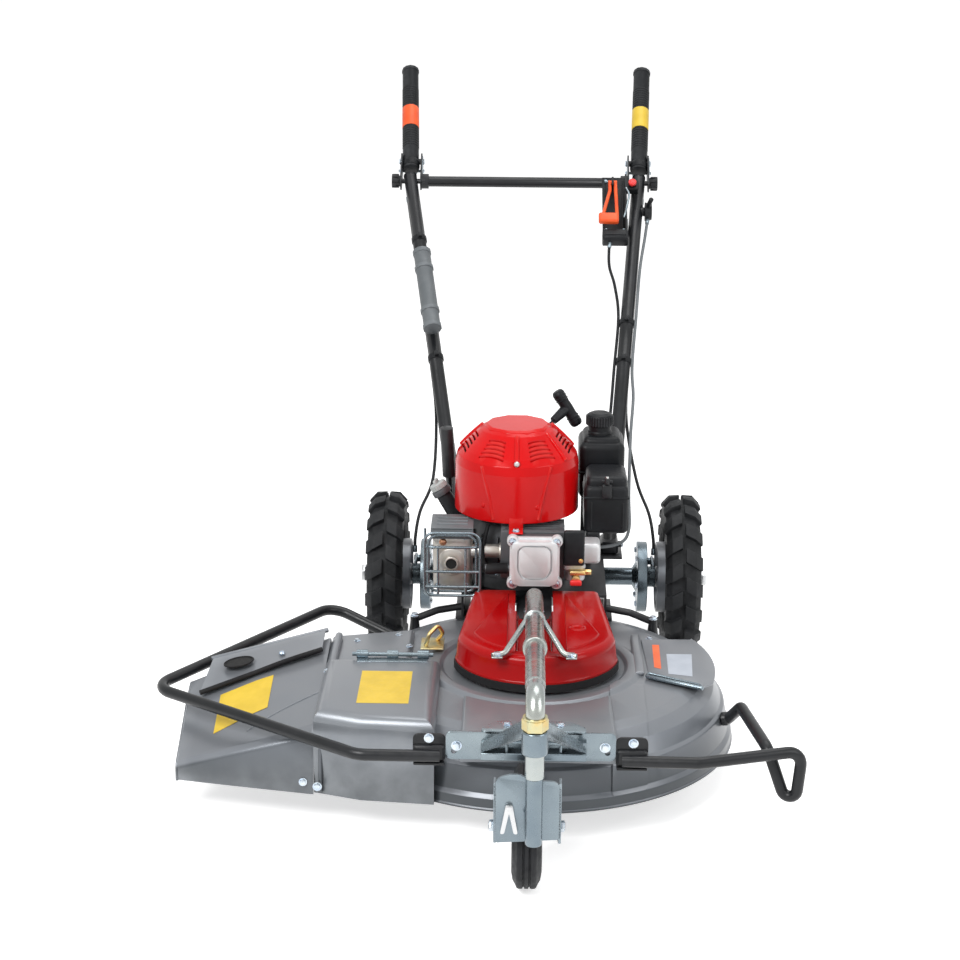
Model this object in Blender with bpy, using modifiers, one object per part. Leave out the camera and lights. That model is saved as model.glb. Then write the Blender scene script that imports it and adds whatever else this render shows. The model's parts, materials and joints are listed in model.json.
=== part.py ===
# Three-wheeled petrol mower with a side chute, a single front wheel on a gooseneck pole,
# two driven rear wheels and a vertical-shaft engine. Metres, +Z up, front towards -Y.
# Run with: blender --background --python part.py

import math

import bmesh
import bpy
from mathutils import Matrix, Vector

# Clearances
GAP = 0.0003
RUN = 0.0006

# Rear wheels and axle
REAR_TRACK = 0.531
TYRE_RADIUS = 0.150
TYRE_WIDTH = 0.066
LUG_HEIGHT = 0.010
LUG_PAIRS = 18
RIM_RADIUS = 0.094
AXLE_RADIUS = 0.010
DRUM_RADIUS = 0.064
DRUM_PLATE_X = REAR_TRACK / 2 - 0.0785
DRUM_PLATE_THICK = 0.018
DRUM_X = REAR_TRACK / 2 - 0.0435
CLUTCH_ARM_X = REAR_TRACK / 2 - 0.053

# Front wheel, fork and gooseneck pole
FRONT_WHEEL_RADIUS = 0.090
FRONT_WHEEL_WIDTH = 0.044
TRAIL = 0.113
FORK_OFFSET = -0.009
FORK_WIDTH = 0.095
POST_REACH = 0.2365
POST_TOP = 0.337
POST_BOTTOM = 0.218
POLE_RADIUS = 0.0145
POST_RADIUS = 0.0135
STEM_RADIUS = 0.0120
STEM_BOTTOM = 0.116
SWIVEL_PIN_RADIUS = 0.0080
POLE_REAR_Y = -0.372
POLE_REAR_Z = 0.2425

# Deck
DECK_Y = -0.472
DECK_RADIUS = 0.323
DECK_TOP = 0.160
DECK_RIM = 0.049
DECK_WALL = 0.0028
DECK_SIDES = 36
TUNNEL_TOP = 0.185
TUNNEL_FRONT = DECK_Y - 0.285
TUNNEL_REAR = DECK_Y - 0.033
TUNNEL_RIGHT = -0.150
WING_RIGHT = -0.200
OUTLET_X = -(DECK_RADIUS + 0.0125)
PLATFORM_LEFT = -0.110
PLATFORM_RIGHT = 0.125
PLATFORM_FRONT = DECK_Y - DECK_RADIUS - 0.0035
PLATFORM_TOP = 0.168
FRONT_PLATE_LEFT = -0.131
FRONT_PLATE_RIGHT = 0.122
POST_Y = PLATFORM_FRONT - POST_REACH
FRONT_WHEEL_Y = POST_Y + TRAIL
COVER_RADIUS = 0.134

# Blade and belts
BLADE_TIP_GAP = 0.023
BLADE_LENGTH = 2 * (DECK_RADIUS - BLADE_TIP_GAP)
BLADE_WIDTH = 0.060
BLADE_THICK = 0.005
BLADE_Z = 0.066
SPINDLE_RADIUS = 0.0120
SPINDLE_PULLEY_RADIUS = 0.060
ENGINE_PULLEY_RADIUS = 0.034
DRIVE_PULLEY_RADIUS = 0.052
BELT_THICK = 0.007
BELT_HEIGHT = 0.009
BLADE_BELT_Z = 0.1750
DRIVE_BELT_Z = 0.1925

# Frame
FRAME_Z = 0.2035
FRAME_THICK = 0.005
FRAME_HALF_WIDTH = 0.124
FRAME_REAR = 0.058
FRAME_FRONT = -0.265
GEARBOX_Y = 0.0

# Engine
CRANK_X = -0.032
CRANK_Y = -0.160
CRANK_RADIUS = 0.0125
HEAD_X = 0.0
HEAD_Z = 0.282
HEAD_SIZE = 0.090
HEAD_FRONT = -0.300
COWL_RADIUS = 0.107
COWL_TOP_RADIUS = 0.060
COWL_TOP = 0.482
COWL_SHOULDER = 0.437
COWL_BOTTOM = 0.334
COWL_WALL = 0.0025
ROPE_RADIUS = 0.0025

AIR_JOINT_Y = -0.214

# Handle
ARM_RADIUS = 0.0130
CROSSBAR_Y = 0.595
CROSSBAR_Z = 0.771
CROSSBAR_RADIUS = 0.0105
ARM_TOP_LEFT = -0.253
ARM_TOP_RIGHT = 0.201
ARM_BASE_LEFT = -0.131
ARM_BASE_RIGHT = 0.135
ARM_BASE_Y = -0.030
ARM_BASE_Z = 0.222
GRIP_END_Y = 0.812
GRIP_END_Z = 0.962
GRIP_SPREAD = 0.0115
GRIP_RADIUS = 0.0165
PIVOT_BOLT_RADIUS = 0.005
BAND_RADIUS = ARM_RADIUS + 0.0010
THROTTLE_BELOW = 0.072
THROTTLE_OUT = ARM_RADIUS + 0.004
THROTTLE_RADIUS = 0.019

# Guards
GUARD_RADIUS = 0.0095
GUARD_Z = 0.152
CABLE_RADIUS = 0.003

AXLE_Z = TYRE_RADIUS
FRAME_TOP = FRAME_Z + FRAME_THICK
ROPE_EXIT, STARTER_GRIP = Vector((0.016, -0.085, 0.452)), Vector((0.055, -0.050, 0.480))
NECK_FOOT, NECK_TOP = Vector((-0.104, -0.128, 0.250)), Vector((-0.166, -0.120, 0.350))
X_AXIS, Y_AXIS, Z_AXIS = Vector((1, 0, 0)), Vector((0, 1, 0)), Vector((0, 0, 1))


# Scene, materials and placing

for old in list(bpy.data.objects):
    bpy.data.objects.remove(old, do_unlink=True)

mower = bpy.data.collections.new("petrol_lawn_mower")
cutters = bpy.data.collections.new("cutters")
bpy.context.scene.collection.children.link(mower)
bpy.context.scene.collection.children.link(cutters)
cutters.hide_render = True


def finish(name, colour, roughness, metallic=0.0):
    made = bpy.data.materials.new(name)
    made.use_nodes = True
    made.diffuse_color = (*colour, 1.0)
    shader = made.node_tree.nodes["Principled BSDF"]
    shader.inputs["Base Color"].default_value = (*colour, 1.0)
    shader.inputs["Roughness"].default_value = roughness
    shader.inputs["Metallic"].default_value = metallic
    return made


DECK_GREY = finish("metallic grey enamel", (0.30, 0.31, 0.33), 0.35, 0.5)
RED = finish("red enamel", (0.62, 0.008, 0.012), 0.25)
ZINC = finish("zinc plate", (0.55, 0.62, 0.64), 0.32, 0.9)
BRASS = finish("brass", (0.75, 0.55, 0.20), 0.35, 0.9)
STEEL = finish("bright steel", (0.62, 0.62, 0.60), 0.28, 1.0)
ALLOY = finish("cast aluminium", (0.66, 0.66, 0.66), 0.42, 0.9)
BLACK_STEEL = finish("black enamel", (0.012, 0.013, 0.014), 0.38)
BLACK_PLASTIC = finish("black plastic", (0.022, 0.024, 0.026), 0.5)
RUBBER = finish("black rubber", (0.014, 0.014, 0.015), 0.8)
ORANGE = finish("orange plastic", (0.80, 0.12, 0.02), 0.4)
BUTTON_RED = finish("red plastic", (0.70, 0.01, 0.01), 0.35)
GREY_PLASTIC = finish("grey plastic", (0.25, 0.27, 0.29), 0.5)
PALE_PLASTIC = finish("pale grey plastic", (0.55, 0.57, 0.55), 0.45)

root = bpy.data.objects.new("mower_origin", None)
mower.objects.link(root)


def pivot(name, point):
    """An empty on a joint's axis."""
    made = bpy.data.objects.new(name, None)
    made.empty_display_size = 0.03
    made.location = point
    made.parent = root
    mower.objects.link(made)
    return made


def settle(obj, on, material, helper):
    """Hangs an object on its pivot and puts it with the parts or with the cutters."""
    obj.parent = on or root
    if on:
        obj.matrix_parent_inverse = Matrix.Translation(-on.location)
    (cutters if helper else mower).objects.link(obj)
    obj.hide_render = helper
    if helper:
        obj.display_type = "WIRE"
    if material:
        obj.data.materials.append(material)
    return obj


def solid_mesh(name, bm, on=None, material=None, helper=False, matrix=None, sharp=35):
    mesh = bpy.data.meshes.new(name)
    bmesh.ops.recalc_face_normals(bm, faces=bm.faces)
    bm.to_mesh(mesh)
    bm.free()
    mesh.shade_smooth()
    mesh.set_sharp_from_angle(angle=math.radians(sharp))
    made = bpy.data.objects.new(name, mesh)
    if matrix:
        made.matrix_world = matrix
    return settle(made, on, material, helper)


def frame_of(direction, at=(0, 0, 0)):
    """A matrix whose Z runs along a direction, standing at a point."""
    return Matrix.Translation(at) @ Vector(direction).to_track_quat("Z", "Y").to_matrix().to_4x4()


def box(name, low, high, bevel=0.0, matrix=None, **how):
    bm = bmesh.new()
    low, high = Vector(low), Vector(high)
    bmesh.ops.create_cube(bm, size=1.0)
    bmesh.ops.scale(bm, vec=high - low, verts=bm.verts)
    middle = Matrix.Translation((low + high) / 2)
    made = solid_mesh(name, bm, matrix=(matrix or Matrix()) @ middle, **how)
    if bevel:
        rounding = made.modifiers.new("rounded edges", "BEVEL")
        rounding.width = bevel
        rounding.segments = 2 if bevel > 0.009 else 1
        rounding.limit_method = "ANGLE"
    return made


def rod(name, start, end, radius, end_radius=None, sides=16, **how):
    start, end = Vector(start), Vector(end)
    bm = bmesh.new()
    bmesh.ops.create_cone(
        bm,
        cap_ends=True,
        segments=sides,
        radius1=radius,
        radius2=radius if end_radius is None else end_radius,
        depth=(end - start).length,
    )
    return solid_mesh(name, bm, matrix=frame_of(end - start, (start + end) / 2), **how)


def turned(name, profile, at=(0, 0, 0), axis=Z_AXIS, steps=32, on=None, material=None, helper=False):
    """Turns (radius, height) points round an axis. They run down the outside, top to bottom."""
    bm = bmesh.new()
    points = [bm.verts.new((radius, 0.0, height)) for radius, height in profile]
    closed = profile[0][0] > 0 and profile[-1][0] > 0
    for first, second in zip(points, points[1:] + (points[:1] if closed else [])):
        bm.edges.new((first, second))
    mesh = bpy.data.meshes.new(name)
    bm.to_mesh(mesh)
    bm.free()
    made = bpy.data.objects.new(name, mesh)
    made.matrix_world = frame_of(axis, at)
    screw = made.modifiers.new("turn", "SCREW")
    screw.steps = screw.render_steps = steps
    screw.use_merge_vertices = True
    screw.merge_threshold = 0.00001
    return settle(made, on, material, helper)


def rounded_path(points, radius, steps=4):
    """A run of straight lines with an arc at each corner."""
    points = [Vector(point) for point in points]
    path = [points[0]]
    for before, corner, after in zip(points, points[1:], points[2:]):
        back, ahead = (before - corner).normalized(), (after - corner).normalized()
        half = back.angle(ahead) / 2
        reach = min(
            radius / math.tan(half), 0.45 * min((before - corner).length, (after - corner).length)
        )
        centre = corner + (back + ahead).normalized() * (reach / math.cos(half))
        start, end = corner + back * reach - centre, corner + ahead * reach - centre
        swing = start.angle(end)
        for step in range(steps + 1):
            share = step / steps
            turned_arm = start * math.sin((1 - share) * swing) + end * math.sin(share * swing)
            path.append(centre + turned_arm / math.sin(swing))
    return path + [points[-1]]


def smooth_path(points, steps=5):
    """Points along a smooth curve through a route's own points."""
    points = [Vector(point) for point in points]
    ends = [points[0] * 2 - points[1], *points, points[-1] * 2 - points[-2]]
    path = []
    for p0, p1, p2, p3 in zip(ends, ends[1:], ends[2:], ends[3:]):
        for step in range(steps):
            t = step / steps
            bend = (p2 - p0) * t + (2 * p0 - 5 * p1 + 4 * p2 - p3) * t**2
            path.append(p1 + (bend + (3 * p1 - p0 - 3 * p2 + p3) * t**3) / 2)
    return path + [points[-1]]


def tube(name, path, radius, roundness=3, on=None, material=None, helper=False):
    line = bpy.data.curves.new(name, "CURVE")
    line.dimensions = "3D"
    line.bevel_depth = radius
    line.bevel_resolution = roundness
    line.use_fill_caps = True
    spline = line.splines.new("POLY")
    spline.points.add(len(path) - 1)
    for point, place in zip(spline.points, path):
        point.co = (*place, 1.0)
    return settle(bpy.data.objects.new(name, line), on, material, helper)


def slab(name, outlines, thick, matrix=None, on=None, material=None, helper=False):
    """A flat sheet cut to outlines; the second and later ones are holes."""
    sheet = bpy.data.curves.new(name, "CURVE")
    sheet.dimensions = "2D"
    sheet.fill_mode = "BOTH"
    sheet.extrude = thick / 2
    for outline in outlines:
        spline = sheet.splines.new("POLY")
        spline.points.add(len(outline) - 1)
        spline.use_cyclic_u = True
        for point, place in zip(spline.points, outline):
            point.co = (*place, 0.0, 1.0)
    made = bpy.data.objects.new(name, sheet)
    if matrix:
        made.matrix_world = matrix
    return settle(made, on, material, helper)


def circle(centre, radius, count=16, start=0.0, sweep=2 * math.pi):
    whole = abs(sweep) > 6.28
    steps = count if whole else count - 1
    return [
        (
            centre[0] + radius * math.cos(start + sweep * k / steps),
            centre[1] + radius * math.sin(start + sweep * k / steps),
        )
        for k in range(count)
    ]


# A sheet drawn in (y, z) standing across X, and one drawn in (x, z) standing across Y
def across_x(x):
    return Matrix.Translation((x, 0, 0)) @ Matrix((
        (0, 0, 1, 0), (1, 0, 0, 0), (0, 1, 0, 0), (0, 0, 0, 1)
    ))


def across_y(y):
    return Matrix.Translation((0, y, 0)) @ Matrix((
        (1, 0, 0, 0), (0, 0, -1, 0), (0, 1, 0, 0), (0, 0, 0, 1)
    ))


def at_height(z):
    return Matrix.Translation((0, 0, z))


def as_mesh(obj):
    """A Boolean takes no curve, so a curve is made a mesh in its place."""
    if obj.type == "MESH":
        return obj
    mesh = bpy.data.meshes.new_from_object(obj)
    bm = bmesh.new()
    bm.from_mesh(mesh)
    bmesh.ops.remove_doubles(bm, verts=bm.verts, dist=0.00001)
    bmesh.ops.recalc_face_normals(bm, faces=bm.faces)
    bm.to_mesh(mesh)
    bm.free()
    name, home = obj.name, obj.matrix_basis.copy()
    parent, inverse = obj.parent, obj.matrix_parent_inverse.copy()
    groups, hidden, look = list(obj.users_collection), obj.hide_render, obj.display_type
    bpy.data.objects.remove(obj, do_unlink=True)
    made = bpy.data.objects.new(name, mesh)
    made.matrix_basis = home
    made.parent, made.matrix_parent_inverse = parent, inverse
    made.hide_render, made.display_type = hidden, look
    for group in groups:
        group.objects.link(made)
    return made


def combine(target, tools, operation, solver="EXACT"):
    target = as_mesh(target)
    group = bpy.data.collections.new(f"{target.name} {operation.lower()}")
    cutters.children.link(group)
    group.hide_render = True
    for tool in [as_mesh(tool) for tool in tools]:
        cutters.objects.unlink(tool)
        group.objects.link(tool)
    joining = target.modifiers.new(operation.lower(), "BOOLEAN")
    joining.operand_type = "COLLECTION"
    joining.collection = group
    joining.operation = operation
    joining.solver = solver
    return target


def fuse(target, *tools):
    return combine(target, tools, "UNION")


def cut(target, *tools):
    return combine(target, tools, "DIFFERENCE")


def part(on=None, material=None):
    return {"on": on, "material": material}


def aid(on=None):
    return {"on": on, "helper": True}


# Deck: a round pan, a raised duct to the left and a flat seat in front, all hollowed alike


def deck_profile(wall):
    """Outer side of the pan from its crown to its rim, or with a wall the room inside it."""
    if wall:
        return [
            (0.0, DECK_TOP - wall),
            (DECK_RADIUS - 0.074, DECK_TOP - wall - 0.003),
            (DECK_RADIUS - 0.034, DECK_TOP - wall - 0.022),
            (DECK_RADIUS - 0.022, DECK_TOP - wall - 0.045),
            (DECK_RADIUS - 0.010, DECK_RIM + 0.016),
            (DECK_RADIUS - wall, DECK_RIM + 0.014),
            (DECK_RADIUS - wall, DECK_RIM - 0.01),
            (0.0, DECK_RIM - 0.01),
        ]
    return [
        (0.0, DECK_TOP),
        (COVER_RADIUS + 0.014, DECK_TOP),
        (COVER_RADIUS + 0.021, DECK_TOP + 0.005),
        (COVER_RADIUS + 0.034, DECK_TOP + 0.005),
        (COVER_RADIUS + 0.041, DECK_TOP - 0.001),
        (DECK_RADIUS - 0.072, DECK_TOP - 0.003),
        (DECK_RADIUS - 0.050, DECK_TOP - 0.009),
        (DECK_RADIUS - 0.030, DECK_TOP - 0.022),
        (DECK_RADIUS - 0.019, DECK_TOP - 0.044),
        (DECK_RADIUS - 0.014, DECK_TOP - 0.047),
        (DECK_RADIUS - 0.006, DECK_RIM + 0.022),
        (DECK_RADIUS, DECK_RIM + 0.018),
        (DECK_RADIUS, DECK_RIM),
        (0.0, DECK_RIM),
    ]


def deck_shape(name, inset, material=None):
    """The deck's outer form, or with an inset the room inside it, open to the left."""
    helper = inset > 0
    how = {"material": material, "helper": helper}
    low = DECK_RIM if not helper else DECK_RIM - 0.01
    pan = turned(name, deck_profile(inset), at=(0, DECK_Y, 0), steps=DECK_SIDES, **how)
    front = [(OUTLET_X - inset, -0.731 + inset), (OUTLET_X - inset, -0.376 - inset)]
    duct_line = [
        (OUTLET_X - inset, -0.731 + inset),
        (-0.262, TUNNEL_FRONT + inset),
        (TUNNEL_RIGHT - inset, TUNNEL_FRONT - 0.012 + inset),
        (TUNNEL_RIGHT - inset, TUNNEL_REAR - inset),
        (OUTLET_X - inset, TUNNEL_REAR - inset),
    ]
    top = TUNNEL_TOP - inset
    duct = slab(f"{name} duct", [duct_line], top - low, at_height((top + low) / 2), helper=True)
    wing_line = [
        (OUTLET_X - inset, TUNNEL_REAR - 0.01),
        (WING_RIGHT - inset, TUNNEL_REAR - 0.01),
        (WING_RIGHT - inset, -0.340 - inset),
        (OUTLET_X - inset, front[1][1]),
    ]
    wing_top = DECK_TOP + 0.012 - inset
    wing = slab(f"{name} wing", [wing_line], wing_top - low, at_height((wing_top + low) / 2), helper=True)
    seat = box(
        f"{name} seat",
        (PLATFORM_LEFT + inset, PLATFORM_FRONT + inset, 0.134 + inset),
        (PLATFORM_RIGHT - inset, -0.655 - inset, PLATFORM_TOP - inset),
        helper=True,
    )
    return fuse(pan, duct, wing, seat)


def make_deck():
    shell = deck_shape("deck_housing", 0.0, DECK_GREY)
    room = deck_shape("deck room", DECK_WALL)
    cut(shell, room)
    # Bearing housing of the blade spindle, welded through the crown
    housing = turned(
        "spindle housing",
        [
            (0.030, DECK_TOP + 0.003),
            (0.030, 0.120),
            (0.026, 0.098),
            (0.020, 0.098),
            (0.020, 0.092),
            (SPINDLE_RADIUS + RUN, 0.092),
            (SPINDLE_RADIUS + RUN, DECK_TOP + 0.003),
        ],
        at=(0, DECK_Y, 0),
        steps=24,
        helper=True,
    )
    bore = rod("spindle way", (0, DECK_Y, 0.13), (0, DECK_Y, 0.18), 0.025, helper=True)
    cut(shell, bore)
    fuse(shell, housing)
    return shell


def make_chute():
    """Discharge chute: a sheet lofted from the deck's outlet to its low mouth on the left."""
    inner_x, middle_x, outer_x = OUTLET_X + 0.012, OUTLET_X - 0.1095, OUTLET_X - 0.219
    inner = [
        (-0.738, DECK_RIM),
        (-0.722, 0.140),
        (-0.700, 0.149),
        (-0.452, 0.171),
        (-0.398, 0.176),
        (-0.376, 0.150),
        (-0.372, 0.075),
    ]
    middle = [
        (-0.716, DECK_RIM),
        (-0.710, 0.106),
        (-0.700, 0.114),
        (-0.505, 0.155),
        (-0.440, 0.163),
        (-0.420, 0.140),
        (-0.416, 0.082),
    ]
    outer = [
        (-0.692, DECK_RIM),
        (-0.692, 0.069),
        (-0.685, 0.077),
        (-0.560, 0.129),
        (-0.512, 0.141),
        (-0.497, 0.126),
        (-0.494, 0.090),
    ]
    bm = bmesh.new()
    rows = []
    for x, section in ((inner_x, inner), (OUTLET_X - 0.004, inner), (middle_x, middle), (outer_x, outer)):
        rows.append([bm.verts.new((x, y, z)) for y, z in section])
    for row, following in zip(rows, rows[1:]):
        for k in range(len(row) - 1):
            bm.faces.new((row[k], following[k], following[k + 1], row[k + 1]))
    chute = solid_mesh("discharge_chute", bm, material=DECK_GREY, sharp=50)
    wall = chute.modifiers.new("sheet", "SOLIDIFY")
    wall.thickness = DECK_WALL
    wall.offset = -1.0
    wall.use_even_offset = True
    seam = box("chute seam", (OUTLET_X - GAP, -0.78, 0.03), (OUTLET_X + 0.05, -0.34, 0.20), helper=True)
    return cut(chute, seam)


def make_flap():
    """Hinged flap over the chute's rear slope, turning on its pin along the upper edge."""
    start, end = Vector((OUTLET_X - 0.0095, -0.392, 0.1835)), Vector((OUTLET_X - 0.1845, -0.476, 0.1645))
    hinge = pivot("chute_flap_pivot", start)
    along = (end - start).normalized()
    low_start = Vector((OUTLET_X - 0.0095, -0.462, 0.1765))
    low_end = Vector((OUTLET_X - 0.1965, -0.560, 0.1375))
    up = (end - start).cross(low_start - start).normalized()
    up = up if up.z > 0 else -up
    rise = up * 0.0019
    bm = bmesh.new()
    ring = [start + (low_start - start) * 0.02, low_start, low_end, end + (low_end - end) * 0.02]
    lower = [bm.verts.new(point + rise) for point in ring]
    upper = [bm.verts.new(point + rise + up * 0.0025) for point in ring]
    bm.faces.new(lower)
    bm.faces.new(upper)
    for k in range(4):
        following = (k + 1) % 4
        bm.faces.new((lower[k], lower[following], upper[following], upper[k]))
    flap = solid_mesh("chute_flap", bm, **part(hinge, DECK_GREY))
    pin = rod(
        "flap pin",
        start + rise - along * 0.004,
        end + rise + along * 0.004,
        0.004,
        sides=10,
        **aid(hinge),
    )
    lip = tube(
        "flap lip",
        [low_start + rise + up * 0.001, low_end + rise + up * 0.001],
        0.004,
        2,
        **aid(hinge),
    )
    fuse(flap, pin, lip)
    hand_hole = rod(
        "hand hole",
        Vector((OUTLET_X - 0.1615, -0.512, 0.12)),
        Vector((OUTLET_X - 0.1615, -0.512, 0.20)),
        0.014,
        **aid(hinge),
    )
    cut(flap, hand_hole)
    return flap


def make_side_cover():
    """Hinged plate over the deck's right shoulder, with its hinge pin in front."""
    z = DECK_TOP - 0.001 + GAP + 0.00125
    inner, outer = COVER_RADIUS + 0.052, DECK_RADIUS - 0.061
    first = Vector((inner, DECK_Y - 0.0535, z + 0.0035))
    second = Vector((outer, DECK_Y - 0.0955, z + 0.0035))
    reach = (second - first).normalized() * 0.006
    hinge = pivot("side_cover_pivot", first)
    arc = circle((0, DECK_Y), DECK_RADIUS - 0.029, 7, math.radians(-14), math.radians(40))
    back = DECK_Y + 0.122
    outline = [
        (inner, DECK_Y - 0.052),
        (outer, DECK_Y - 0.094),
        *arc,
        (outer, back),
        (inner - 0.006, back),
    ]
    plate = slab("side_cover", [outline], 0.0025, at_height(z), **part(hinge, DECK_GREY))
    pin = rod("cover pin", first - reach, second + reach, 0.0035, sides=8, **aid(hinge))
    return fuse(plate, pin)


# Front plate, pole, caster fork and wheel


def pole_height(y):
    """Height of the pole's centre line, which climbs from the engine to the bend."""
    climb = (POST_TOP - POLE_REAR_Z) / (POLE_REAR_Y - POST_Y)
    return POLE_REAR_Z + (POLE_REAR_Y - y) * climb


def make_front_plate():
    back = PLATFORM_FRONT - GAP
    face = back - 0.004
    plate = box(
        "front_plate",
        (FRONT_PLATE_LEFT, face, 0.140),
        (FRONT_PLATE_RIGHT, back, 0.184),
        material=ZINC,
    )
    shelf_outline = [
        (-0.078, face),
        (0.078, face),
        (0.078, back + 0.012),
        (0.055, back + 0.036),
        (-0.055, back + 0.036),
        (-0.078, back + 0.012),
    ]
    shelf = slab("shelf", [shelf_outline], 0.004, at_height(0.184), helper=True)
    lip = box("lower lip", (-0.078, face - 0.014, 0.144), (0.078, face + 0.002, 0.148), helper=True)
    edge = box("lip edge", (-0.078, face - 0.014, 0.144), (0.078, face - 0.010, 0.156), helper=True)
    brow = box("brow", (-0.078, face - 0.010, 0.168), (0.078, face + 0.002, 0.172), helper=True)
    collar = turned(
        "brace collar",
        [
            (POST_RADIUS + 0.005, 0.288),
            (POST_RADIUS + 0.005, 0.254),
            (POST_RADIUS + GAP, 0.254),
            (POST_RADIUS + GAP, 0.288),
        ],
        at=(0, POST_Y, 0),
        steps=20,
        helper=True,
    )
    tools = [shelf, lip, edge, brow, collar]
    for side in (-1, 1):
        # A tapered brace from the plate's end up to the collar round the post
        foot_low = Vector((side * 0.076, face + 0.001, 0.160))
        foot_high = foot_low + Z_AXIS * 0.014
        top_high = Vector((side * 0.0135, POST_Y + 0.010, 0.286))
        top_low = top_high - Z_AXIS * 0.028
        corners = [foot_low, foot_high, top_high, top_low]
        inward = Vector((-side * 0.0032, -0.001, 0))
        bm = bmesh.new()
        near = [bm.verts.new(point) for point in corners]
        far = [bm.verts.new(point + inward) for point in corners]
        bm.faces.new(near)
        bm.faces.new(far)
        for k in range(4):
            following = (k + 1) % 4
            bm.faces.new((near[k], near[following], far[following], far[k]))
        tools.append(solid_mesh(f"brace {side}", bm, helper=True))
    for x in (-0.115, 0.106):
        tools.append(rod(
            f"plate bolt {x}",
            (x, face - 0.005, 0.162),
            (x, face + 0.001, 0.162),
            0.006,
            sides=6,
            helper=True,
        ))
    return fuse(plate, *tools)


def make_pole():
    bend = rounded_path(
        [(0, POLE_REAR_Y, POLE_REAR_Z), (0, POST_Y, POST_TOP), (0, POST_Y, POST_BOTTOM)],
        0.024,
        4,
    )
    pole = tube("front_pole", bend, POST_RADIUS, 3, material=ZINC)
    rise = Vector((0, POST_Y - POLE_REAR_Y, POST_TOP - POLE_REAR_Z)).normalized()
    rear = Vector((0, POLE_REAR_Y, POLE_REAR_Z))
    sleeve = rod("pole sleeve", rear, rear + rise * 0.615, POLE_RADIUS, sides=12, helper=True)
    ring_middle = Vector((0, -0.742, pole_height(-0.742)))
    ring = rod(
        "pole ring",
        ring_middle - rise * 0.010,
        ring_middle + rise * 0.010,
        POLE_RADIUS + 0.004,
        sides=12,
        helper=True,
    )
    collar = rod(
        "post collar",
        (0, POST_Y, 0.2885),
        (0, POST_Y, 0.3065),
        POST_RADIUS + 0.005,
        sides=6,
        helper=True,
    )
    foot = box(
        "pole foot",
        (-0.009, POLE_REAR_Y - 0.004, FRAME_TOP + GAP),
        (0.009, POLE_REAR_Y + 0.014, POLE_REAR_Z),
        helper=True,
    )
    base = box(
        "pole base",
        (-0.017, POLE_REAR_Y - 0.008, FRAME_TOP + GAP),
        (0.017, POLE_REAR_Y + 0.020, FRAME_TOP + 0.004),
        helper=True,
    )
    tools = [sleeve, ring, collar, foot, base]
    apex = Vector((0, -0.548, pole_height(-0.548)))
    for side in (-1, 1):
        # Strut from the pole down to its foot on the belt cover
        head = apex + Vector((side * 0.010, 0, 0.004))
        ankle = Vector((side * 0.046, -0.592, 0.2262))
        toe = Vector((side * 0.066, -0.600, 0.2262))
        tools.append(tube(
            f"strut {side}", rounded_path([head, ankle, toe], 0.012, 3), 0.0048, 2, helper=True
        ))
        tools.append(rod(
            f"strut bolt {side}",
            (side * 0.058, -0.598, 0.2226),
            (side * 0.058, -0.598, 0.2345),
            0.0065,
            sides=6,
            helper=True,
        ))
    fuse(pole, *tools)
    socket = rod(
        "swivel socket",
        (0, POST_Y, POST_BOTTOM - 0.01),
        (0, POST_Y, 0.290),
        SWIVEL_PIN_RADIUS + RUN,
        helper=True,
    )
    return cut(as_mesh(bpy.data.objects["front_pole"]), socket)


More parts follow.
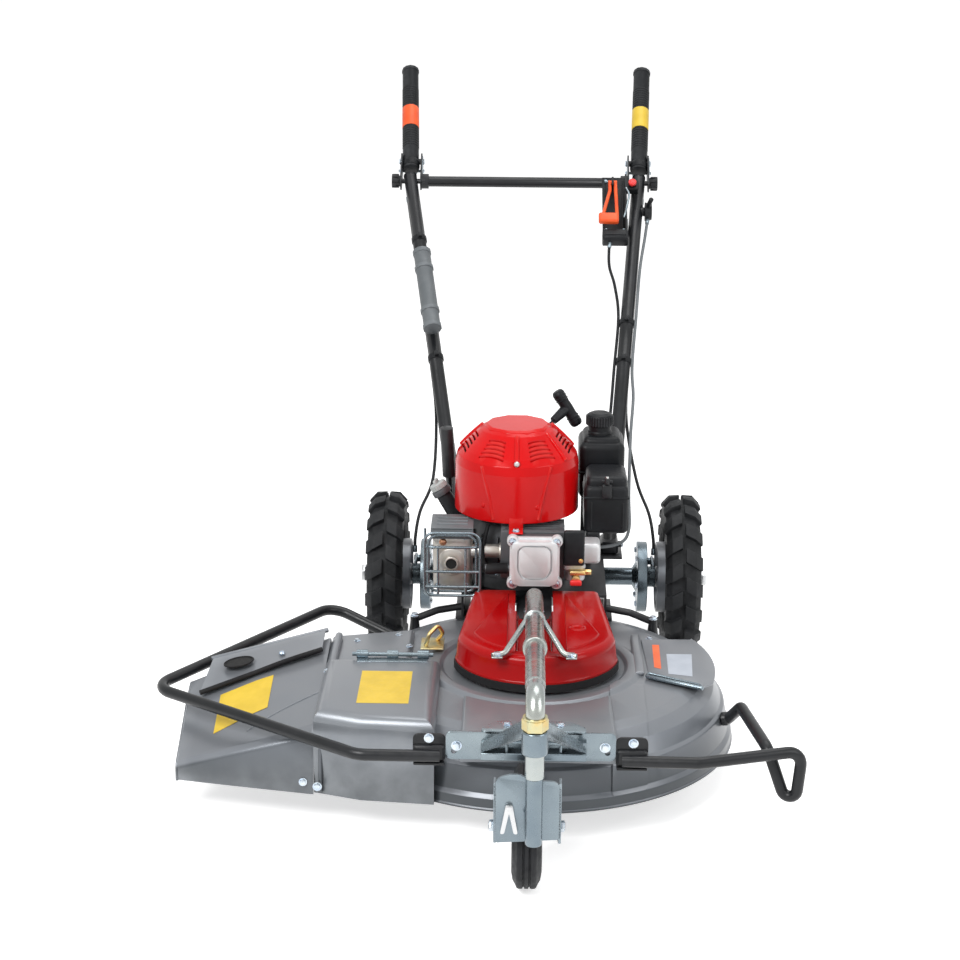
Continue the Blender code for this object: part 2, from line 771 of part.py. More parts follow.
def make_fork():
    swivel = pivot("front_swivel_pivot", (0, POST_Y, POST_BOTTOM))
    top = POST_BOTTOM - GAP
    web_y = POST_Y + STEM_RADIUS - 0.001
    left, right = FORK_OFFSET - FORK_WIDTH / 2, FORK_OFFSET + FORK_WIDTH / 2
    stem = rod(
        "front_fork",
        (0, POST_Y, STEM_BOTTOM),
        (0, POST_Y, top),
        STEM_RADIUS,
        sides=20,
        **part(swivel, ZINC),
    )
    pin = rod("swivel pin", (0, POST_Y, top - 0.01), (0, POST_Y, 0.286), SWIVEL_PIN_RADIUS, **aid(swivel))
    web_outline = [
        (left, 0.112),
        (right, 0.118),
        (right, 0.200),
        (right - 0.012, 0.207),
        (FORK_OFFSET, 0.207),
        (left + 0.040, 0.216),
        (left + 0.026, 0.2165),
        (left + 0.010, 0.212),
        (left, 0.200),
    ]
    web = slab("fork web", [web_outline], 0.004, across_y(web_y + 0.002), **aid(swivel))
    tools = [pin, web]
    axle_z = FRONT_WHEEL_RADIUS
    for side, x in ((-1, left + 0.002), (1, right - 0.002)):
        cheek = [
            (web_y, 0.112),
            (web_y, 0.203),
            (web_y + 0.020, 0.203),
            (FRONT_WHEEL_Y + 0.016, axle_z + 0.020),
            *circle((FRONT_WHEEL_Y, axle_z), 0.019, 6, math.radians(30), math.radians(-170)),
        ]
        tools.append(slab(f"cheek {side}", [cheek], 0.004, across_x(x), **aid(swivel)))
        hub_face = FORK_OFFSET + side * (FRONT_WHEEL_WIDTH / 2 + GAP)
        spacer_from = x - side * 0.001
        tools.append(rod(
            f"spacer {side}",
            (spacer_from, FRONT_WHEEL_Y, axle_z),
            (hub_face, FRONT_WHEEL_Y, axle_z),
            0.011,
            sides=12,
            **aid(swivel),
        ))
        tools.append(rod(
            f"axle nut {side}",
            (x, FRONT_WHEEL_Y, axle_z),
            (x + side * 0.009, FRONT_WHEEL_Y, axle_z),
            0.009,
            sides=6,
            **aid(swivel),
        ))
    tools.append(rod(
        "wheel axle",
        (left, FRONT_WHEEL_Y, axle_z),
        (right, FRONT_WHEEL_Y, axle_z),
        0.006,
        sides=12,
        **aid(swivel),
    ))
    fuse(stem, *tools)

    latch = pivot("swivel_lock_pivot", (-0.034, web_y, 0.16))
    face = web_y - GAP
    legs = [
        (-0.047, 0.128),
        (-0.041, 0.128),
        (-0.0345, 0.160),
        (-0.028, 0.128),
        (-0.022, 0.128),
        (-0.030, 0.172),
        (-0.039, 0.172),
    ]
    slab("swivel_lock", [legs], 0.005, across_y(face - 0.0025), **part(latch, STEEL))
    return stem


def make_front_wheel():
    """Solid tyre moulded on its hub, with a ribbed middle."""
    hub = pivot("front_wheel_pivot", (FORK_OFFSET, FRONT_WHEEL_Y, FRONT_WHEEL_RADIUS))
    half = FRONT_WHEEL_WIDTH / 2
    radius = FRONT_WHEEL_RADIUS
    turned(
        "front_wheel",
        [
            (0.020, half),
            (0.022, half - 0.008),
            (radius - 0.040, half - 0.010),
            (radius - 0.034, half - 0.004),
            (radius - 0.029, half - 0.004),
            (radius - 0.024, half),
            (radius - 0.013, half - 0.002),
            (radius - 0.008, half - 0.007),
            (radius, half - 0.009),
            (radius, -half + 0.009),
            (radius - 0.008, -half + 0.007),
            (radius - 0.013, -half + 0.002),
            (radius - 0.024, -half),
            (radius - 0.029, -half + 0.004),
            (radius - 0.034, -half + 0.004),
            (radius - 0.040, -half + 0.010),
            (0.022, -half + 0.008),
            (0.020, -half),
            (0.006 + RUN, -half),
            (0.006 + RUN, half),
        ],
        at=hub.location,
        axis=X_AXIS,
        steps=20,
        **part(hub, RUBBER),
    )


# Rear wheels, axle and side clutches


def make_tyre(name, wheel, x, side):
    """Tractor tyre: a turned carcass whose staggered tread blocks are drawn out of it."""
    half = TYRE_WIDTH / 2
    tread = TYRE_RADIUS - LUG_HEIGHT
    bead = (RIM_RADIUS + GAP) / math.cos(math.pi / LUG_PAIRS / 2)
    section = [
        (bead, half - 0.012),
        (bead + 0.022, half - 0.001),
        (tread - 0.010, half - 0.003),
        (tread - 0.001, half - 0.012),
        (tread, 0.003),
        (tread, -0.003),
        (tread - 0.001, -half + 0.012),
        (tread - 0.010, -half + 0.003),
        (bead + 0.022, -half + 0.001),
        (bead, -half + 0.012),
    ]
    bm = bmesh.new()
    ring = [bm.verts.new((across, 0.0, radius)) for radius, across in section]
    edges = [bm.edges.new(pair) for pair in zip(ring, ring[1:] + ring[:1])]
    bmesh.ops.spin(
        bm,
        geom=ring + edges,
        cent=(0, 0, 0),
        axis=(1, 0, 0),
        angle=2 * math.pi,
        steps=LUG_PAIRS * 2,
        use_merge=True,
    )
    bmesh.ops.remove_doubles(bm, verts=bm.verts, dist=0.00001)
    # The blocks lean back from the crown like a chevron
    for vert in bm.verts:
        lean = abs(vert.co.x) / half * math.pi / LUG_PAIRS * 0.7
        vert.co = Matrix.Rotation(lean, 3, "X") @ vert.co
    bmesh.ops.recalc_face_normals(bm, faces=bm.faces)
    step = math.pi / LUG_PAIRS
    blocks = []
    for face in bm.faces:
        middle = face.calc_center_median()
        if math.hypot(middle.y, middle.z) < tread - 0.012 or abs(middle.x) < 0.002:
            continue
        lean = abs(middle.x) / half * math.pi / LUG_PAIRS * 0.7
        turn = (math.atan2(middle.z, middle.y) - lean) / step
        if math.floor(turn + 0.001) % 2 == (0 if middle.x > 0 else 1):
            blocks.append(face)
    drawn = bmesh.ops.extrude_face_region(bm, geom=blocks)
    bmesh.ops.delete(bm, geom=blocks, context="FACES")
    for vert in [item for item in drawn["geom"] if isinstance(item, bmesh.types.BMVert)]:
        outward = Vector((0, vert.co.y, vert.co.z)).normalized()
        share = 1.0 if abs(vert.co.x) < half - 0.006 else 0.55
        vert.co += outward * LUG_HEIGHT * share
        vert.co.x += math.copysign(0.0035, vert.co.x) if share < 1.0 else 0.0
    return solid_mesh(
        name, bm, on=wheel, material=RUBBER, matrix=Matrix.Translation((x, 0, AXLE_Z)), sharp=30
    )


def make_rear_wheel(side, word):
    x = side * REAR_TRACK / 2
    wheel = pivot(f"rear_wheel_{word}_pivot", (x, 0, AXLE_Z))
    make_tyre(f"rear_tyre_{word}", wheel, x, side)
    half = TYRE_WIDTH / 2
    cup = abs(x) - DRUM_X
    rim = turned(
        f"rear_rim_{word}",
        [
            (0.019, half + 0.006),
            (0.021, 0.008),
            (0.050, 0.004),
            (0.066, 0.012),
            (RIM_RADIUS - 0.010, 0.010),
            (RIM_RADIUS - 0.003, half - 0.010),
            (RIM_RADIUS, half - 0.012),
            (RIM_RADIUS, -half + 0.012),
            (RIM_RADIUS - 0.003, -half + 0.010),
            (RIM_RADIUS - 0.010, -0.004),
            (DRUM_RADIUS, -0.002),
            (DRUM_RADIUS, -cup),
            (DRUM_RADIUS - 0.004, -cup),
            (DRUM_RADIUS - 0.004, -0.006),
            (0.021, -0.006),
            (0.019, -cup),
            (AXLE_RADIUS + RUN, -cup),
            (AXLE_RADIUS + RUN, half + 0.006),
        ],
        at=(x, 0, AXLE_Z),
        axis=X_AXIS * side,
        steps=16,
        **part(wheel, DECK_GREY),
    )
    return rim


def make_drum(side, word):
    """Fixed brake plate of a side clutch, its sleeve to the frame and its cam lever."""
    inner, outer = DRUM_PLATE_X, DRUM_PLATE_X + DRUM_PLATE_THICK
    turned(
        f"clutch_plate_{word}",
        [
            (AXLE_RADIUS + RUN, DRUM_X - RUN),
            (0.019, DRUM_X - RUN),
            (0.019, outer),
            (DRUM_RADIUS, outer),
            (DRUM_RADIUS, inner),
            (0.030, inner),
            (0.016, inner - 0.008),
            (0.016, FRAME_HALF_WIDTH + GAP),
            (AXLE_RADIUS + RUN, FRAME_HALF_WIDTH + GAP),
        ],
        at=(0, 0, AXLE_Z),
        axis=X_AXIS * side,
        steps=12,
        material=ZINC,
    )
    cam = Vector((side * (outer + GAP), -0.030, AXLE_Z + 0.040))
    turning = pivot(f"clutch_arm_{word}_pivot", cam)
    outline = [
        *circle((cam.y, cam.z), 0.010, 7, math.radians(-95), math.radians(190)),
        (cam.y - 0.046, cam.z + 0.012),
        (cam.y - 0.047, cam.z + 0.001),
    ]
    arm_x = side * CLUTCH_ARM_X
    arm = slab(f"clutch_arm_{word}", [outline], 0.004, across_x(arm_x), **part(turning, ZINC))
    boss = rod(
        f"cam boss {word}", cam, (arm_x + side * 0.004, cam.y, cam.z), 0.007, sides=6, **aid(turning)
    )
    return fuse(arm, boss)


def make_axle():
    spin = pivot("drive_axle_pivot", (0, GEARBOX_Y, AXLE_Z))
    reach = REAR_TRACK / 2 + TYRE_WIDTH / 2 + 0.006 + GAP
    tip = reach + 0.004
    axle = rod(
        "drive_axle", (-tip, 0, AXLE_Z), (tip, 0, AXLE_Z), AXLE_RADIUS, sides=16, **part(spin, STEEL)
    )
    ends = []
    for side in (-1, 1):
        near, far = (side * reach, 0, AXLE_Z), (side * (reach + 0.009), 0, AXLE_Z)
        ends.append(rod(f"axle cap {side}", near, far, 0.016, sides=6, **aid(spin)))
    return fuse(axle, *ends)


def make_gearbox():
    case = box(
        "gearbox",
        (-0.048, GEARBOX_Y - 0.052, 0.106),
        (0.048, GEARBOX_Y + 0.048, 0.181),
        0.010,
        material=ALLOY,
    )
    sleeves = []
    cheek = FRAME_HALF_WIDTH - 0.004 - GAP
    for side in (-1, 1):
        boss_from, boss_to = (side * 0.040, GEARBOX_Y, AXLE_Z), (side * 0.068, GEARBOX_Y, AXLE_Z)
        sleeves.append(rod(f"axle boss {side}", boss_from, boss_to, 0.026, 0.021, helper=True))
        sleeves.append(rod(
            f"axle tube {side}", boss_from, (side * cheek, GEARBOX_Y, AXLE_Z), 0.0175, helper=True
        ))
        for y in (-0.028, 0.028):
            low, high = (side * 0.047 - 0.004, y - 0.002, 0.114), (side * 0.047 + 0.004, y + 0.002, 0.172)
            sleeves.append(box(f"rib {side} {y}", low, high, helper=True))
    fuse(case, *sleeves)
    way = rod(
        "axle way",
        (-0.2, GEARBOX_Y, AXLE_Z),
        (0.2, GEARBOX_Y, AXLE_Z),
        AXLE_RADIUS + RUN,
        helper=True,
    )
    return cut(case, way)


# Belts, pulleys, crankshaft and blade


def v_groove(radius, middle, half=BELT_HEIGHT / 2 + GAP, wall=0.0022):
    """One belt groove of a pulley, from its upper flange down to its lower one."""
    return [
        (radius + BELT_THICK - 0.001, middle + half + wall),
        (radius + BELT_THICK - 0.001, middle + half),
        (radius, middle + half),
        (radius, middle - half),
        (radius + BELT_THICK - 0.001, middle - half),
        (radius + BELT_THICK - 0.001, middle - half - wall),
    ]


def belt_outline(first, first_radius, second, second_radius, count=14):
    """The closed line round two pulleys: two arcs and their common tangents."""
    first, second = Vector(first), Vector(second)
    between = second - first
    heading = math.atan2(between.y, between.x)
    lean = math.acos((first_radius - second_radius) / between.length)
    arc = circle(first, first_radius, count, heading + lean, 2 * math.pi - 2 * lean)
    return arc + circle(second, second_radius, count, heading - lean, 2 * lean)


def make_belt(name, first, first_radius, second, second_radius, z):
    inner = belt_outline(first, first_radius + RUN, second, second_radius + RUN)
    outer = belt_outline(first, first_radius + BELT_THICK, second, second_radius + BELT_THICK)
    return slab(name, [outer, inner], BELT_HEIGHT, at_height(z), material=RUBBER)


def make_belt_drive():
    crank, spindle, drive = (CRANK_X, CRANK_Y), (0.0, DECK_Y), (0.0, GEARBOX_Y)
    make_belt("blade_belt", crank, ENGINE_PULLEY_RADIUS, spindle, SPINDLE_PULLEY_RADIUS, BLADE_BELT_Z)
    make_belt("drive_belt", crank, ENGINE_PULLEY_RADIUS, drive, DRIVE_PULLEY_RADIUS, DRIVE_BELT_Z)

    shaft = pivot("engine_pivot", (CRANK_X, CRANK_Y, FRAME_TOP))
    lower, upper = v_groove(ENGINE_PULLEY_RADIUS, BLADE_BELT_Z), v_groove(ENGINE_PULLEY_RADIUS, DRIVE_BELT_Z)
    turned(
        "crankshaft",
        [
            (0.0, 0.424),
            (0.008, 0.424),
            (0.008, 0.404),
            (CRANK_RADIUS, 0.404),
            (CRANK_RADIUS, upper[0][1]),
            *upper,
            *lower,
            (0.014, lower[-1][1]),
            (0.014, 0.164),
            (0.0, 0.164),
        ],
        at=(CRANK_X, CRANK_Y, 0),
        steps=12,
        **part(shaft, STEEL),
    )
    fan = turned(
        "flywheel_fan",
        [
            (CRANK_RADIUS + GAP, 0.398),
            (0.030, 0.398),
            (0.034, 0.380),
            (0.088, 0.374),
            (0.088, 0.352),
            (0.078, 0.352),
            (0.074, 0.364),
            (CRANK_RADIUS + GAP, 0.364),
        ],
        at=(CRANK_X, CRANK_Y, 0),
        steps=12,
        **part(shaft, ALLOY),
    )
    blades = []
    for k in range(8):
        turn = Matrix.Translation((CRANK_X, CRANK_Y, 0)) @ Matrix.Rotation(k * math.pi / 4, 4, "Z")
        lean = turn @ Matrix.Translation((0.063, 0, 0)) @ Matrix.Rotation(math.radians(28), 4, "Z")
        blades.append(box(
            f"fan blade {k}",
            (-0.022, -0.0015, 0.372),
            (0.022, 0.0015, 0.394),
            matrix=lean,
            **aid(shaft),
        ))
    fuse(fan, *blades)

    cutting = pivot("blade_pivot", (0, DECK_Y, BLADE_Z))
    groove = v_groove(SPINDLE_PULLEY_RADIUS, BLADE_BELT_Z)
    turned(
        "blade_spindle",
        [
            (0.0, 0.190),
            (0.009, 0.190),
            (0.011, 0.186),
            (0.022, 0.186),
            (0.026, groove[0][1]),
            *groove,
            (0.026, groove[-1][1]),
            (0.022, DECK_TOP + 0.004),
            (SPINDLE_RADIUS, DECK_TOP + 0.004),
            (SPINDLE_RADIUS, 0.090),
            (0.028, 0.090),
            (0.028, BLADE_Z + BLADE_THICK + GAP),
            (0.008, BLADE_Z + BLADE_THICK + GAP),
            (0.008, BLADE_Z - 0.008),
            (0.0, BLADE_Z - 0.008),
        ],
        at=(0, DECK_Y, 0),
        steps=14,
        **part(cutting, STEEL),
    )
    make_blade(cutting)

    gear = pivot("drive_pulley_pivot", (0, GEARBOX_Y, DRIVE_BELT_Z))
    groove = v_groove(DRIVE_PULLEY_RADIUS, DRIVE_BELT_Z)
    turned(
        "drive_pulley",
        [
            (0.0, groove[0][1] + 0.002),
            (0.010, groove[0][1] + 0.002),
            (0.012, groove[0][1]),
            *groove,
            (0.014, groove[-1][1]),
            (0.012, 0.181 + GAP),
            (0.0, 0.181 + GAP),
        ],
        at=(0, GEARBOX_Y, 0),
        steps=14,
        **part(gear, STEEL),
    )


def make_blade(cutting):
    """Straight bar with sharpened edges and wings turned up at its trailing corners."""
    bm = bmesh.new()
    half, width = BLADE_LENGTH / 2, BLADE_WIDTH / 2
    stations = [-half, -half + 0.075, -half + 0.10, -0.05, 0.05, half - 0.10, half - 0.075, half]
    rings = []
    for x in stations:
        lift = 0.020 if abs(x) > half - 0.08 else 0.0
        edge = 0.0012 if abs(x) > half - 0.105 else BLADE_THICK
        lead = 1 if x > 0 else -1
        front, back = -lead * width, lead * width
        line = [
            (front, BLADE_Z),
            (front, BLADE_Z + edge),
            (front + lead * 0.012, BLADE_Z + BLADE_THICK),
            (back - lead * 0.018, BLADE_Z + BLADE_THICK),
            (back, BLADE_Z + BLADE_THICK + lift),
            (back + lead * 0.002, BLADE_Z + lift),
            (back - lead * 0.016, BLADE_Z),
        ]
        if lead < 0:
            line = [line[k] for k in (5, 4, 3, 2, 1, 0, 6)]
            line = [(back - 0.002, BLADE_Z + lift), *line[1:]]
        rings.append([Vector((x, y, z)) for y, z in line])
    # Where the lead changes hands the bar is plain, so both halves share one section
    plain = [
        (-width, BLADE_Z),
        (-width, BLADE_Z + BLADE_THICK),
        (-width + 0.012, BLADE_Z + BLADE_THICK),
        (width - 0.018, BLADE_Z + BLADE_THICK),
        (width, BLADE_Z + BLADE_THICK),
        (width, BLADE_Z),
        (width - 0.016, BLADE_Z),
    ]
    for k in (3, 4):
        rings[k] = [Vector((stations[k], y, z)) for y, z in plain]
    made = [[bm.verts.new(point) for point in ring] for ring in rings]
    bm.faces.new(made[0])
    bm.faces.new(made[-1])
    for ring, following in zip(made, made[1:]):
        for k in range(7):
            bm.faces.new((ring[k], ring[(k + 1) % 7], following[(k + 1) % 7], following[k]))
    bmesh.ops.triangulate(bm, faces=bm.faces)
    blade = solid_mesh("blade", bm, on=cutting, material=STEEL, matrix=Matrix.Translation((0, DECK_Y, 0)))
    hole = rod(
        "blade hole",
        (0, DECK_Y, BLADE_Z - 0.01),
        (0, DECK_Y, BLADE_Z + 0.02),
        0.008 + GAP,
        **aid(cutting),
    )
    return cut(blade, hole)


# Frame, belt cover and its seal


def make_frame():
    front = FRAME_FRONT
    outline = [
        (-FRAME_HALF_WIDTH, front),
        (-0.030, front),
        (-0.030, POLE_REAR_Y - 0.012),
        (0.030, POLE_REAR_Y - 0.012),
        (0.030, front),
        (FRAME_HALF_WIDTH, front),
        (FRAME_HALF_WIDTH, -0.062),
        (FRAME_HALF_WIDTH + 0.034, -0.062),
        (FRAME_HALF_WIDTH + 0.034, 0.010),
        (FRAME_HALF_WIDTH, 0.010),
        (FRAME_HALF_WIDTH, FRAME_REAR),
        (-FRAME_HALF_WIDTH, FRAME_REAR),
        (-FRAME_HALF_WIDTH, 0.010),
        (-FRAME_HALF_WIDTH - 0.032, 0.010),
        (-FRAME_HALF_WIDTH - 0.032, -0.062),
        (-FRAME_HALF_WIDTH, -0.062),
    ]
    crank_hole = circle((CRANK_X, CRANK_Y), 0.048, 16)
    plate = slab(
        "main_frame",
        [outline, crank_hole],
        FRAME_THICK,
        at_height(FRAME_Z + FRAME_THICK / 2),
        material=BLACK_STEEL,
    )
    tools, holes = [], []
    for side in (-1, 1):
        cheek = [
            (front, DECK_TOP + 0.0045),
            (front, FRAME_TOP - 0.001),
            (FRAME_REAR, FRAME_TOP - 0.001),
            (FRAME_REAR, 0.120),
            (0.020, 0.106),
            (-0.040, 0.106),
            (-0.118, 0.135),
            (-0.145, DECK_TOP + 0.0045),
        ]
        x = side * (FRAME_HALF_WIDTH - 0.002)
        tools.append(slab(f"frame cheek {side}", [cheek], 0.004, across_x(x), helper=True))
        foot_low = (x - 0.012, front, DECK_TOP + GAP)
        tools.append(box(
            f"frame foot {side}", foot_low, (x + 0.012, front + 0.10, DECK_TOP + 0.0055), helper=True
        ))
        tools.append(tube(
            f"rear strap {side}",
            rounded_path(
                [
                    (side * (FRAME_HALF_WIDTH - 0.004), -0.250, 0.180),
                    (side * (FRAME_HALF_WIDTH + 0.041), -0.262, 0.176),
                    (side * (FRAME_HALF_WIDTH + 0.081), -0.270, DECK_TOP + 0.002),
                ],
                0.02,
                3,
            ),
            0.0065,
            2,
            helper=True,
        ))
        holes.append(rod(
            f"axle hole {side}",
            (side * (FRAME_HALF_WIDTH - 0.024), 0, AXLE_Z),
            (side * (FRAME_HALF_WIDTH + 0.026), 0, AXLE_Z),
            AXLE_RADIUS + RUN,
            helper=True,
        ))
    fuse(plate, *tools)
    return cut(as_mesh(bpy.data.objects["main_frame"]), *holes)


def cover_outline(grow=0.0):
    """Plan of the belt cover: a round front on the spindle and straight sides to a flat back."""
    radius = COVER_RADIUS + grow
    arc = circle((0.004, -0.468), radius, 15, math.radians(180 + 12), math.radians(156))
    return [(-0.108 - grow, -0.286), *arc, (0.116 + grow, -0.286)]


def loft(name, layers, **how):
    """A closed body through outlines of like count, one above the other."""
    bm = bmesh.new()
    rows = [[bm.verts.new((x, y, z)) for x, y in outline] for z, outline in layers]
    for row, following in zip(rows, rows[1:]):
        for k in range(len(row)):
            after = (k + 1) % len(row)
            bm.faces.new((row[k], row[after], following[after], following[k]))
    bm.faces.new(rows[0])
    bm.faces.new(rows[-1])
    return solid_mesh(name, bm, **how)


def make_belt_cover():
    wall = 0.0025
    low, top = 0.1785, 0.2225
    shell = loft(
        "belt_cover",
        [(low, cover_outline()), (top - 0.012, cover_outline(-0.004)), (top, cover_outline(-0.016))],
        material=RED,
    )
    valley = loft(
        "cover valley",
        [
            (0.2075, [(-0.024, -0.275), (-0.024, -0.560), (0.024, -0.560), (0.024, -0.275)]),
            (0.2400, [(-0.036, -0.270), (-0.036, -0.575), (0.036, -0.575), (0.036, -0.270)]),
        ],
        helper=True,
    )
    room = loft(
        "cover room",
        [
            (low - 0.01, cover_outline(-wall)),
            (top - 0.012 - wall, cover_outline(-0.004 - wall)),
            (top - wall, cover_outline(-0.016 - wall)),
        ],
        helper=True,
    )
    doorway = box("cover doorway", (-0.105, -0.30, low - 0.01), (0.113, -0.27, 0.2190), helper=True)
    roof = loft(
        "valley floor",
        [
            (0.2050, [(-0.0265, -0.284), (-0.0265, -0.562), (0.0265, -0.562), (0.0265, -0.284)]),
            (0.2215, [(-0.0365, -0.284), (-0.0365, -0.574), (0.0365, -0.574), (0.0365, -0.284)]),
        ],
        helper=True,
    )
    notch = box("foot notch", (-0.0315, POLE_REAR_Y - 0.0145, 0.19), (0.0315, -0.27, 0.26), helper=True)
    cut(shell, room)
    cut(shell, doorway)
    fuse(shell, roof)
    cut(shell, valley, notch)
    return shell


def make_cover_seal():
    """Rubber seal between the belt cover and the deck, open at the back like the cover."""
    outer, inner = cover_outline(0.003), cover_outline(-0.010)
    outline = [*outer, *reversed(inner)]
    low, high = DECK_TOP + 0.005 + GAP, 0.1785 - GAP
    return slab("cover_seal", [outline], high - low, at_height((low + high) / 2), material=RUBBER)


# Engine


def make_engine_block():
    base = FRAME_TOP + GAP
    block = turned(
        "engine_block",
        [
            (0.0, 0.325),
            (0.045, 0.325),
            (0.070, 0.316),
            (0.078, 0.300),
            (0.080, 0.240),
            (0.090, 0.232),
            (0.090, base),
            (0.0, base),
        ],
        at=(CRANK_X, CRANK_Y, 0),
        steps=20,
        material=ALLOY,
    )
    half = HEAD_SIZE / 2
    tools = [
        box(
            "cylinder",
            (HEAD_X - 0.034, HEAD_FRONT + 0.006, HEAD_Z - 0.034),
            (HEAD_X + 0.034, -0.190, HEAD_Z + 0.034),
            helper=True,
        ),
        box(
            "head",
            (HEAD_X - half + 0.003, HEAD_FRONT + GAP, HEAD_Z - half + 0.003),
            (HEAD_X + half - 0.003, HEAD_FRONT + 0.016, HEAD_Z + half - 0.003),
            0.004,
            helper=True,
        ),
        rod("crank boss", (CRANK_X, CRANK_Y, 0.31), (CRANK_X, CRANK_Y, 0.345), 0.026, 0.022, helper=True),
    ]
    for k in range(6):
        y = HEAD_FRONT + 0.024 + 0.0115 * k
        grow = 0.004 if k % 2 == 0 else 0.0
        tools.append(box(
            f"fin {k}",
            (HEAD_X - half - 0.006 - grow, y, HEAD_Z - half + 0.004),
            (HEAD_X + half + 0.004, y + 0.003, HEAD_Z + half - 0.002),
            helper=True,
        ))
    # Oil filler neck, leaning out to the left
    neck_foot, neck_top = NECK_FOOT, NECK_TOP
    lean = (neck_top - neck_foot).normalized()
    tools.append(rod("oil neck", neck_foot, neck_top - lean * 0.002, 0.015, 0.013, helper=True))
    tools.append(rod("neck flange", neck_top - lean * 0.010, neck_top, 0.017, helper=True))
    tools.append(rod(
        "spark plug",
        (-0.036, HEAD_FRONT + 0.0155, 0.262),
        (-0.084, HEAD_FRONT + 0.0110, 0.262),
        0.008,
        sides=10,
        helper=True,
    ))
    for k in range(4):
        turn = math.radians(45 + 90 * k)
        x, y = CRANK_X + 0.080 * math.cos(turn), CRANK_Y + 0.080 * math.sin(turn)
        tools.append(rod(
            f"foot {k}", (x, y, base + 0.0005), (x, y, base + 0.010), 0.014, sides=12, helper=True
        ))
        tools.append(rod(
            f"foot bolt {k}", (x, y, base + 0.009), (x, y, base + 0.016), 0.008, sides=6, helper=True
        ))
    fuse(block, *tools)
    crank_way = rod(
        "crank way",
        (CRANK_X, CRANK_Y, 0.19),
        (CRANK_X, CRANK_Y, 0.36),
        CRANK_RADIUS + RUN,
        helper=True,
    )
    return cut(block, crank_way)


def make_rocker_cover():
    half = HEAD_SIZE / 2
    back, face = HEAD_FRONT, HEAD_FRONT - 0.022
    cover = box(
        "rocker_cover",
        (HEAD_X - half + 0.006, face, HEAD_Z - half + 0.006),
        (HEAD_X + half - 0.006, back - 0.004, HEAD_Z + half - 0.006),
        0.007,
        material=ALLOY,
    )
    tools = [box(
        "cover flange",
        (HEAD_X - half + 0.003, back - 0.006, HEAD_Z - half + 0.003),
        (HEAD_X + half - 0.003, back, HEAD_Z + half - 0.003),
        0.002,
        helper=True,
    )]
    near, far = 0.018, 0.030
    corners = (near, far), (far, near), (far, -near), (near, -far)
    panel = [(HEAD_X + x, HEAD_Z + z) for x, z in corners]
    panel += [(HEAD_X - x, HEAD_Z - z) for x, z in corners]
    tools.append(slab("raised panel", [panel], 0.006, across_y(face - 0.001), helper=True))
    for sx in (-1, 1):
        for sz in (-1, 1):
            x, z = HEAD_X + sx * (half - 0.008), HEAD_Z + sz * (half - 0.008)
            tools.append(rod(
                f"ear {sx} {sz}", (x, face + 0.006, z), (x, back, z), 0.010, sides=10, helper=True
            ))
            tools.append(rod(
                f"ear bolt {sx} {sz}",
                (x, face + 0.001, z),
                (x, face + 0.008, z),
                0.0055,
                sides=6,
                helper=True,
            ))
    return fuse(cover, *tools)


def cowl_profile(inset):
    """Outer side of the fan cover from its domed top to its skirt."""
    low = COWL_BOTTOM if not inset else COWL_BOTTOM - 0.02
    return [
        (0.0, COWL_TOP - inset),
        (COWL_TOP_RADIUS * 0.6, COWL_TOP - 0.001 - inset),
        (COWL_TOP_RADIUS - inset, COWL_TOP - 0.004 - inset),
        (COWL_TOP_RADIUS + 0.004 - inset, COWL_TOP - 0.009 - inset),
        (COWL_RADIUS - 0.011 - inset, COWL_SHOULDER + 0.004 - inset),
        (COWL_RADIUS - 0.003 - inset, COWL_SHOULDER - 0.007 - inset),
        (COWL_RADIUS - inset, COWL_SHOULDER - 0.020),
        (COWL_RADIUS - inset, low),
        (0.0, low),
    ]


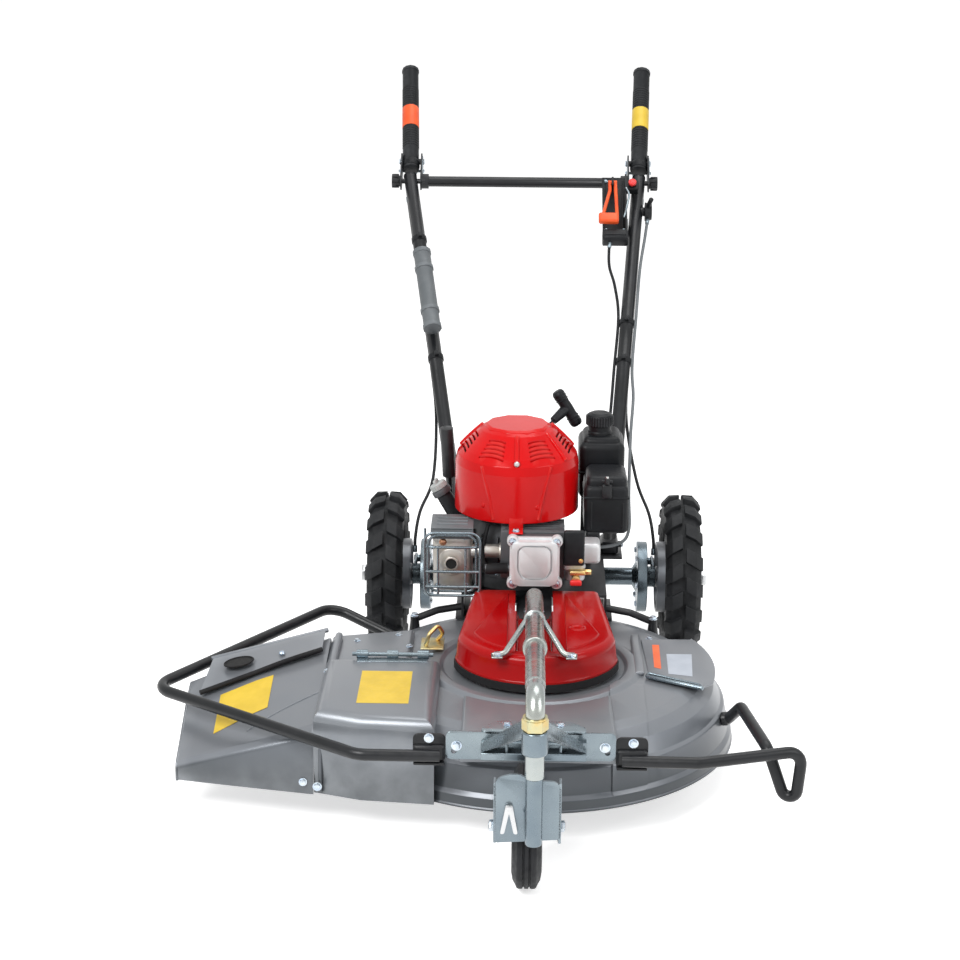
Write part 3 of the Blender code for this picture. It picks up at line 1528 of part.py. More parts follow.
def make_fan_cover():
    middle = (CRANK_X, CRANK_Y, 0)
    cowl = turned("fan_cover", cowl_profile(0.0), at=middle, steps=20, material=RED)
    room = turned("cowl room", cowl_profile(COWL_WALL), at=middle, steps=20, helper=True)
    cut(cowl, room)
    slots = []
    slope = math.atan2(COWL_TOP - COWL_SHOULDER, COWL_RADIUS - COWL_TOP_RADIUS)
    for heading in (-118, -62, -10, 48, 132, 190):
        for row in range(4):
            radius = COWL_TOP_RADIUS + 0.012 + row * 0.0072
            height = COWL_TOP - 0.009 - math.tan(slope) * (radius - COWL_TOP_RADIUS - 0.004) * 0.96
            width = 0.017 + 0.0022 * row
            around = Matrix.Rotation(math.radians(heading), 4, "Z")
            turn = Matrix.Translation((CRANK_X, CRANK_Y, height)) @ around
            slots.append(box(
                f"louvre {heading} {row}",
                (radius - 0.0075, -width, -0.0018),
                (radius + 0.0075, width, 0.0018),
                matrix=turn,
                helper=True,
            ))
    pull = (STARTER_GRIP - ROPE_EXIT).normalized()
    rope_way = rod(
        "rope way",
        ROPE_EXIT - pull * 0.016,
        ROPE_EXIT + pull * 0.016,
        ROPE_RADIUS + RUN,
        sides=12,
        helper=True,
    )
    cut(cowl, *slots, rope_way)
    boss = rod(
        "cowl boss",
        (CRANK_X, CRANK_Y - 0.086, 0.445),
        (CRANK_X, CRANK_Y - 0.100, 0.446),
        0.0065,
        sides=10,
        helper=True,
    )
    # The tab that is bolted down on the cylinder head, and the web that carries it
    front, fins = CRANK_Y - COWL_RADIUS, HEAD_Z + HEAD_SIZE / 2 - 0.002
    tab_low, tab_high = (
        CRANK_X - 0.012, HEAD_FRONT + 0.004, fins + GAP
    ), (CRANK_X + 0.012, front + 0.0025, fins + 0.003)
    tab = box("cowl tab", tab_low, tab_high, helper=True)
    web = box(
        "cowl web",
        (tab_low[0], front, fins + 0.001),
        (tab_high[0], front + 0.0025, COWL_BOTTOM + 0.008),
        helper=True,
    )
    bolt_at = (CRANK_X, HEAD_FRONT + 0.014, fins + 0.002)
    bolt = rod("tab bolt", bolt_at, (bolt_at[0], bolt_at[1], fins + 0.009), 0.0055, sides=6, helper=True)
    fuse(cowl, boss, tab, web, bolt)
    return cowl


def make_muffler():
    box_low, box_high = (-0.172, -0.274, 0.214), (-0.107, -0.212, 0.330)
    muffler = box("muffler", box_low, box_high, 0.010, material=STEEL)
    outlet = rod("outlet", (-0.141, -0.283, 0.267), (-0.141, -0.265, 0.267), 0.0125, helper=True)
    shield = box("heat shield", (-0.176, -0.284, 0.3275), (-0.104, -0.206, 0.3315), helper=True)
    brow = box("shield lip", (-0.176, -0.284, 0.312), (-0.104, -0.2815, 0.331), helper=True)
    port = rod(
        "exhaust port",
        (-0.109, -0.255, 0.282),
        (-0.0554, -0.255, 0.282),
        0.012,
        sides=14,
        helper=True,
    )
    fuse(muffler, outlet, shield, brow, port)
    throat = rod("outlet bore", (-0.141, -0.290, 0.267), (-0.141, -0.245, 0.267), 0.0095, helper=True)
    return cut(muffler, throat)


def make_muffler_guard():
    """Wire cage in front of the muffler: two hoops and the bars between them."""
    wire = 0.0024
    left, right, front, back = -0.186, -0.092, -0.294, -0.240
    hoops = []
    for z in (0.214, 0.300):
        near = [(-0.172 - wire - GAP, back, z), (left, back - 0.012, z), (left, front, z)]
        far = [(right, front, z), (right, back - 0.012, z), (-0.107 + wire + GAP, back, z)]
        hoops.append(tube(f"hoop {z}", rounded_path([*near, *far], 0.012, 1), wire, 1, helper=True))
    bars = []
    for k in range(4):
        x = left + 0.016 + k * (right - left - 0.032) / 3
        bars.append(rod(
            f"bar {k}", (x, front, 0.212), (x, front, 0.3022), wire * 0.9, sides=5, helper=True
        ))
    rail_ends = (left + 0.010, front + 0.0008, 0.257), (right - 0.010, front + 0.0008, 0.257)
    bars.append(rod("rail", *rail_ends, wire * 0.8, sides=5, helper=True))
    guard = rod(
        "muffler_guard",
        (left, -0.268, 0.212),
        (left, -0.268, 0.3022),
        wire * 0.9,
        sides=5,
        material=STEEL,
    )
    return fuse(guard, *hoops, *bars)


def make_air_side():
    cleaner = box(
        "air_cleaner",
        (0.084, AIR_JOINT_Y, 0.300),
        (0.160, -0.118, 0.392),
        0.012,
        material=BLACK_PLASTIC,
    )
    lid = box("cleaner lid", (0.090, -0.206, 0.385), (0.156, -0.122, 0.402), 0.006, helper=True)
    clip = box("cleaner clip", (0.113, -0.220, 0.366), (0.131, -0.205, 0.392), 0.002, helper=True)
    duct = box("intake duct", (0.088, AIR_JOINT_Y, 0.276), (0.112, -0.165, 0.305), helper=True)
    fuse(cleaner, lid, clip, duct)

    tank = box("fuel_tank", (0.076, -0.112, 0.330), (0.156, -0.012, 0.440), 0.018, material=BLACK_PLASTIC)
    neck = rod(
        "filler neck", (0.112, -0.072, 0.432), (0.112, -0.072, 0.4565), 0.0200, sides=20, helper=True
    )
    stand = box("tank stand", (0.082, -0.080, FRAME_TOP + GAP), (0.104, -0.050, 0.336), helper=True)
    fuse(tank, neck, stand)

    cap_pivot = pivot("fuel_cap_pivot", (0.112, -0.072, 0.457))
    cap = turned(
        "fuel_cap",
        [(0.0, 0.479), (0.016, 0.479), (0.0225, 0.474), (0.0235, 0.4565 + GAP), (0.0, 0.4565 + GAP)],
        at=(0.112, -0.072, 0),
        steps=16,
        **part(cap_pivot, BLACK_PLASTIC),
    )
    knurls = []
    for k in range(8):
        turn = Matrix.Translation((0.112, -0.072, 0)) @ Matrix.Rotation(k * math.pi / 4, 4, "Z")
        knurls.append(box(
            f"cap lug {k}",
            (0.0215, -0.003, 0.4590),
            (0.0255, 0.003, 0.473),
            matrix=turn,
            **aid(cap_pivot),
        ))
    fuse(cap, *knurls)

    body_low = (HEAD_X + HEAD_SIZE / 2 + 0.004 + GAP, -0.286, 0.258)
    carburettor = box("carburettor", body_low, (0.084, -0.240, 0.304), 0.004, material=ALLOY)
    bowl = rod("float bowl", (0.069, -0.263, 0.236), (0.069, -0.263, 0.262), 0.017, helper=True)
    elbow = box(
        "air elbow", (0.060, -0.262, 0.262), (0.112, AIR_JOINT_Y - GAP, 0.298), 0.004, helper=True
    )
    plate = box("choke plate", (0.048, -0.296, 0.270), (0.084, -0.284, 0.332), 0.003, helper=True)
    fuse(carburettor, bowl, elbow, plate)

    tap_pivot = pivot("fuel_tap_pivot", (0.070, -0.286, 0.247))
    tap = rod(
        "fuel_tap",
        (0.070, -0.2800 - GAP, 0.247),
        (0.070, -0.300, 0.247),
        0.007,
        sides=12,
        **part(tap_pivot, BRASS),
    )
    handle = box("tap handle", (0.058, -0.306, 0.2415), (0.086, -0.299, 0.2500), 0.002, **aid(tap_pivot))
    return fuse(tap, handle)


def make_caps_and_levers():
    neck_foot, neck_top = NECK_FOOT, NECK_TOP
    lean = (neck_top - neck_foot).normalized()
    cap_foot = neck_top + lean * GAP
    oil_pivot = pivot("oil_cap_pivot", neck_top)
    cap = rod(
        "oil_cap",
        cap_foot,
        cap_foot + lean * 0.012,
        0.0145,
        sides=18,
        **part(oil_pivot, PALE_PLASTIC),
    )
    wing = box(
        "cap wing",
        (-0.0030, -0.0120, 0.010),
        (0.0030, 0.0120, 0.021),
        0.001,
        matrix=frame_of(lean, cap_foot),
        **aid(oil_pivot),
    )
    fuse(cap, wing)

    shift_at = Vector((-FRAME_HALF_WIDTH - GAP, -0.078, 0.188))
    shift_pivot = pivot("shift_lever_pivot", shift_at)
    foot = shift_at + Vector((-0.012, 0, 0))
    route = rounded_path(
        [foot, (-0.143, -0.082, 0.235), (-0.150, -0.090, 0.335), (-0.151, -0.092, 0.375)], 0.03, 3
    )
    lever = tube("shift_lever", route, 0.005, 2, **part(shift_pivot, BLACK_STEEL))
    grip = rod(
        "shift grip",
        (-0.1505, -0.0915, 0.366),
        (-0.156, -0.100, 0.455),
        0.0125,
        0.0115,
        sides=14,
        **aid(shift_pivot),
    )
    eye = rod(
        "shift eye", shift_at, shift_at + Vector((-0.017, 0, 0)), 0.009, sides=12, **aid(shift_pivot)
    )
    fuse(lever, grip, eye)


def make_starter():
    """Pull grip of the recoil starter with the first length of its rope, which runs into the fan cover."""
    out, middle = ROPE_EXIT, STARTER_GRIP
    pull = (middle - out).normalized()
    slide = pivot("starter_pivot", out)
    across = Vector((0.043, 0, -0.069))
    across = (across - pull * across.dot(pull)).normalized()
    bar = rod(
        "starter_grip",
        middle - across * 0.036,
        middle + across * 0.036,
        0.0115,
        sides=14,
        **part(slide, BLACK_PLASTIC),
    )
    neck = rod("grip neck", out + pull * 0.012, middle, 0.0065, 0.0095, sides=12, **aid(slide))
    rope = rod("rope", out - pull * 0.100, out + pull * 0.015, ROPE_RADIUS, sides=8, **aid(slide))
    return fuse(bar, neck, rope)


# Handle and controls


def arm_line(side):
    """Foot and crossbar points of one handle arm."""
    base_x, top_x = (ARM_BASE_LEFT, ARM_TOP_LEFT) if side < 0 else (ARM_BASE_RIGHT, ARM_TOP_RIGHT)
    return Vector((base_x, ARM_BASE_Y, ARM_BASE_Z)), Vector((top_x, CROSSBAR_Y, CROSSBAR_Z))


def make_arm(side, word):
    foot, top = arm_line(side)
    along = (top - foot).normalized()
    arm = rod(f"handle_arm_{word}", foot, top + along * 0.014, ARM_RADIUS, sides=12, material=BLACK_STEEL)
    block = box(
        f"arm foot {word}",
        (foot.x - 0.016, foot.y - 0.024, FRAME_TOP + GAP),
        (foot.x + 0.016, foot.y + 0.030, foot.z + 0.010),
        0.004,
        helper=True,
    )
    tools = [
        block,
        rod(
            f"foot pin {word}",
            (foot.x - 0.022, foot.y, foot.z),
            (foot.x + 0.022, foot.y, foot.z),
            0.006,
            sides=6,
            helper=True,
        ),
    ]
    # Bands that hold the control cables against the arm
    for distance in ((0.345, 0.435) if side > 0 else (0.150, 0.435)):
        middle = top - along * distance
        tools.append(rod(
            f"cable band {word} {distance}",
            middle - along * 0.005,
            middle + along * 0.005,
            BAND_RADIUS,
            sides=16,
            helper=True,
        ))
    if side > 0:
        seat = top - along * THROTTLE_BELOW
        tools.append(rod(
            "throttle boss", seat, seat + X_AXIS * THROTTLE_OUT, 0.009, sides=12, helper=True
        ))
    fuse(arm, *tools)
    hole = rod(
        f"pivot hole {word}",
        (top.x - 0.05, top.y, top.z),
        (top.x + 0.05, top.y, top.z),
        PIVOT_BOLT_RADIUS + GAP,
        helper=True,
    )
    return cut(as_mesh(arm), hole)


PLATE_OUT = 0.0215
PLATE_THICK = 0.003


def make_crossbar():
    left = ARM_TOP_LEFT + PLATE_OUT + GAP
    right = ARM_TOP_RIGHT - PLATE_OUT - GAP
    bar = rod(
        "crossbar",
        (left, CROSSBAR_Y, CROSSBAR_Z),
        (right, CROSSBAR_Y, CROSSBAR_Z),
        CROSSBAR_RADIUS,
        sides=12,
        material=BLACK_STEEL,
    )
    tools = []
    for side, x in ((-1, ARM_TOP_LEFT), (1, ARM_TOP_RIGHT)):
        knob_from = x + side * (PLATE_OUT + GAP)
        inner = x - side * 0.030
        tools.append(rod(
            f"pivot bolt {side}",
            (inner, CROSSBAR_Y, CROSSBAR_Z),
            (knob_from + side * 0.004, CROSSBAR_Y, CROSSBAR_Z),
            PIVOT_BOLT_RADIUS,
            sides=14,
            helper=True,
        ))
        tools.append(rod(
            f"knob {side}",
            (knob_from, CROSSBAR_Y, CROSSBAR_Z),
            (knob_from + side * 0.016, CROSSBAR_Y, CROSSBAR_Z),
            0.011,
            0.014,
            sides=10,
            helper=True,
        ))
        tools.append(rod(
            f"inner knob {side}",
            (x - side * (PLATE_OUT + GAP), CROSSBAR_Y, CROSSBAR_Z),
            (x - side * (PLATE_OUT + 0.014), CROSSBAR_Y, CROSSBAR_Z),
            0.0150,
            sides=10,
            helper=True,
        ))
    return fuse(bar, *tools)


def grip_line(side):
    top = arm_line(side)[1]
    end = Vector((top.x + side * GRIP_SPREAD, GRIP_END_Y, GRIP_END_Z))
    return top, end, (end - top).normalized()


def make_upper_handle(side, word):
    """Grip tube on two zinc cheeks that pivot on the crossbar's bolt."""
    top, end, along = grip_line(side)
    fold = pivot(f"upper_handle_{word}_pivot", top)
    tube_foot = top + along * 0.030
    handle = rod(
        f"upper_handle_{word}", tube_foot, end, GRIP_RADIUS, sides=12, **part(fold, BLACK_PLASTIC)
    )
    tools = [rod(
        f"grip cap {word}",
        end - along * 0.004,
        end + along * 0.003,
        GRIP_RADIUS + 0.0012,
        sides=12,
        **aid(fold),
    )]
    up = Vector((0, -along.z, along.y))
    for face in (-1, 1):
        x = top.x + face * (PLATE_OUT - PLATE_THICK / 2)
        corners = [
            top - along * 0.012 - up * 0.013,
            top - along * 0.012 + up * 0.013,
            top + along * 0.062 + up * 0.012,
            top + along * 0.062 - up * 0.022,
            top + along * 0.030 - up * 0.030,
        ]
        outline = [(point.y, point.z) for point in corners]
        tools.append(slab(f"cheek {word} {face}", [outline], PLATE_THICK, across_x(x), **aid(fold)))
        # Rivet through cheek and grip
        rivet = top + along * 0.050
        tools.append(rod(
            f"rivet {word} {face}",
            (top.x, rivet.y, rivet.z),
            (x + face * 0.004, rivet.y, rivet.z),
            0.006,
            sides=10,
            **aid(fold),
        ))
    lever_axis = top + along * 0.046 - up * 0.0245
    fuse(handle, *tools)
    hole = rod(
        f"bolt way {word}",
        (top.x - 0.05, top.y, top.z),
        (top.x + 0.05, top.y, top.z),
        PIVOT_BOLT_RADIUS + RUN,
        **aid(fold),
    )
    lever_hole = rod(
        f"lever way {word}",
        (top.x - 0.05, lever_axis.y, lever_axis.z),
        (top.x + 0.05, lever_axis.y, lever_axis.z),
        0.0035,
        sides=10,
        **aid(fold),
    )
    cut(as_mesh(handle), hole, lever_hole)

    squeeze = pivot(f"clutch_lever_{word}_pivot", lever_axis)
    lever_x = lever_axis.x
    route = [
        lever_axis,
        lever_axis + along * 0.030 - up * 0.010,
        lever_axis + along * 0.150 - up * 0.020,
    ]
    lever = tube(f"clutch_lever_{word}", rounded_path(route, 0.03, 3), 0.0042, 2, **part(squeeze, ZINC))
    pin = rod(
        f"lever pin {word}",
        (lever_x - 0.0255, lever_axis.y, lever_axis.z),
        (lever_x + 0.0255, lever_axis.y, lever_axis.z),
        0.0029,
        sides=10,
        **aid(squeeze),
    )
    boss = rod(
        f"lever boss {word}",
        (lever_x - 0.012, lever_axis.y, lever_axis.z),
        (lever_x + 0.012, lever_axis.y, lever_axis.z),
        0.0060,
        sides=10,
        **aid(squeeze),
    )
    return fuse(lever, pin, boss)


def make_controls():
    foot, top = arm_line(1)
    along = (top - foot).normalized()
    tilt = Matrix.Rotation(math.atan2(along.z, along.y) - math.pi / 2, 4, "X")
    # Local Z runs up the arm and local -Y is its upper side; X stays across the machine
    place = Matrix.Translation((0, CROSSBAR_Y, CROSSBAR_Z)) @ tilt
    how = {"matrix": place, "helper": True}
    tray = box(
        "control_box",
        (0.128, -0.0200, -0.170),
        (0.176, -0.0165, -0.002),
        matrix=place,
        material=BLACK_PLASTIC,
    )
    tools = [
        box("box shell", (0.127, -0.042, -0.172), (0.177, -0.0165, -0.146), 0.003, **how),
        box("box side", (0.1725, -0.034, -0.150), (0.176, -0.0165, -0.004), **how),
        box("clamp pad", (0.170, -0.020, -0.125), (0.1778, 0.008, -0.105), **how),
        box("stop block", (0.1740, -0.034, -0.042), (0.2000, -0.0165, -0.018), 0.002, **how),
    ]
    ear = box("hinge ear", (0.146, -0.0425, -0.038), (0.150, -0.0165, -0.018), **how)
    fuse(tray, *tools, ear)

    axis_point = place @ Vector((0.148, -0.036, -0.028))
    engage = pivot("blade_lever_pivot", axis_point)
    pin_way = rod(
        "pin way",
        axis_point - X_AXIS * 0.012,
        axis_point + X_AXIS * 0.012,
        0.0052,
        sides=12,
        helper=True,
    )
    button_at = place @ Vector((0.187, -0.034, -0.030))
    outward = (place.to_3x3() @ Vector((0, -1, 0))).normalized()
    bore = rod(
        "button way",
        button_at - outward * 0.0055,
        button_at + outward * 0.004,
        0.0052,
        sides=12,
        helper=True,
    )
    cut(tray, pin_way, bore)

    lever = box(
        "blade_lever",
        (0.1195, -0.058, -0.140),
        (0.1585, -0.044, -0.118),
        0.003,
        matrix=place,
        **part(engage, ORANGE),
    )
    legs = []
    for top_x, x in ((0.1425, 0.1270), (0.1535, 0.1555)):
        route = [place @ Vector(p) for p in (
            (top_x, -0.036, -0.028), (top_x, -0.039, -0.050), (x, -0.051, -0.125)
        )]
        legs.append(tube(f"lever leg {x}", rounded_path(route, 0.02, 2), 0.0034, 2, **aid(engage)))
    pin_ends = place @ Vector((0.1395, -0.036, -0.028)), place @ Vector((0.1565, -0.036, -0.028))
    legs.append(rod("lever pin", *pin_ends, 0.0045, sides=10, **aid(engage)))
    fuse(lever, *legs)

    push = pivot("stop_button_pivot", button_at)
    button = rod(
        "stop_button",
        button_at + outward * 0.003,
        button_at + outward * 0.0085,
        0.0078,
        sides=18,
        **part(push, BUTTON_RED),
    )
    stem = rod(
        "button stem",
        button_at - outward * 0.002,
        button_at + outward * 0.005,
        0.0045,
        sides=12,
        **aid(push),
    )
    fuse(button, stem)

    # Throttle: a housing on the arm's outer side and the lever that turns in it
    seat = top - along * THROTTLE_BELOW
    hub = seat + X_AXIS * (THROTTLE_OUT + GAP)
    speed = pivot("throttle_lever_pivot", hub)
    house = rod(
        "throttle_lever",
        hub,
        hub + X_AXIS * 0.0135,
        THROTTLE_RADIUS,
        0.016,
        sides=18,
        **part(speed, BLACK_PLASTIC),
    )
    up = Vector((0, -along.z, along.y))
    root_of_paddle = hub + X_AXIS * 0.007
    paddle_route = [
        root_of_paddle, root_of_paddle + up * 0.024, root_of_paddle + up * 0.040 + X_AXIS * 0.004
    ]
    paddle = tube("throttle paddle", rounded_path(paddle_route, 0.01, 2), 0.0048, 2, **aid(speed))
    fuse(house, paddle)


def make_tool_tube():
    foot, top = arm_line(-1)
    along = (top - foot).normalized()
    up = (Vector((0, -along.z, along.y))).normalized()
    reach = (top - foot).length
    radius = 0.0165
    offset = up * (ARM_RADIUS + radius + GAP + 0.0016)
    low, high = foot + along * (reach - 0.385) + offset, foot + along * (reach - 0.205) + offset
    holder = rod("tool_tube", low, high, radius, sides=12, material=GREY_PLASTIC)
    tools = []
    for share in (0.22, 0.78):
        middle = low.lerp(high, share)
        tools.append(rod(
            f"band {share}",
            middle - along * 0.004,
            middle + along * 0.004,
            radius + 0.0020,
            sides=12,
            helper=True,
        ))
    for end, push in ((low, -1), (high, 1)):
        tools.append(rod(
            f"tube cap {push}",
            end - along * push * 0.006,
            end + along * push * 0.003,
            radius + 0.0015,
            sides=12,
            helper=True,
        ))
    return fuse(holder, *tools)


def arm_point(side, distance, off_x=0.0, off_up=0.0):
    """A point beside an arm, a distance below the crossbar."""
    foot, top = arm_line(side)
    along = (top - foot).normalized()
    up = Vector((0, -along.z, along.y)).normalized()
    return top - along * distance + Vector((off_x, 0, 0)) + up * off_up


def make_cables():
    beside = BAND_RADIUS + CABLE_RADIUS + GAP
    inner = -beside
    blade_route = [
        (0.150, CROSSBAR_Y - 0.122, CROSSBAR_Z - 0.1105),
        (0.148, CROSSBAR_Y - 0.142, CROSSBAR_Z - 0.132),
        arm_point(1, 0.260, inner - 0.012, 0.006),
        arm_point(1, 0.330, inner, 0.0),
        arm_point(1, 0.450, inner, 0.0),
        arm_point(1, 0.560, inner, 0.002),
        arm_point(1, 0.680, inner - 0.004, 0.012),
        (0.112, 0.016, 0.305),
        (0.104, -0.010, 0.262),
        (0.098, -0.024, 0.230),
        (0.096, -0.028, FRAME_TOP + 0.0005),
    ]
    tube("blade_cable", smooth_path(blade_route, 2), CABLE_RADIUS, 2, material=BLACK_PLASTIC)
    throttle_route = [
        arm_point(1, THROTTLE_BELOW + THROTTLE_RADIUS + GAP, 0.0240, 0.0),
        arm_point(1, 0.140, 0.0215, 0.003),
        arm_point(1, 0.220, beside * 0.96, beside * 0.28),
        arm_point(1, 0.330, beside * 0.96, beside * 0.28),
        arm_point(1, 0.450, beside * 0.96, beside * 0.28),
        arm_point(1, 0.520, beside + 0.006, 0.005),
        (0.176, 0.120, 0.380),
        (0.171, 0.020, 0.300),
        (0.168, -0.080, 0.268),
        (0.150, -0.150, 0.264),
        (0.106, -0.188, 0.267),
        (0.098, AIR_JOINT_Y + 0.012, 0.268),
        (0.098, AIR_JOINT_Y, 0.268),
    ]
    tube("throttle_cable", smooth_path(throttle_route, 2), CABLE_RADIUS, 2, material=GREY_PLASTIC)
    for side, word in ((-1, "left"), (1, "right")):
        out, under = side * beside * 0.574, -beside * 0.819
        tip = Vector((side * CLUTCH_ARM_X, -0.072, AXLE_Z + 0.066))
        route = [
            arm_point(side, 0.030, out, under),
            arm_point(side, 0.120, out, under),
            arm_point(side, 0.330, out, under),
            arm_point(side, 0.450, out, under),
            arm_point(side, 0.560, out + side * 0.004, under),
            (side * (CLUTCH_ARM_X - 0.0265), 0.060, 0.315),
            (side * (CLUTCH_ARM_X - 0.0065), -0.020, 0.276),
            tip + Vector((0, 0.006, 0.026)),
            tip,
        ]
        tube(f"clutch_cable_{word}", smooth_path(route, 2), CABLE_RADIUS, 2, material=BLACK_PLASTIC)


# Side guards


def deck_wall(heading, height):
    """A place on the deck's lower wall, midway along one of its facets, and the wall's outward normal."""
    low, high = (DECK_RADIUS - 0.006, DECK_RIM + 0.022), (DECK_RADIUS - 0.014, DECK_TOP - 0.047)
    flat = math.cos(math.pi / DECK_SIDES)
    share = (height - low[1]) / (high[1] - low[1])
    radius = (low[0] + (high[0] - low[0]) * share) * flat
    turn = math.radians(heading)
    outward = Vector((math.cos(turn), math.sin(turn), 0))
    lean = math.atan2((low[0] - high[0]) * flat, high[1] - low[1])
    normal = outward * math.cos(lean) + Z_AXIS * math.sin(lean)
    return Vector((0, DECK_Y, height)) + outward * radius, normal


def make_guards():
    back = PLATFORM_FRONT - GAP
    front_y = back - GUARD_RADIUS - 0.0005
    wall, normal = deck_wall(135, 0.108)
    left_route = [
        (-0.140, front_y - 0.002, GUARD_Z - 0.004),
        (-0.262, front_y - 0.010, GUARD_Z),
        (-0.606, -0.567, GUARD_Z),
        (-0.352, -0.186, GUARD_Z),
        wall + normal * 0.034,
        wall + normal * GAP,
    ]
    guard = tube(
        "side_guard_left", rounded_path(left_route, 0.040, 3), GUARD_RADIUS, 2, material=BLACK_STEEL
    )
    edge = FRONT_PLATE_LEFT - GAP
    tools = [
        box("left bracket", (-0.180, back - 0.012, 0.136), (edge, back - 0.0005, 0.180), helper=True),
        box("left bracket foot", (-0.180, back - 0.016, 0.134), (edge, back, 0.1385), helper=True),
        rod(
            "left ear bolt",
            (-0.156, back - 0.019, 0.174),
            (-0.156, back - 0.011, 0.174),
            0.006,
            sides=6,
            helper=True,
        ),
    ]
    fuse(guard, *tools)

    wall, normal = deck_wall(-15, 0.105)
    right_route = [
        (0.132, front_y - 0.002, GUARD_Z - 0.008),
        (0.245, front_y - 0.014, GUARD_Z - 0.004),
        (0.402, -0.781, GUARD_Z),
        (0.392, -0.779, 0.033),
        (0.352, -0.760, GUARD_Z - 0.006),
        (0.326, -0.600, GUARD_Z - 0.006),
        wall + normal * 0.012,
    ]
    guard = tube(
        "side_guard_right", rounded_path(right_route, 0.022, 3), GUARD_RADIUS, 2, material=BLACK_STEEL
    )
    edge = FRONT_PLATE_RIGHT + GAP
    tools = [
        box("right bracket", (edge, back - 0.012, 0.132), (0.170, back - 0.0005, 0.178), helper=True),
        box(
            "right bracket foot",
            (PLATFORM_RIGHT + 0.001, back - 0.016, 0.130),
            (0.170, back, 0.1345),
            helper=True,
        ),
        rod(
            "right ear bolt",
            (0.148, back - 0.019, 0.170),
            (0.148, back - 0.011, 0.170),
            0.006,
            sides=6,
            helper=True,
        ),
        rod("right end pad", wall + normal * GAP, wall + normal * 0.014, 0.011, sides=12, helper=True),
    ]
    fuse(guard, *tools)


def centre_over_origin():
    """Puts the middle of the machine's plan over the origin."""
    bpy.context.view_layer.update()
    graph = bpy.context.evaluated_depsgraph_get()
    places = []
    for obj in mower.objects:
        if obj.type == "EMPTY":
            continue
        seen = obj.evaluated_get(graph)
        places += [seen.matrix_world @ vert.co for vert in seen.to_mesh().vertices]
        seen.to_mesh_clear()
    for k in (0, 1):
        root.location[k] = -(min(place[k] for place in places) + max(place[k] for place in places)) / 2


make_deck()
make_chute()
make_flap()
make_side_cover()
make_front_plate()
make_pole()
make_fork()
make_front_wheel()
for side, word in ((-1, "left"), (1, "right")):
    make_rear_wheel(side, word)
    make_drum(side, word)
    make_arm(side, word)
    make_upper_handle(side, word)
make_axle()
make_gearbox()
make_belt_drive()
make_frame()
make_belt_cover()
make_cover_seal()
make_engine_block()
make_rocker_cover()
make_fan_cover()
make_muffler()
make_muffler_guard()
make_air_side()
make_caps_and_levers()
make_starter()
make_crossbar()
make_controls()
make_tool_tube()
make_cables()
make_guards()
centre_over_origin()
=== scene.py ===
import json
import math

import bmesh
import bpy
from mathutils import Matrix, Vector

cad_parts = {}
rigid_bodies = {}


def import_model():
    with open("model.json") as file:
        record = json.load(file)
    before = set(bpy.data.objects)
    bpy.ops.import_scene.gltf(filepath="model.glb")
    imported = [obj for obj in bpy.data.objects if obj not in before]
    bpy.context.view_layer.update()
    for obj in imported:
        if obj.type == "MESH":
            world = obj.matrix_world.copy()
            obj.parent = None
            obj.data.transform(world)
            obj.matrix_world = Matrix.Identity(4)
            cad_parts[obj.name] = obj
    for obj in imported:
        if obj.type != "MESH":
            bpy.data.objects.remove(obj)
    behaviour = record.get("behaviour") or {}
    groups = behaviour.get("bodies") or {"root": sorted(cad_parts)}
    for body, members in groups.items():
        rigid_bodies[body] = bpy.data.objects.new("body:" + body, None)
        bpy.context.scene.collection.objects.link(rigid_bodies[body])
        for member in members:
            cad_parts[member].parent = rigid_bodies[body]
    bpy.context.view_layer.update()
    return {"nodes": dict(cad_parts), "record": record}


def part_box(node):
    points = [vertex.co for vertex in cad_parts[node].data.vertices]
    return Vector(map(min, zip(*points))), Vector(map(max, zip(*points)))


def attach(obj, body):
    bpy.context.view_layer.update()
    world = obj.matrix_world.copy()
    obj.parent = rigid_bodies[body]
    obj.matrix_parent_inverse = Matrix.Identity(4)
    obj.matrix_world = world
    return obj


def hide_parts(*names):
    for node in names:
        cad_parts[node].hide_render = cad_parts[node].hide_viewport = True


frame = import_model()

scene = bpy.context.scene
xAxis, yAxis, zAxis = Vector((1, 0, 0)), Vector((0, 1, 0)), Vector((0, 0, 1))
full = 2 * math.pi
bothSides = (("left", -1), ("right", 1))
patchThick = 0.0003  # a plain patch lies on its sheet like a film

# Everything is drawn from the rear axle's middle on the ground, then moved to the frame's place
axleLow, axleHigh = (Vector(corner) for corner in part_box("drive_axle"))
shift = (axleLow + axleHigh) / 2 * Vector((1, 1, 0))

work = bpy.data.collections.new("work")
mower = bpy.data.collections.new("mower")
scene.collection.children.link(work)
scene.collection.children.link(mower)


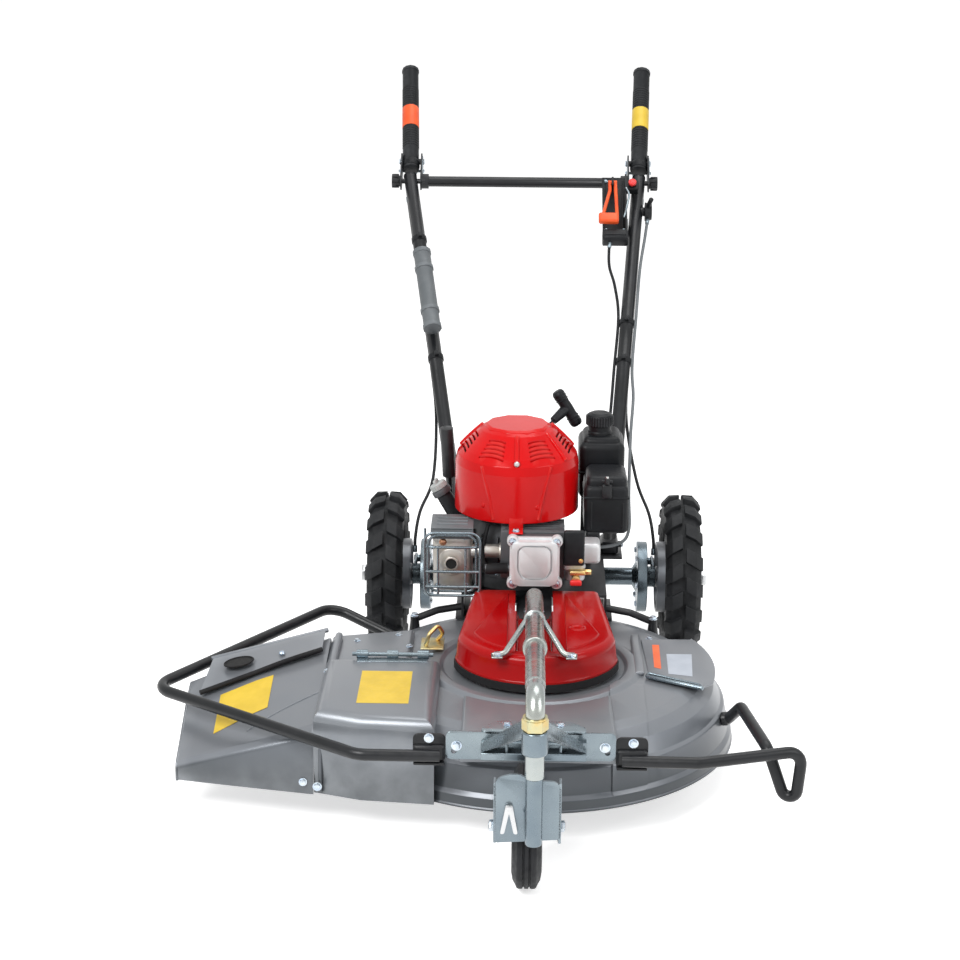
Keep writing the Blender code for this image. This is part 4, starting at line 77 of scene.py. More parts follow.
# Finishes: one set of numbers for each, and one node tree for them all
looks = {
    "deckEnamel": dict(
        slot="deck_enamel", base=(0.176, 0.192, 0.214), second=(0.198, 0.213, 0.235), tone=5.0, metallic=0.30,
        rough=(0.28, 0.33), grain=420.0, height=0.000012, coat=0.12, shine=0.35, wear=(0.36, 0.38, 0.40),
        # Painted shade: a dark colour laid on the deck's low upright walls
        dust=(0.27, 0.26, 0.25), paintedWallShade=(0.030, 0.036, 0.040)),
    "redEnamel": dict(
        slot="red_enamel", base=(0.62, 0.004, 0.005), second=(0.54, 0.003, 0.004), tone=9.0,
        rough=(0.14, 0.22), grain=500.0, height=0.00002, coat=0.05, shine=0.16, wear=(0.70, 0.10, 0.08)),
    # Painted shade: a darker copy of the same red enamel, for the belt cover that lies in shade
    "redEnamelShaded": dict(
        slot="red_enamel", base=(0.40, 0.002, 0.003), second=(0.35, 0.002, 0.003), tone=9.0,
        rough=(0.14, 0.20), grain=500.0, height=0.00002, coat=0.05, shine=0.14, wear=(0.55, 0.06, 0.05)),
    "blackEnamel": dict(
        slot="black_enamel", base=(0.006, 0.007, 0.008), second=(0.010, 0.011, 0.013), tone=14.0,
        rough=(0.28, 0.42), grain=600.0, height=0.00004, coat=0.05, shine=0.30, wear=(0.07, 0.07, 0.075)),
    "zincPlate": dict(
        slot="zinc", base=(0.155, 0.195, 0.225), second=(0.235, 0.280, 0.300), tone=9.0, metallic=0.80,
        rough=(0.20, 0.32), grain=350.0, height=0.000004, wear=(0.32, 0.36, 0.39)),
    "zincTube": dict(
        slot="zinc", base=(0.30, 0.33, 0.33), second=(0.40, 0.42, 0.39), tone=12.0, metallic=0.94,
        rough=(0.22, 0.32), grain=350.0, height=0.000003, wear=(0.48, 0.51, 0.51)),
    "boltZinc": dict(
        slot="zinc", base=(0.42, 0.50, 0.60), second=(0.56, 0.62, 0.66), tone=60.0, metallic=0.95,
        rough=(0.20, 0.32), grain=900.0, height=0.00002, wear=(0.75, 0.77, 0.80)),
    "yellowChromate": dict(
        slot="brass", base=(0.66, 0.47, 0.17), second=(0.47, 0.49, 0.33), tone=42.0, metallic=0.9,
        rough=(0.26, 0.42), grain=700.0, height=0.00003, wear=(0.72, 0.66, 0.45)),
    "brass": dict(
        slot="brass", base=(0.72, 0.50, 0.19), second=(0.58, 0.42, 0.20), tone=60.0, metallic=0.95,
        rough=(0.24, 0.40), grain=900.0, height=0.00003, wear=(0.85, 0.70, 0.40)),
    "brightSteel": dict(
        slot="steel", base=(0.60, 0.60, 0.59), second=(0.50, 0.51, 0.52), tone=22.0, metallic=1.0,
        rough=(0.24, 0.36), grain=800.0, height=0.000004, wear=(0.80, 0.80, 0.80)),
    "mufflerSteel": dict(
        slot="steel", base=(0.60, 0.585, 0.56), second=(0.46, 0.42, 0.37), tone=26.0, metallic=0.85,
        rough=(0.34, 0.50), grain=500.0, height=0.00002, wear=(0.74, 0.72, 0.70)),
    "castAlloy": dict(
        slot="alloy", base=(0.70, 0.71, 0.72), second=(0.60, 0.61, 0.62), tone=20.0, metallic=0.40,
        rough=(0.40, 0.56), grain=1100.0, height=0.00004, wear=(0.78, 0.78, 0.78)),
    # Painted shade: the silver cast alloy darkened to stand for the shade the engine block sits in
    "castShaded": dict(
        slot="alloy", base=(0.070, 0.074, 0.080), second=(0.100, 0.104, 0.110), tone=20.0, metallic=0.40,
        rough=(0.42, 0.58), grain=1100.0, height=0.00004, wear=(0.20, 0.20, 0.21)),
    "tyreRubber": dict(
        slot="tyre", base=(0.008, 0.009, 0.010), second=(0.014, 0.015, 0.017), tone=20.0,
        shine=0.25, rough=(0.52, 0.72), grain=900.0, height=0.00010, wear=(0.050, 0.052, 0.055)),
    "softRubber": dict(
        slot="rubber", base=(0.007, 0.007, 0.008), second=(0.012, 0.012, 0.013), tone=40.0,
        shine=0.20, rough=(0.55, 0.75), grain=1200.0, height=0.00008, wear=(0.045, 0.045, 0.046)),
    "blackPlastic": dict(
        slot="black_plastic", base=(0.006, 0.007, 0.008), second=(0.010, 0.011, 0.013), tone=18.0,
        shine=0.18, rough=(0.34, 0.46), grain=1500.0, height=0.00007, wear=(0.060, 0.063, 0.067)),
    "greyPlastic": dict(
        slot="grey_plastic", base=(0.105, 0.117, 0.125), second=(0.135, 0.148, 0.157), tone=22.0,
        rough=(0.40, 0.55), grain=1300.0, height=0.00007, wear=(0.22, 0.24, 0.26)),
    "palePlastic": dict(
        slot="pale_plastic", base=(0.50, 0.52, 0.51), second=(0.42, 0.44, 0.43), tone=50.0,
        rough=(0.40, 0.55), grain=1300.0, height=0.00007, wear=(0.62, 0.63, 0.62)),
    "orangePlastic": dict(
        slot="orange_plastic", base=(0.83, 0.105, 0.018), second=(0.74, 0.075, 0.012), tone=40.0,
        rough=(0.36, 0.50), grain=1500.0, height=0.00006, wear=(0.90, 0.25, 0.10)),
    "redPlastic": dict(
        slot="red_plastic", base=(0.74, 0.020, 0.022), second=(0.62, 0.012, 0.014), tone=90.0,
        rough=(0.28, 0.40), grain=1500.0, height=0.00004, wear=(0.85, 0.15, 0.12)),
    "copper": dict(
        slot="brass", base=(0.66, 0.32, 0.17), second=(0.50, 0.26, 0.16), tone=70.0, metallic=0.9,
        rough=(0.30, 0.45), grain=900.0, height=0.00004, wear=(0.80, 0.50, 0.32)),
    "yellowPatch": dict(
        slot="pale_plastic", base=(0.72, 0.50, 0.05), second=(0.64, 0.44, 0.04), tone=30.0,
        rough=(0.38, 0.50), grain=900.0, height=0.00002),
    "greyPatch": dict(
        slot="pale_plastic", base=(0.46, 0.50, 0.56), second=(0.40, 0.44, 0.50), tone=30.0,
        rough=(0.34, 0.46), grain=900.0, height=0.00002),
    # Painted shade: a near-black finish for sheets set in holes, slots and bores where only shade is
    "hollowShade": dict(
        slot="black_plastic", base=(0.004, 0.004, 0.004), second=(0.009, 0.009, 0.009), tone=30.0,
        rough=(0.70, 0.85), grain=900.0, height=0.00003),
}


def addNode(tree, kind, inputs=(), **settings):
    node = tree.nodes.new(kind)
    for name, value in settings.items():
        setattr(node, name, value)
    for name, value in dict(inputs).items():
        if isinstance(value, bpy.types.NodeSocket):
            tree.links.new(value, node.inputs[name])
        else:
            node.inputs[name].default_value = value
    return node


def blendColours(tree, share, first, second):
    mix = addNode(tree, "ShaderNodeMix", {"Factor": share}, data_type="RGBA")
    for socket, value in ((mix.inputs[6], first), (mix.inputs[7], second)):
        if isinstance(value, bpy.types.NodeSocket):
            tree.links.new(value, socket)
        else:
            socket.default_value = (*value, 1.0)
    return mix.outputs[2]


finishSet = {
    "coatRough": 0.12, "shine": 0.4, "toneSpan": (0.36, 0.64), "rubSpan": (0.3, 0.7),
    "wearSpan": (0.53, 0.62), "wearMost": 0.75, "dustSpan": (0.55, 1.0), "dustMost": 0.30,
    # Painted shade on low upright walls: its height span, its most and least share, and the facing span
    "shadeHeight": (0.065, 0.150), "shadeMost": 0.80, "shadeFacingSpan": (0.30, 0.72), "shadeLeast": 0.10,
    "bump": 0.6, "bumpTimes": 4,
}


def spread(tree, value, span, least=0.0, most=1.0):
    # The given span of a value, spread from least to most
    return addNode(tree, "ShaderNodeMapRange", {
        "Value": value, "From Min": span[0], "From Max": span[1], "To Min": least,
        "To Max": most}).outputs["Result"]


def product(tree, first, second):
    return addNode(tree, "ShaderNodeMath", {0: first, 1: second}, operation="MULTIPLY").outputs["Value"]


def makeFinish(name):
    look = looks[name]
    material = bpy.data.materials.new(name)
    material.use_nodes = True
    tree = material.node_tree
    shader = tree.nodes["Principled BSDF"]
    for socket, value in (
            ("Metallic", look.get("metallic", 0.0)), ("Coat Weight", look.get("coat", 0.0)),
            ("Coat Roughness", finishSet["coatRough"]),
            ("Specular IOR Level", look.get("shine", finishSet["shine"]))):
        shader.inputs[socket].default_value = value
    place = addNode(tree, "ShaderNodeTexCoord").outputs["Object"]
    noises = ({"Vector": place, "Scale": scale, "Detail": detail} for scale, detail in (
        (look["tone"], 4.0), (look["grain"], 3.0), (look["tone"] * 5, 5.0)))
    tone, grain, rub = (addNode(tree, "ShaderNodeTexNoise", given).outputs["Fac"] for given in noises)
    colour = blendColours(tree, spread(tree, tone, finishSet["toneSpan"]), look["base"], look["second"])
    if "dust" in look:
        # A little dust lies where a face looks up
        normal = addNode(tree, "ShaderNodeNewGeometry").outputs["Normal"]
        facing = addNode(tree, "ShaderNodeSeparateXYZ", {"Vector": normal}).outputs["Z"]
        lying = spread(tree, facing, finishSet["dustSpan"], most=finishSet["dustMost"])
        colour = blendColours(tree, product(tree, lying, rub), colour, look["dust"])
        # Painted shade: the walls that stand near the ground are darkened, more so the more upright they are
        height = addNode(tree, "ShaderNodeSeparateXYZ", {"Vector": place}).outputs["Z"]
        near = spread(tree, height, finishSet["shadeHeight"], finishSet["shadeMost"], 0.0)
        upright = spread(tree, facing, finishSet["shadeFacingSpan"], 1.0, finishSet["shadeLeast"])
        colour = blendColours(tree, product(tree, near, upright), colour, look["paintedWallShade"])
    if "wear" in look:
        # Sharp edges are rubbed bare
        edge = addNode(tree, "ShaderNodeNewGeometry").outputs["Pointiness"]
        worn = spread(tree, edge, finishSet["wearSpan"], most=finishSet["wearMost"])
        colour = blendColours(tree, product(tree, worn, rub), colour, look["wear"])
    tree.links.new(colour, shader.inputs["Base Color"])
    tree.links.new(spread(tree, rub, finishSet["rubSpan"], *look["rough"]), shader.inputs["Roughness"])
    bump = addNode(tree, "ShaderNodeBump", {
        "Height": grain, "Strength": finishSet["bump"], "Distance": look["height"] * finishSet["bumpTimes"]})
    tree.links.new(bump.outputs["Normal"], shader.inputs["Normal"])
    return material


finishes = {name: makeFinish(name) for name in looks}
print("finishes:", len(finishes))


# Shapes: each helper makes one in the work collection
def frameOf(direction, at=(0, 0, 0)):
    return Matrix.Translation(at) @ Vector(direction).to_track_quat("Z", "Y").to_matrix().to_4x4()


def around(at, angle, axis="Z"):
    return Matrix.Translation(at) @ Matrix.Rotation(angle, 4, axis)


def shapeFrom(bm, turn=None):
    if turn:
        bm.transform(turn)
    bmesh.ops.recalc_face_normals(bm, faces=bm.faces)
    mesh = bpy.data.meshes.new("shape")
    bm.to_mesh(mesh)
    bm.free()
    shape = bpy.data.objects.new("shape", mesh)
    work.objects.link(shape)
    return shape


def settle(shape):
    # The evaluated result becomes the shape's own plain mesh
    graph = bpy.context.evaluated_depsgraph_get()
    graph.update()
    mesh = bpy.data.meshes.new_from_object(shape.evaluated_get(graph))
    shape.modifiers.clear()
    shape.data = mesh
    return shape


def softened(shape, width, segments=2, angle=35):
    bevel = shape.modifiers.new("edges", "BEVEL")
    bevel.width, bevel.segments = width, segments
    bevel.limit_method, bevel.angle_limit = "ANGLE", math.radians(angle)
    return settle(shape)


def combined(shape, tools, operation):
    group = bpy.data.collections.new("tools")
    work.children.link(group)
    for tool in tools:
        work.objects.unlink(tool)
        group.objects.link(tool)
    joining = shape.modifiers.new("joining", "BOOLEAN")
    joining.operand_type, joining.collection = "COLLECTION", group
    joining.operation, joining.solver = operation, "EXACT"
    return settle(shape)


def fused(shape, *tools):
    return combined(shape, tools, "UNION")


def carved(shape, *tools):
    return combined(shape, tools, "DIFFERENCE")


def bevelled(bm, edges, width, segments=2):
    bmesh.ops.bevel(
        bm, geom=edges, offset=width, segments=segments, profile=0.5, affect="EDGES", clamp_overlap=True)


def block(low, high, edge=0.0, turn=None, segments=3):
    low, high = Vector(low), Vector(high)
    bm = bmesh.new()
    bmesh.ops.create_cube(bm, size=1.0)
    bmesh.ops.scale(bm, vec=high - low, verts=bm.verts)
    bmesh.ops.translate(bm, vec=(low + high) / 2, verts=bm.verts)
    if edge:
        bevelled(bm, bm.edges[:], edge, segments)
    return shapeFrom(bm, turn)


def bar(start, end, radius, endRadius=None, sides=32, edge=0.0):
    start, end = Vector(start), Vector(end)
    endRadius = radius if endRadius is None else endRadius
    half = (end - start).length / 2
    bm = bmesh.new()
    bmesh.ops.create_cone(bm, cap_ends=True, segments=sides, radius1=radius, radius2=endRadius,
        depth=half * 2)
    if edge:
        rims = [e for e in bm.edges if abs(e.verts[0].co.z - e.verts[1].co.z) < 1e-7]
        bevelled(bm, rims, edge)
    return shapeFrom(bm, frameOf(end - start, (start + end) / 2))


def lathe(profile, at=(0, 0, 0), axis=zAxis, steps=64):
    bm = bmesh.new()
    ring = [bm.verts.new((radius, 0, height)) for radius, height in profile]
    closed = profile[0][0] > 0 and profile[-1][0] > 0
    edges = [bm.edges.new(pair) for pair in zip(ring, ring[1:] + (ring[:1] if closed else []))]
    bmesh.ops.spin(
        bm, geom=ring + edges, cent=(0, 0, 0), axis=(0, 0, 1), angle=full, steps=steps, use_merge=True)
    bmesh.ops.remove_doubles(bm, verts=bm.verts, dist=1e-6)
    return shapeFrom(bm, frameOf(axis, at))


def roundedPath(points, radius, steps=6):
    points = [Vector(point) for point in points]
    path = [points[0]]
    for before, corner, after in zip(points, points[1:], points[2:]):
        back, ahead = (before - corner).normalized(), (after - corner).normalized()
        half = back.angle(ahead) / 2
        if half > 1.55:
            path.append(corner)
            continue
        reach = min(radius / math.tan(half), 0.45 * min((before - corner).length, (after - corner).length))
        centre = corner + (back + ahead).normalized() * (reach / math.cos(half))
        start, end = corner + back * reach - centre, corner + ahead * reach - centre
        swing = start.angle(end)
        for step in range(steps + 1):
            share = step / steps
            arm = start * math.sin((1 - share) * swing) + end * math.sin(share * swing)
            path.append(centre + arm / math.sin(swing))
    return path + [points[-1]]


def softProfile(profile, radius, steps=4):
    # The same corner rounding for a flat list of pairs
    return [(point.x, point.y) for point in roundedPath([(a, b, 0) for a, b in profile], radius, steps)]


def turned(profile, soft, fine=2, **place):
    # A lathe shape whose profile has rounded corners
    return lathe(softProfile(profile, soft, fine), **place)


def smoothPath(points, steps=8):
    points = [Vector(point) for point in points]
    ends = [points[0] * 2 - points[1], *points, points[-1] * 2 - points[-2]]
    path = []
    for p0, p1, p2, p3 in zip(ends, ends[1:], ends[2:], ends[3:]):
        for step in range(steps):
            t = step / steps
            bend = (p2 - p0) * t + (2 * p0 - 5 * p1 + 4 * p2 - p3) * t**2
            path.append(p1 + (bend + (3 * p1 - p0 - 3 * p2 + p3) * t**3) / 2)
    return path + [points[-1]]


def pipe(path, radius, sides=16):
    path = [Vector(point) for point in path]
    bm = bmesh.new()
    rings, side = [], None
    for k, point in enumerate(path):
        ahead = (path[min(k + 1, len(path) - 1)] - path[max(k - 1, 0)]).normalized()
        side = ahead.orthogonal() if side is None else side
        side = (side - ahead * side.dot(ahead)).normalized()
        other = ahead.cross(side)
        size = radius[k] if isinstance(radius, list) else radius
        turns = [full * n / sides for n in range(sides)]
        rings.append([bm.verts.new(point + (side * math.cos(a) + other * math.sin(a)) * size) for a in turns])
    for ring, following in zip(rings, rings[1:]):
        for n in range(sides):
            after = (n + 1) % sides
            bm.faces.new((ring[n], ring[after], following[after], following[n]))
    bm.faces.new(rings[0])
    bm.faces.new(rings[-1])
    return shapeFrom(bm)


def lofted(layers, ends=True):
    # Outlines of like count, given as points, one after the other
    bm = bmesh.new()
    rows = [[bm.verts.new(point) for point in layer] for layer in layers]
    for row, following in zip(rows, rows[1:]):
        for k in range(len(row)):
            after = (k + 1) % len(row)
            bm.faces.new((row[k], row[after], following[after], following[k]))
    if ends:
        bm.faces.new(rows[0])
        bm.faces.new(rows[-1])
    return shapeFrom(bm)


def sheet(outline, thick, place=None, edge=0.0):
    half = thick / 2
    bm = bmesh.new()
    low = [bm.verts.new((x, y, -half)) for x, y in outline]
    high = [bm.verts.new((x, y, half)) for x, y in outline]
    faces = [bm.faces.new(low), bm.faces.new(high)]
    for k in range(len(outline)):
        after = (k + 1) % len(outline)
        bm.faces.new((low[k], low[after], high[after], high[k]))
    if edge:
        rims = {e for face in faces for e in face.edges}
        bevelled(bm, list(rims), edge)
    return shapeFrom(bm, place)


def panel(corners, thick, edge=0.0):
    # A flat or slightly bent plate through points in space, thickened below its face
    corners = [Vector(corner) for corner in corners]
    normal = (corners[1] - corners[0]).cross(corners[-1] - corners[0]).normalized()
    normal = normal if normal.z >= 0 else -normal
    made = lofted([[point - normal * thick for point in corners], corners])
    return softened(made, edge) if edge else made


def circle(centre, radius, count=32, start=0.0, sweep=full):
    steps = count if abs(sweep) > 6.28 else count - 1
    return [
        (centre[0] + radius * math.cos(start + sweep * k / steps),
        centre[1] + radius * math.sin(start + sweep * k / steps)) for k in range(count)]


# A sheet drawn in (y, z) standing across X, in (x, z) standing across Y, or lying at a height
def acrossX(x):
    return Matrix.Translation((x, 0, 0)) @ Matrix(((0, 0, 1, 0), (1, 0, 0, 0), (0, 1, 0, 0), (0, 0, 0, 1)))


def acrossY(y):
    return Matrix.Translation((0, y, 0)) @ Matrix(((1, 0, 0, 0), (0, 0, -1, 0), (0, 1, 0, 0), (0, 0, 0, 1)))


def atHeight(z):
    return Matrix.Translation((0, 0, z))


# Geometry Nodes: one tree repeats a shape by steps and turns, the other sets heads on points
def startTree(name, sockets):
    tree = bpy.data.node_groups.new(name, "GeometryNodeTree")
    tree.interface.new_socket("Geometry", in_out="INPUT", socket_type="NodeSocketGeometry")
    for label, kind in sockets:
        tree.interface.new_socket(label, in_out="INPUT", socket_type="NodeSocket" + kind)
    tree.interface.new_socket("Geometry", in_out="OUTPUT", socket_type="NodeSocketGeometry")
    return tree, addNode(tree, "NodeGroupInput").outputs


def endTree(tree, instances, material):
    real = addNode(tree, "GeometryNodeRealizeInstances", {"Geometry": instances})
    dressed = addNode(tree, "GeometryNodeSetMaterial",
        {"Geometry": real.outputs["Geometry"], "Material": material})
    addNode(tree, "NodeGroupOutput", {"Geometry": dressed.outputs["Geometry"]})
    return tree


def buildRepeatTree():
    tree, given = startTree("repeat by step and turn", [
        ("Count", "Int"), ("Start", "Vector"), ("Step", "Vector"), ("Axis", "Vector"), ("Phase", "Float"),
        ("Turn", "Float"), ("Finish", "Material")])
    index = addNode(tree, "GeometryNodeInputIndex").outputs["Index"]
    moved = addNode(tree, "ShaderNodeVectorMath", {0: given["Step"], "Scale": index}, operation="SCALE")
    spot = addNode(tree, "ShaderNodeVectorMath", {0: moved.outputs["Vector"], 1: given["Start"]},
        operation="ADD")
    angle = addNode(
        tree, "ShaderNodeMath", {0: index, 1: given["Turn"], 2: given["Phase"]}, operation="MULTIPLY_ADD")
    heading = addNode(
        tree, "FunctionNodeAxisAngleToRotation", {"Axis": given["Axis"], "Angle": angle.outputs["Value"]})
    points = addNode(tree, "GeometryNodePoints",
        {"Count": given["Count"], "Position": spot.outputs["Vector"]})
    copies = addNode(tree, "GeometryNodeInstanceOnPoints",
        {"Points": points.outputs["Points"], "Instance": given["Geometry"],
        "Rotation": heading.outputs["Rotation"]})
    return endTree(tree, copies.outputs["Instances"], given["Finish"])


def buildHeadTree():
    tree, given = startTree("heads on points", [("Head", "Object"), ("Finish", "Material")])
    aim = addNode(tree, "GeometryNodeInputNamedAttribute", {"Name": "aim"}, data_type="FLOAT_VECTOR")
    size = addNode(tree, "GeometryNodeInputNamedAttribute", {"Name": "size"}, data_type="FLOAT")
    heading = addNode(
        tree, "FunctionNodeAlignRotationToVector", {"Vector": aim.outputs["Attribute"]}, axis="Z")
    head = addNode(tree, "GeometryNodeObjectInfo", {"Object": given["Head"]})
    copies = addNode(tree, "GeometryNodeInstanceOnPoints", {
        "Points": given["Geometry"], "Instance": head.outputs["Geometry"],
        "Rotation": heading.outputs["Rotation"], "Scale": size.outputs["Attribute"]})
    return endTree(tree, copies.outputs["Instances"], given["Finish"])


def grown(shape, tree, **inputs):
    growing = shape.modifiers.new(tree.name, "NODES")
    growing.node_group = tree
    for item in tree.interface.items_tree:
        if item.in_out == "INPUT" and item.name in inputs:
            growing[item.identifier] = inputs[item.name]
    return settle(shape)


repeatTree, headTree = buildRepeatTree(), buildHeadTree()


def repeated(shape, look, count, start=(0, 0, 0), step=(0, 0, 0), axis=(0, 0, 1), phase=0.0, turn=0.0):
    return grown(shape, repeatTree, Count=count, Start=tuple(start), Step=tuple(step), Axis=tuple(axis),
        Phase=float(phase), Turn=float(turn), Finish=finishes[look])


headSet = {"washer": 1.28, "washerThick": 0.18, "foot": 0.10, "height": 0.80, "edge": 0.10, "sunk": 0.05}
hexHead = lathe([
    (0, 0), (headSet["washer"], 0), (headSet["washer"], headSet["washerThick"]), (0, headSet["washerThick"])],
    steps=24)
hexHead.data.transform(Matrix.Translation((0, 0, -headSet["sunk"])))
hexHead = fused(hexHead, bar(
    (0, 0, headSet["foot"]), (0, 0, headSet["height"]), 1.0, sides=6, edge=headSet["edge"]))


def heads(places, look="boltZinc"):
    # Each place is a point, the way its head looks, and its radius
    mesh = bpy.data.meshes.new("places")
    mesh.from_pydata([tuple(place[0]) for place in places], [], [])
    mesh.attributes.new("aim", "FLOAT_VECTOR", "POINT")
    mesh.attributes.new("size", "FLOAT", "POINT")
    for k, place in enumerate(places):
        mesh.attributes["aim"].data[k].vector = Vector(place[1]).normalized()
        mesh.attributes["size"].data[k].value = place[2]
    shape = bpy.data.objects.new("places", mesh)
    work.objects.link(shape)
    return grown(shape, headTree, Head=hexHead, Finish=finishes[look])


# A finished piece: its shapes as one mesh, with its finish, its body and the nodes it stands for
def dress(name, shapes, look, node, stands=True, sharp=38, moved=True):
    bm = bmesh.new()
    for shape in shapes:
        bm.from_mesh(shape.data)
    if moved:
        bmesh.ops.translate(bm, vec=shift, verts=bm.verts)
    bmesh.ops.remove_doubles(bm, verts=bm.verts, dist=1e-7)
    for face in bm.faces:
        face.material_index = 0
    mesh = bpy.data.meshes.new(name)
    bm.to_mesh(mesh)
    bm.free()
    mesh.materials.append(finishes[look])
    mesh.shade_smooth()
    mesh.set_sharp_from_angle(angle=math.radians(sharp))
    made = bpy.data.objects.new(name, mesh)
    mower.objects.link(made)
    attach(made, bodyOf[node])
    if stands:
        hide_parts(node)
    return made


def trim(name, shapes, look, node, sharp=38):
    # Rides with the piece that stands for its node
    return dress(name, shapes, look, node, stands=False, sharp=sharp)


def bolted(name, places, node, look="boltZinc"):
    return trim(name, [heads(places, look)], look, node)


def carryOver(node, look, edge=0.0006):
    # A copy of the solid with its edges rounded, where its shape is already right
    bm = bmesh.new()
    bm.from_mesh(frame["nodes"][node].data)
    bmesh.ops.remove_doubles(bm, verts=bm.verts, dist=1e-6)
    bmesh.ops.dissolve_limit(bm, angle_limit=math.radians(2), verts=bm.verts, edges=bm.edges)
    shape = shapeFrom(bm)
    if edge:
        shape = softened(shape, edge)
    return dress(node + "_dressed", [shape], look, node, moved=False)


bodyOf = {node: body for body, held in frame["record"]["behaviour"]["bodies"].items() for node in held}

# Deck: a pressed pan with a bead ring and a rolled rim, a duct to the left and a flat seat in front
deckSet = {
    "y": -0.472, "top": 0.160, "rim": 0.049, "wall": 0.0028, "steps": 160, "outletX": -0.3355,
    "ductTop": 0.185, "wingTop": 0.172, "seatTop": 0.168, "stepRise": 0.0022,
    "seam": 0.0062, "seamFoot": 0.0034, "seamTaper": 0.0004, "taperFrom": 26, "hinge": 0.1905, "lug": 0.1718,
}


def shrunk(outline, by):
    # Each corner moves inwards along both its edges
    turning = sum(a[0] * b[1] - b[0] * a[1] for a, b in zip(outline, outline[1:] + outline[:1]))
    side = 1 if turning > 0 else -1
    moved = []
    for k, corner in enumerate(outline):
        before, after = Vector(outline[k - 1]), Vector(outline[(k + 1) % len(outline)])
        into, out = (Vector(corner) - before).normalized(), (after - Vector(corner)).normalized()
        first, second = Vector((-into.y, into.x)) * side, Vector((-out.y, out.x)) * side
        lean = (first + second).normalized()
        moved.append(Vector(corner) + lean * by / max(lean.dot(first), 0.4))
    return [(point.x, point.y) for point in moved]


def pressedForm(outline, low, top, corner, inset=0.0, steps=5):
    # A form drawn out of the sheet, its upper edges rounded; an inset gives the room inside it
    corner = max(corner - inset, 0.002)
    top -= inset
    levels = [(0.0, low), (0.0, top - corner)]
    for k in range(1, steps + 1):
        turn = math.pi / 2 * k / steps
        levels.append((corner * (1 - math.cos(turn)), top - corner * (1 - math.sin(turn))))
    return lofted([[(x, y, z) for x, y in shrunk(outline, inset + by)] for by, z in levels])


def panProfile(rise=0.0):
    top, rim = deckSet["top"] + rise, deckSet["rim"]
    line = [
        (0, top), (0.147, top), (0.153, top + 0.0055), (0.168, top + 0.0055), (0.176, top - 0.0005),
        (0.252, top - 0.003), (0.272, top - 0.008), (0.2915, top - 0.021), (0.3035, top - 0.044),
        (0.3095, top - 0.048), (0.3165, rim + 0.025), (0.3225, rim + 0.0185), (0.3228, rim + 0.0045),
        (0.3248, rim + 0.0030), (0.3248, rim), (0, rim)]
    return softProfile([(r + (rise if r > 0.2 else 0), z) for r, z in line], 0.004, 3)


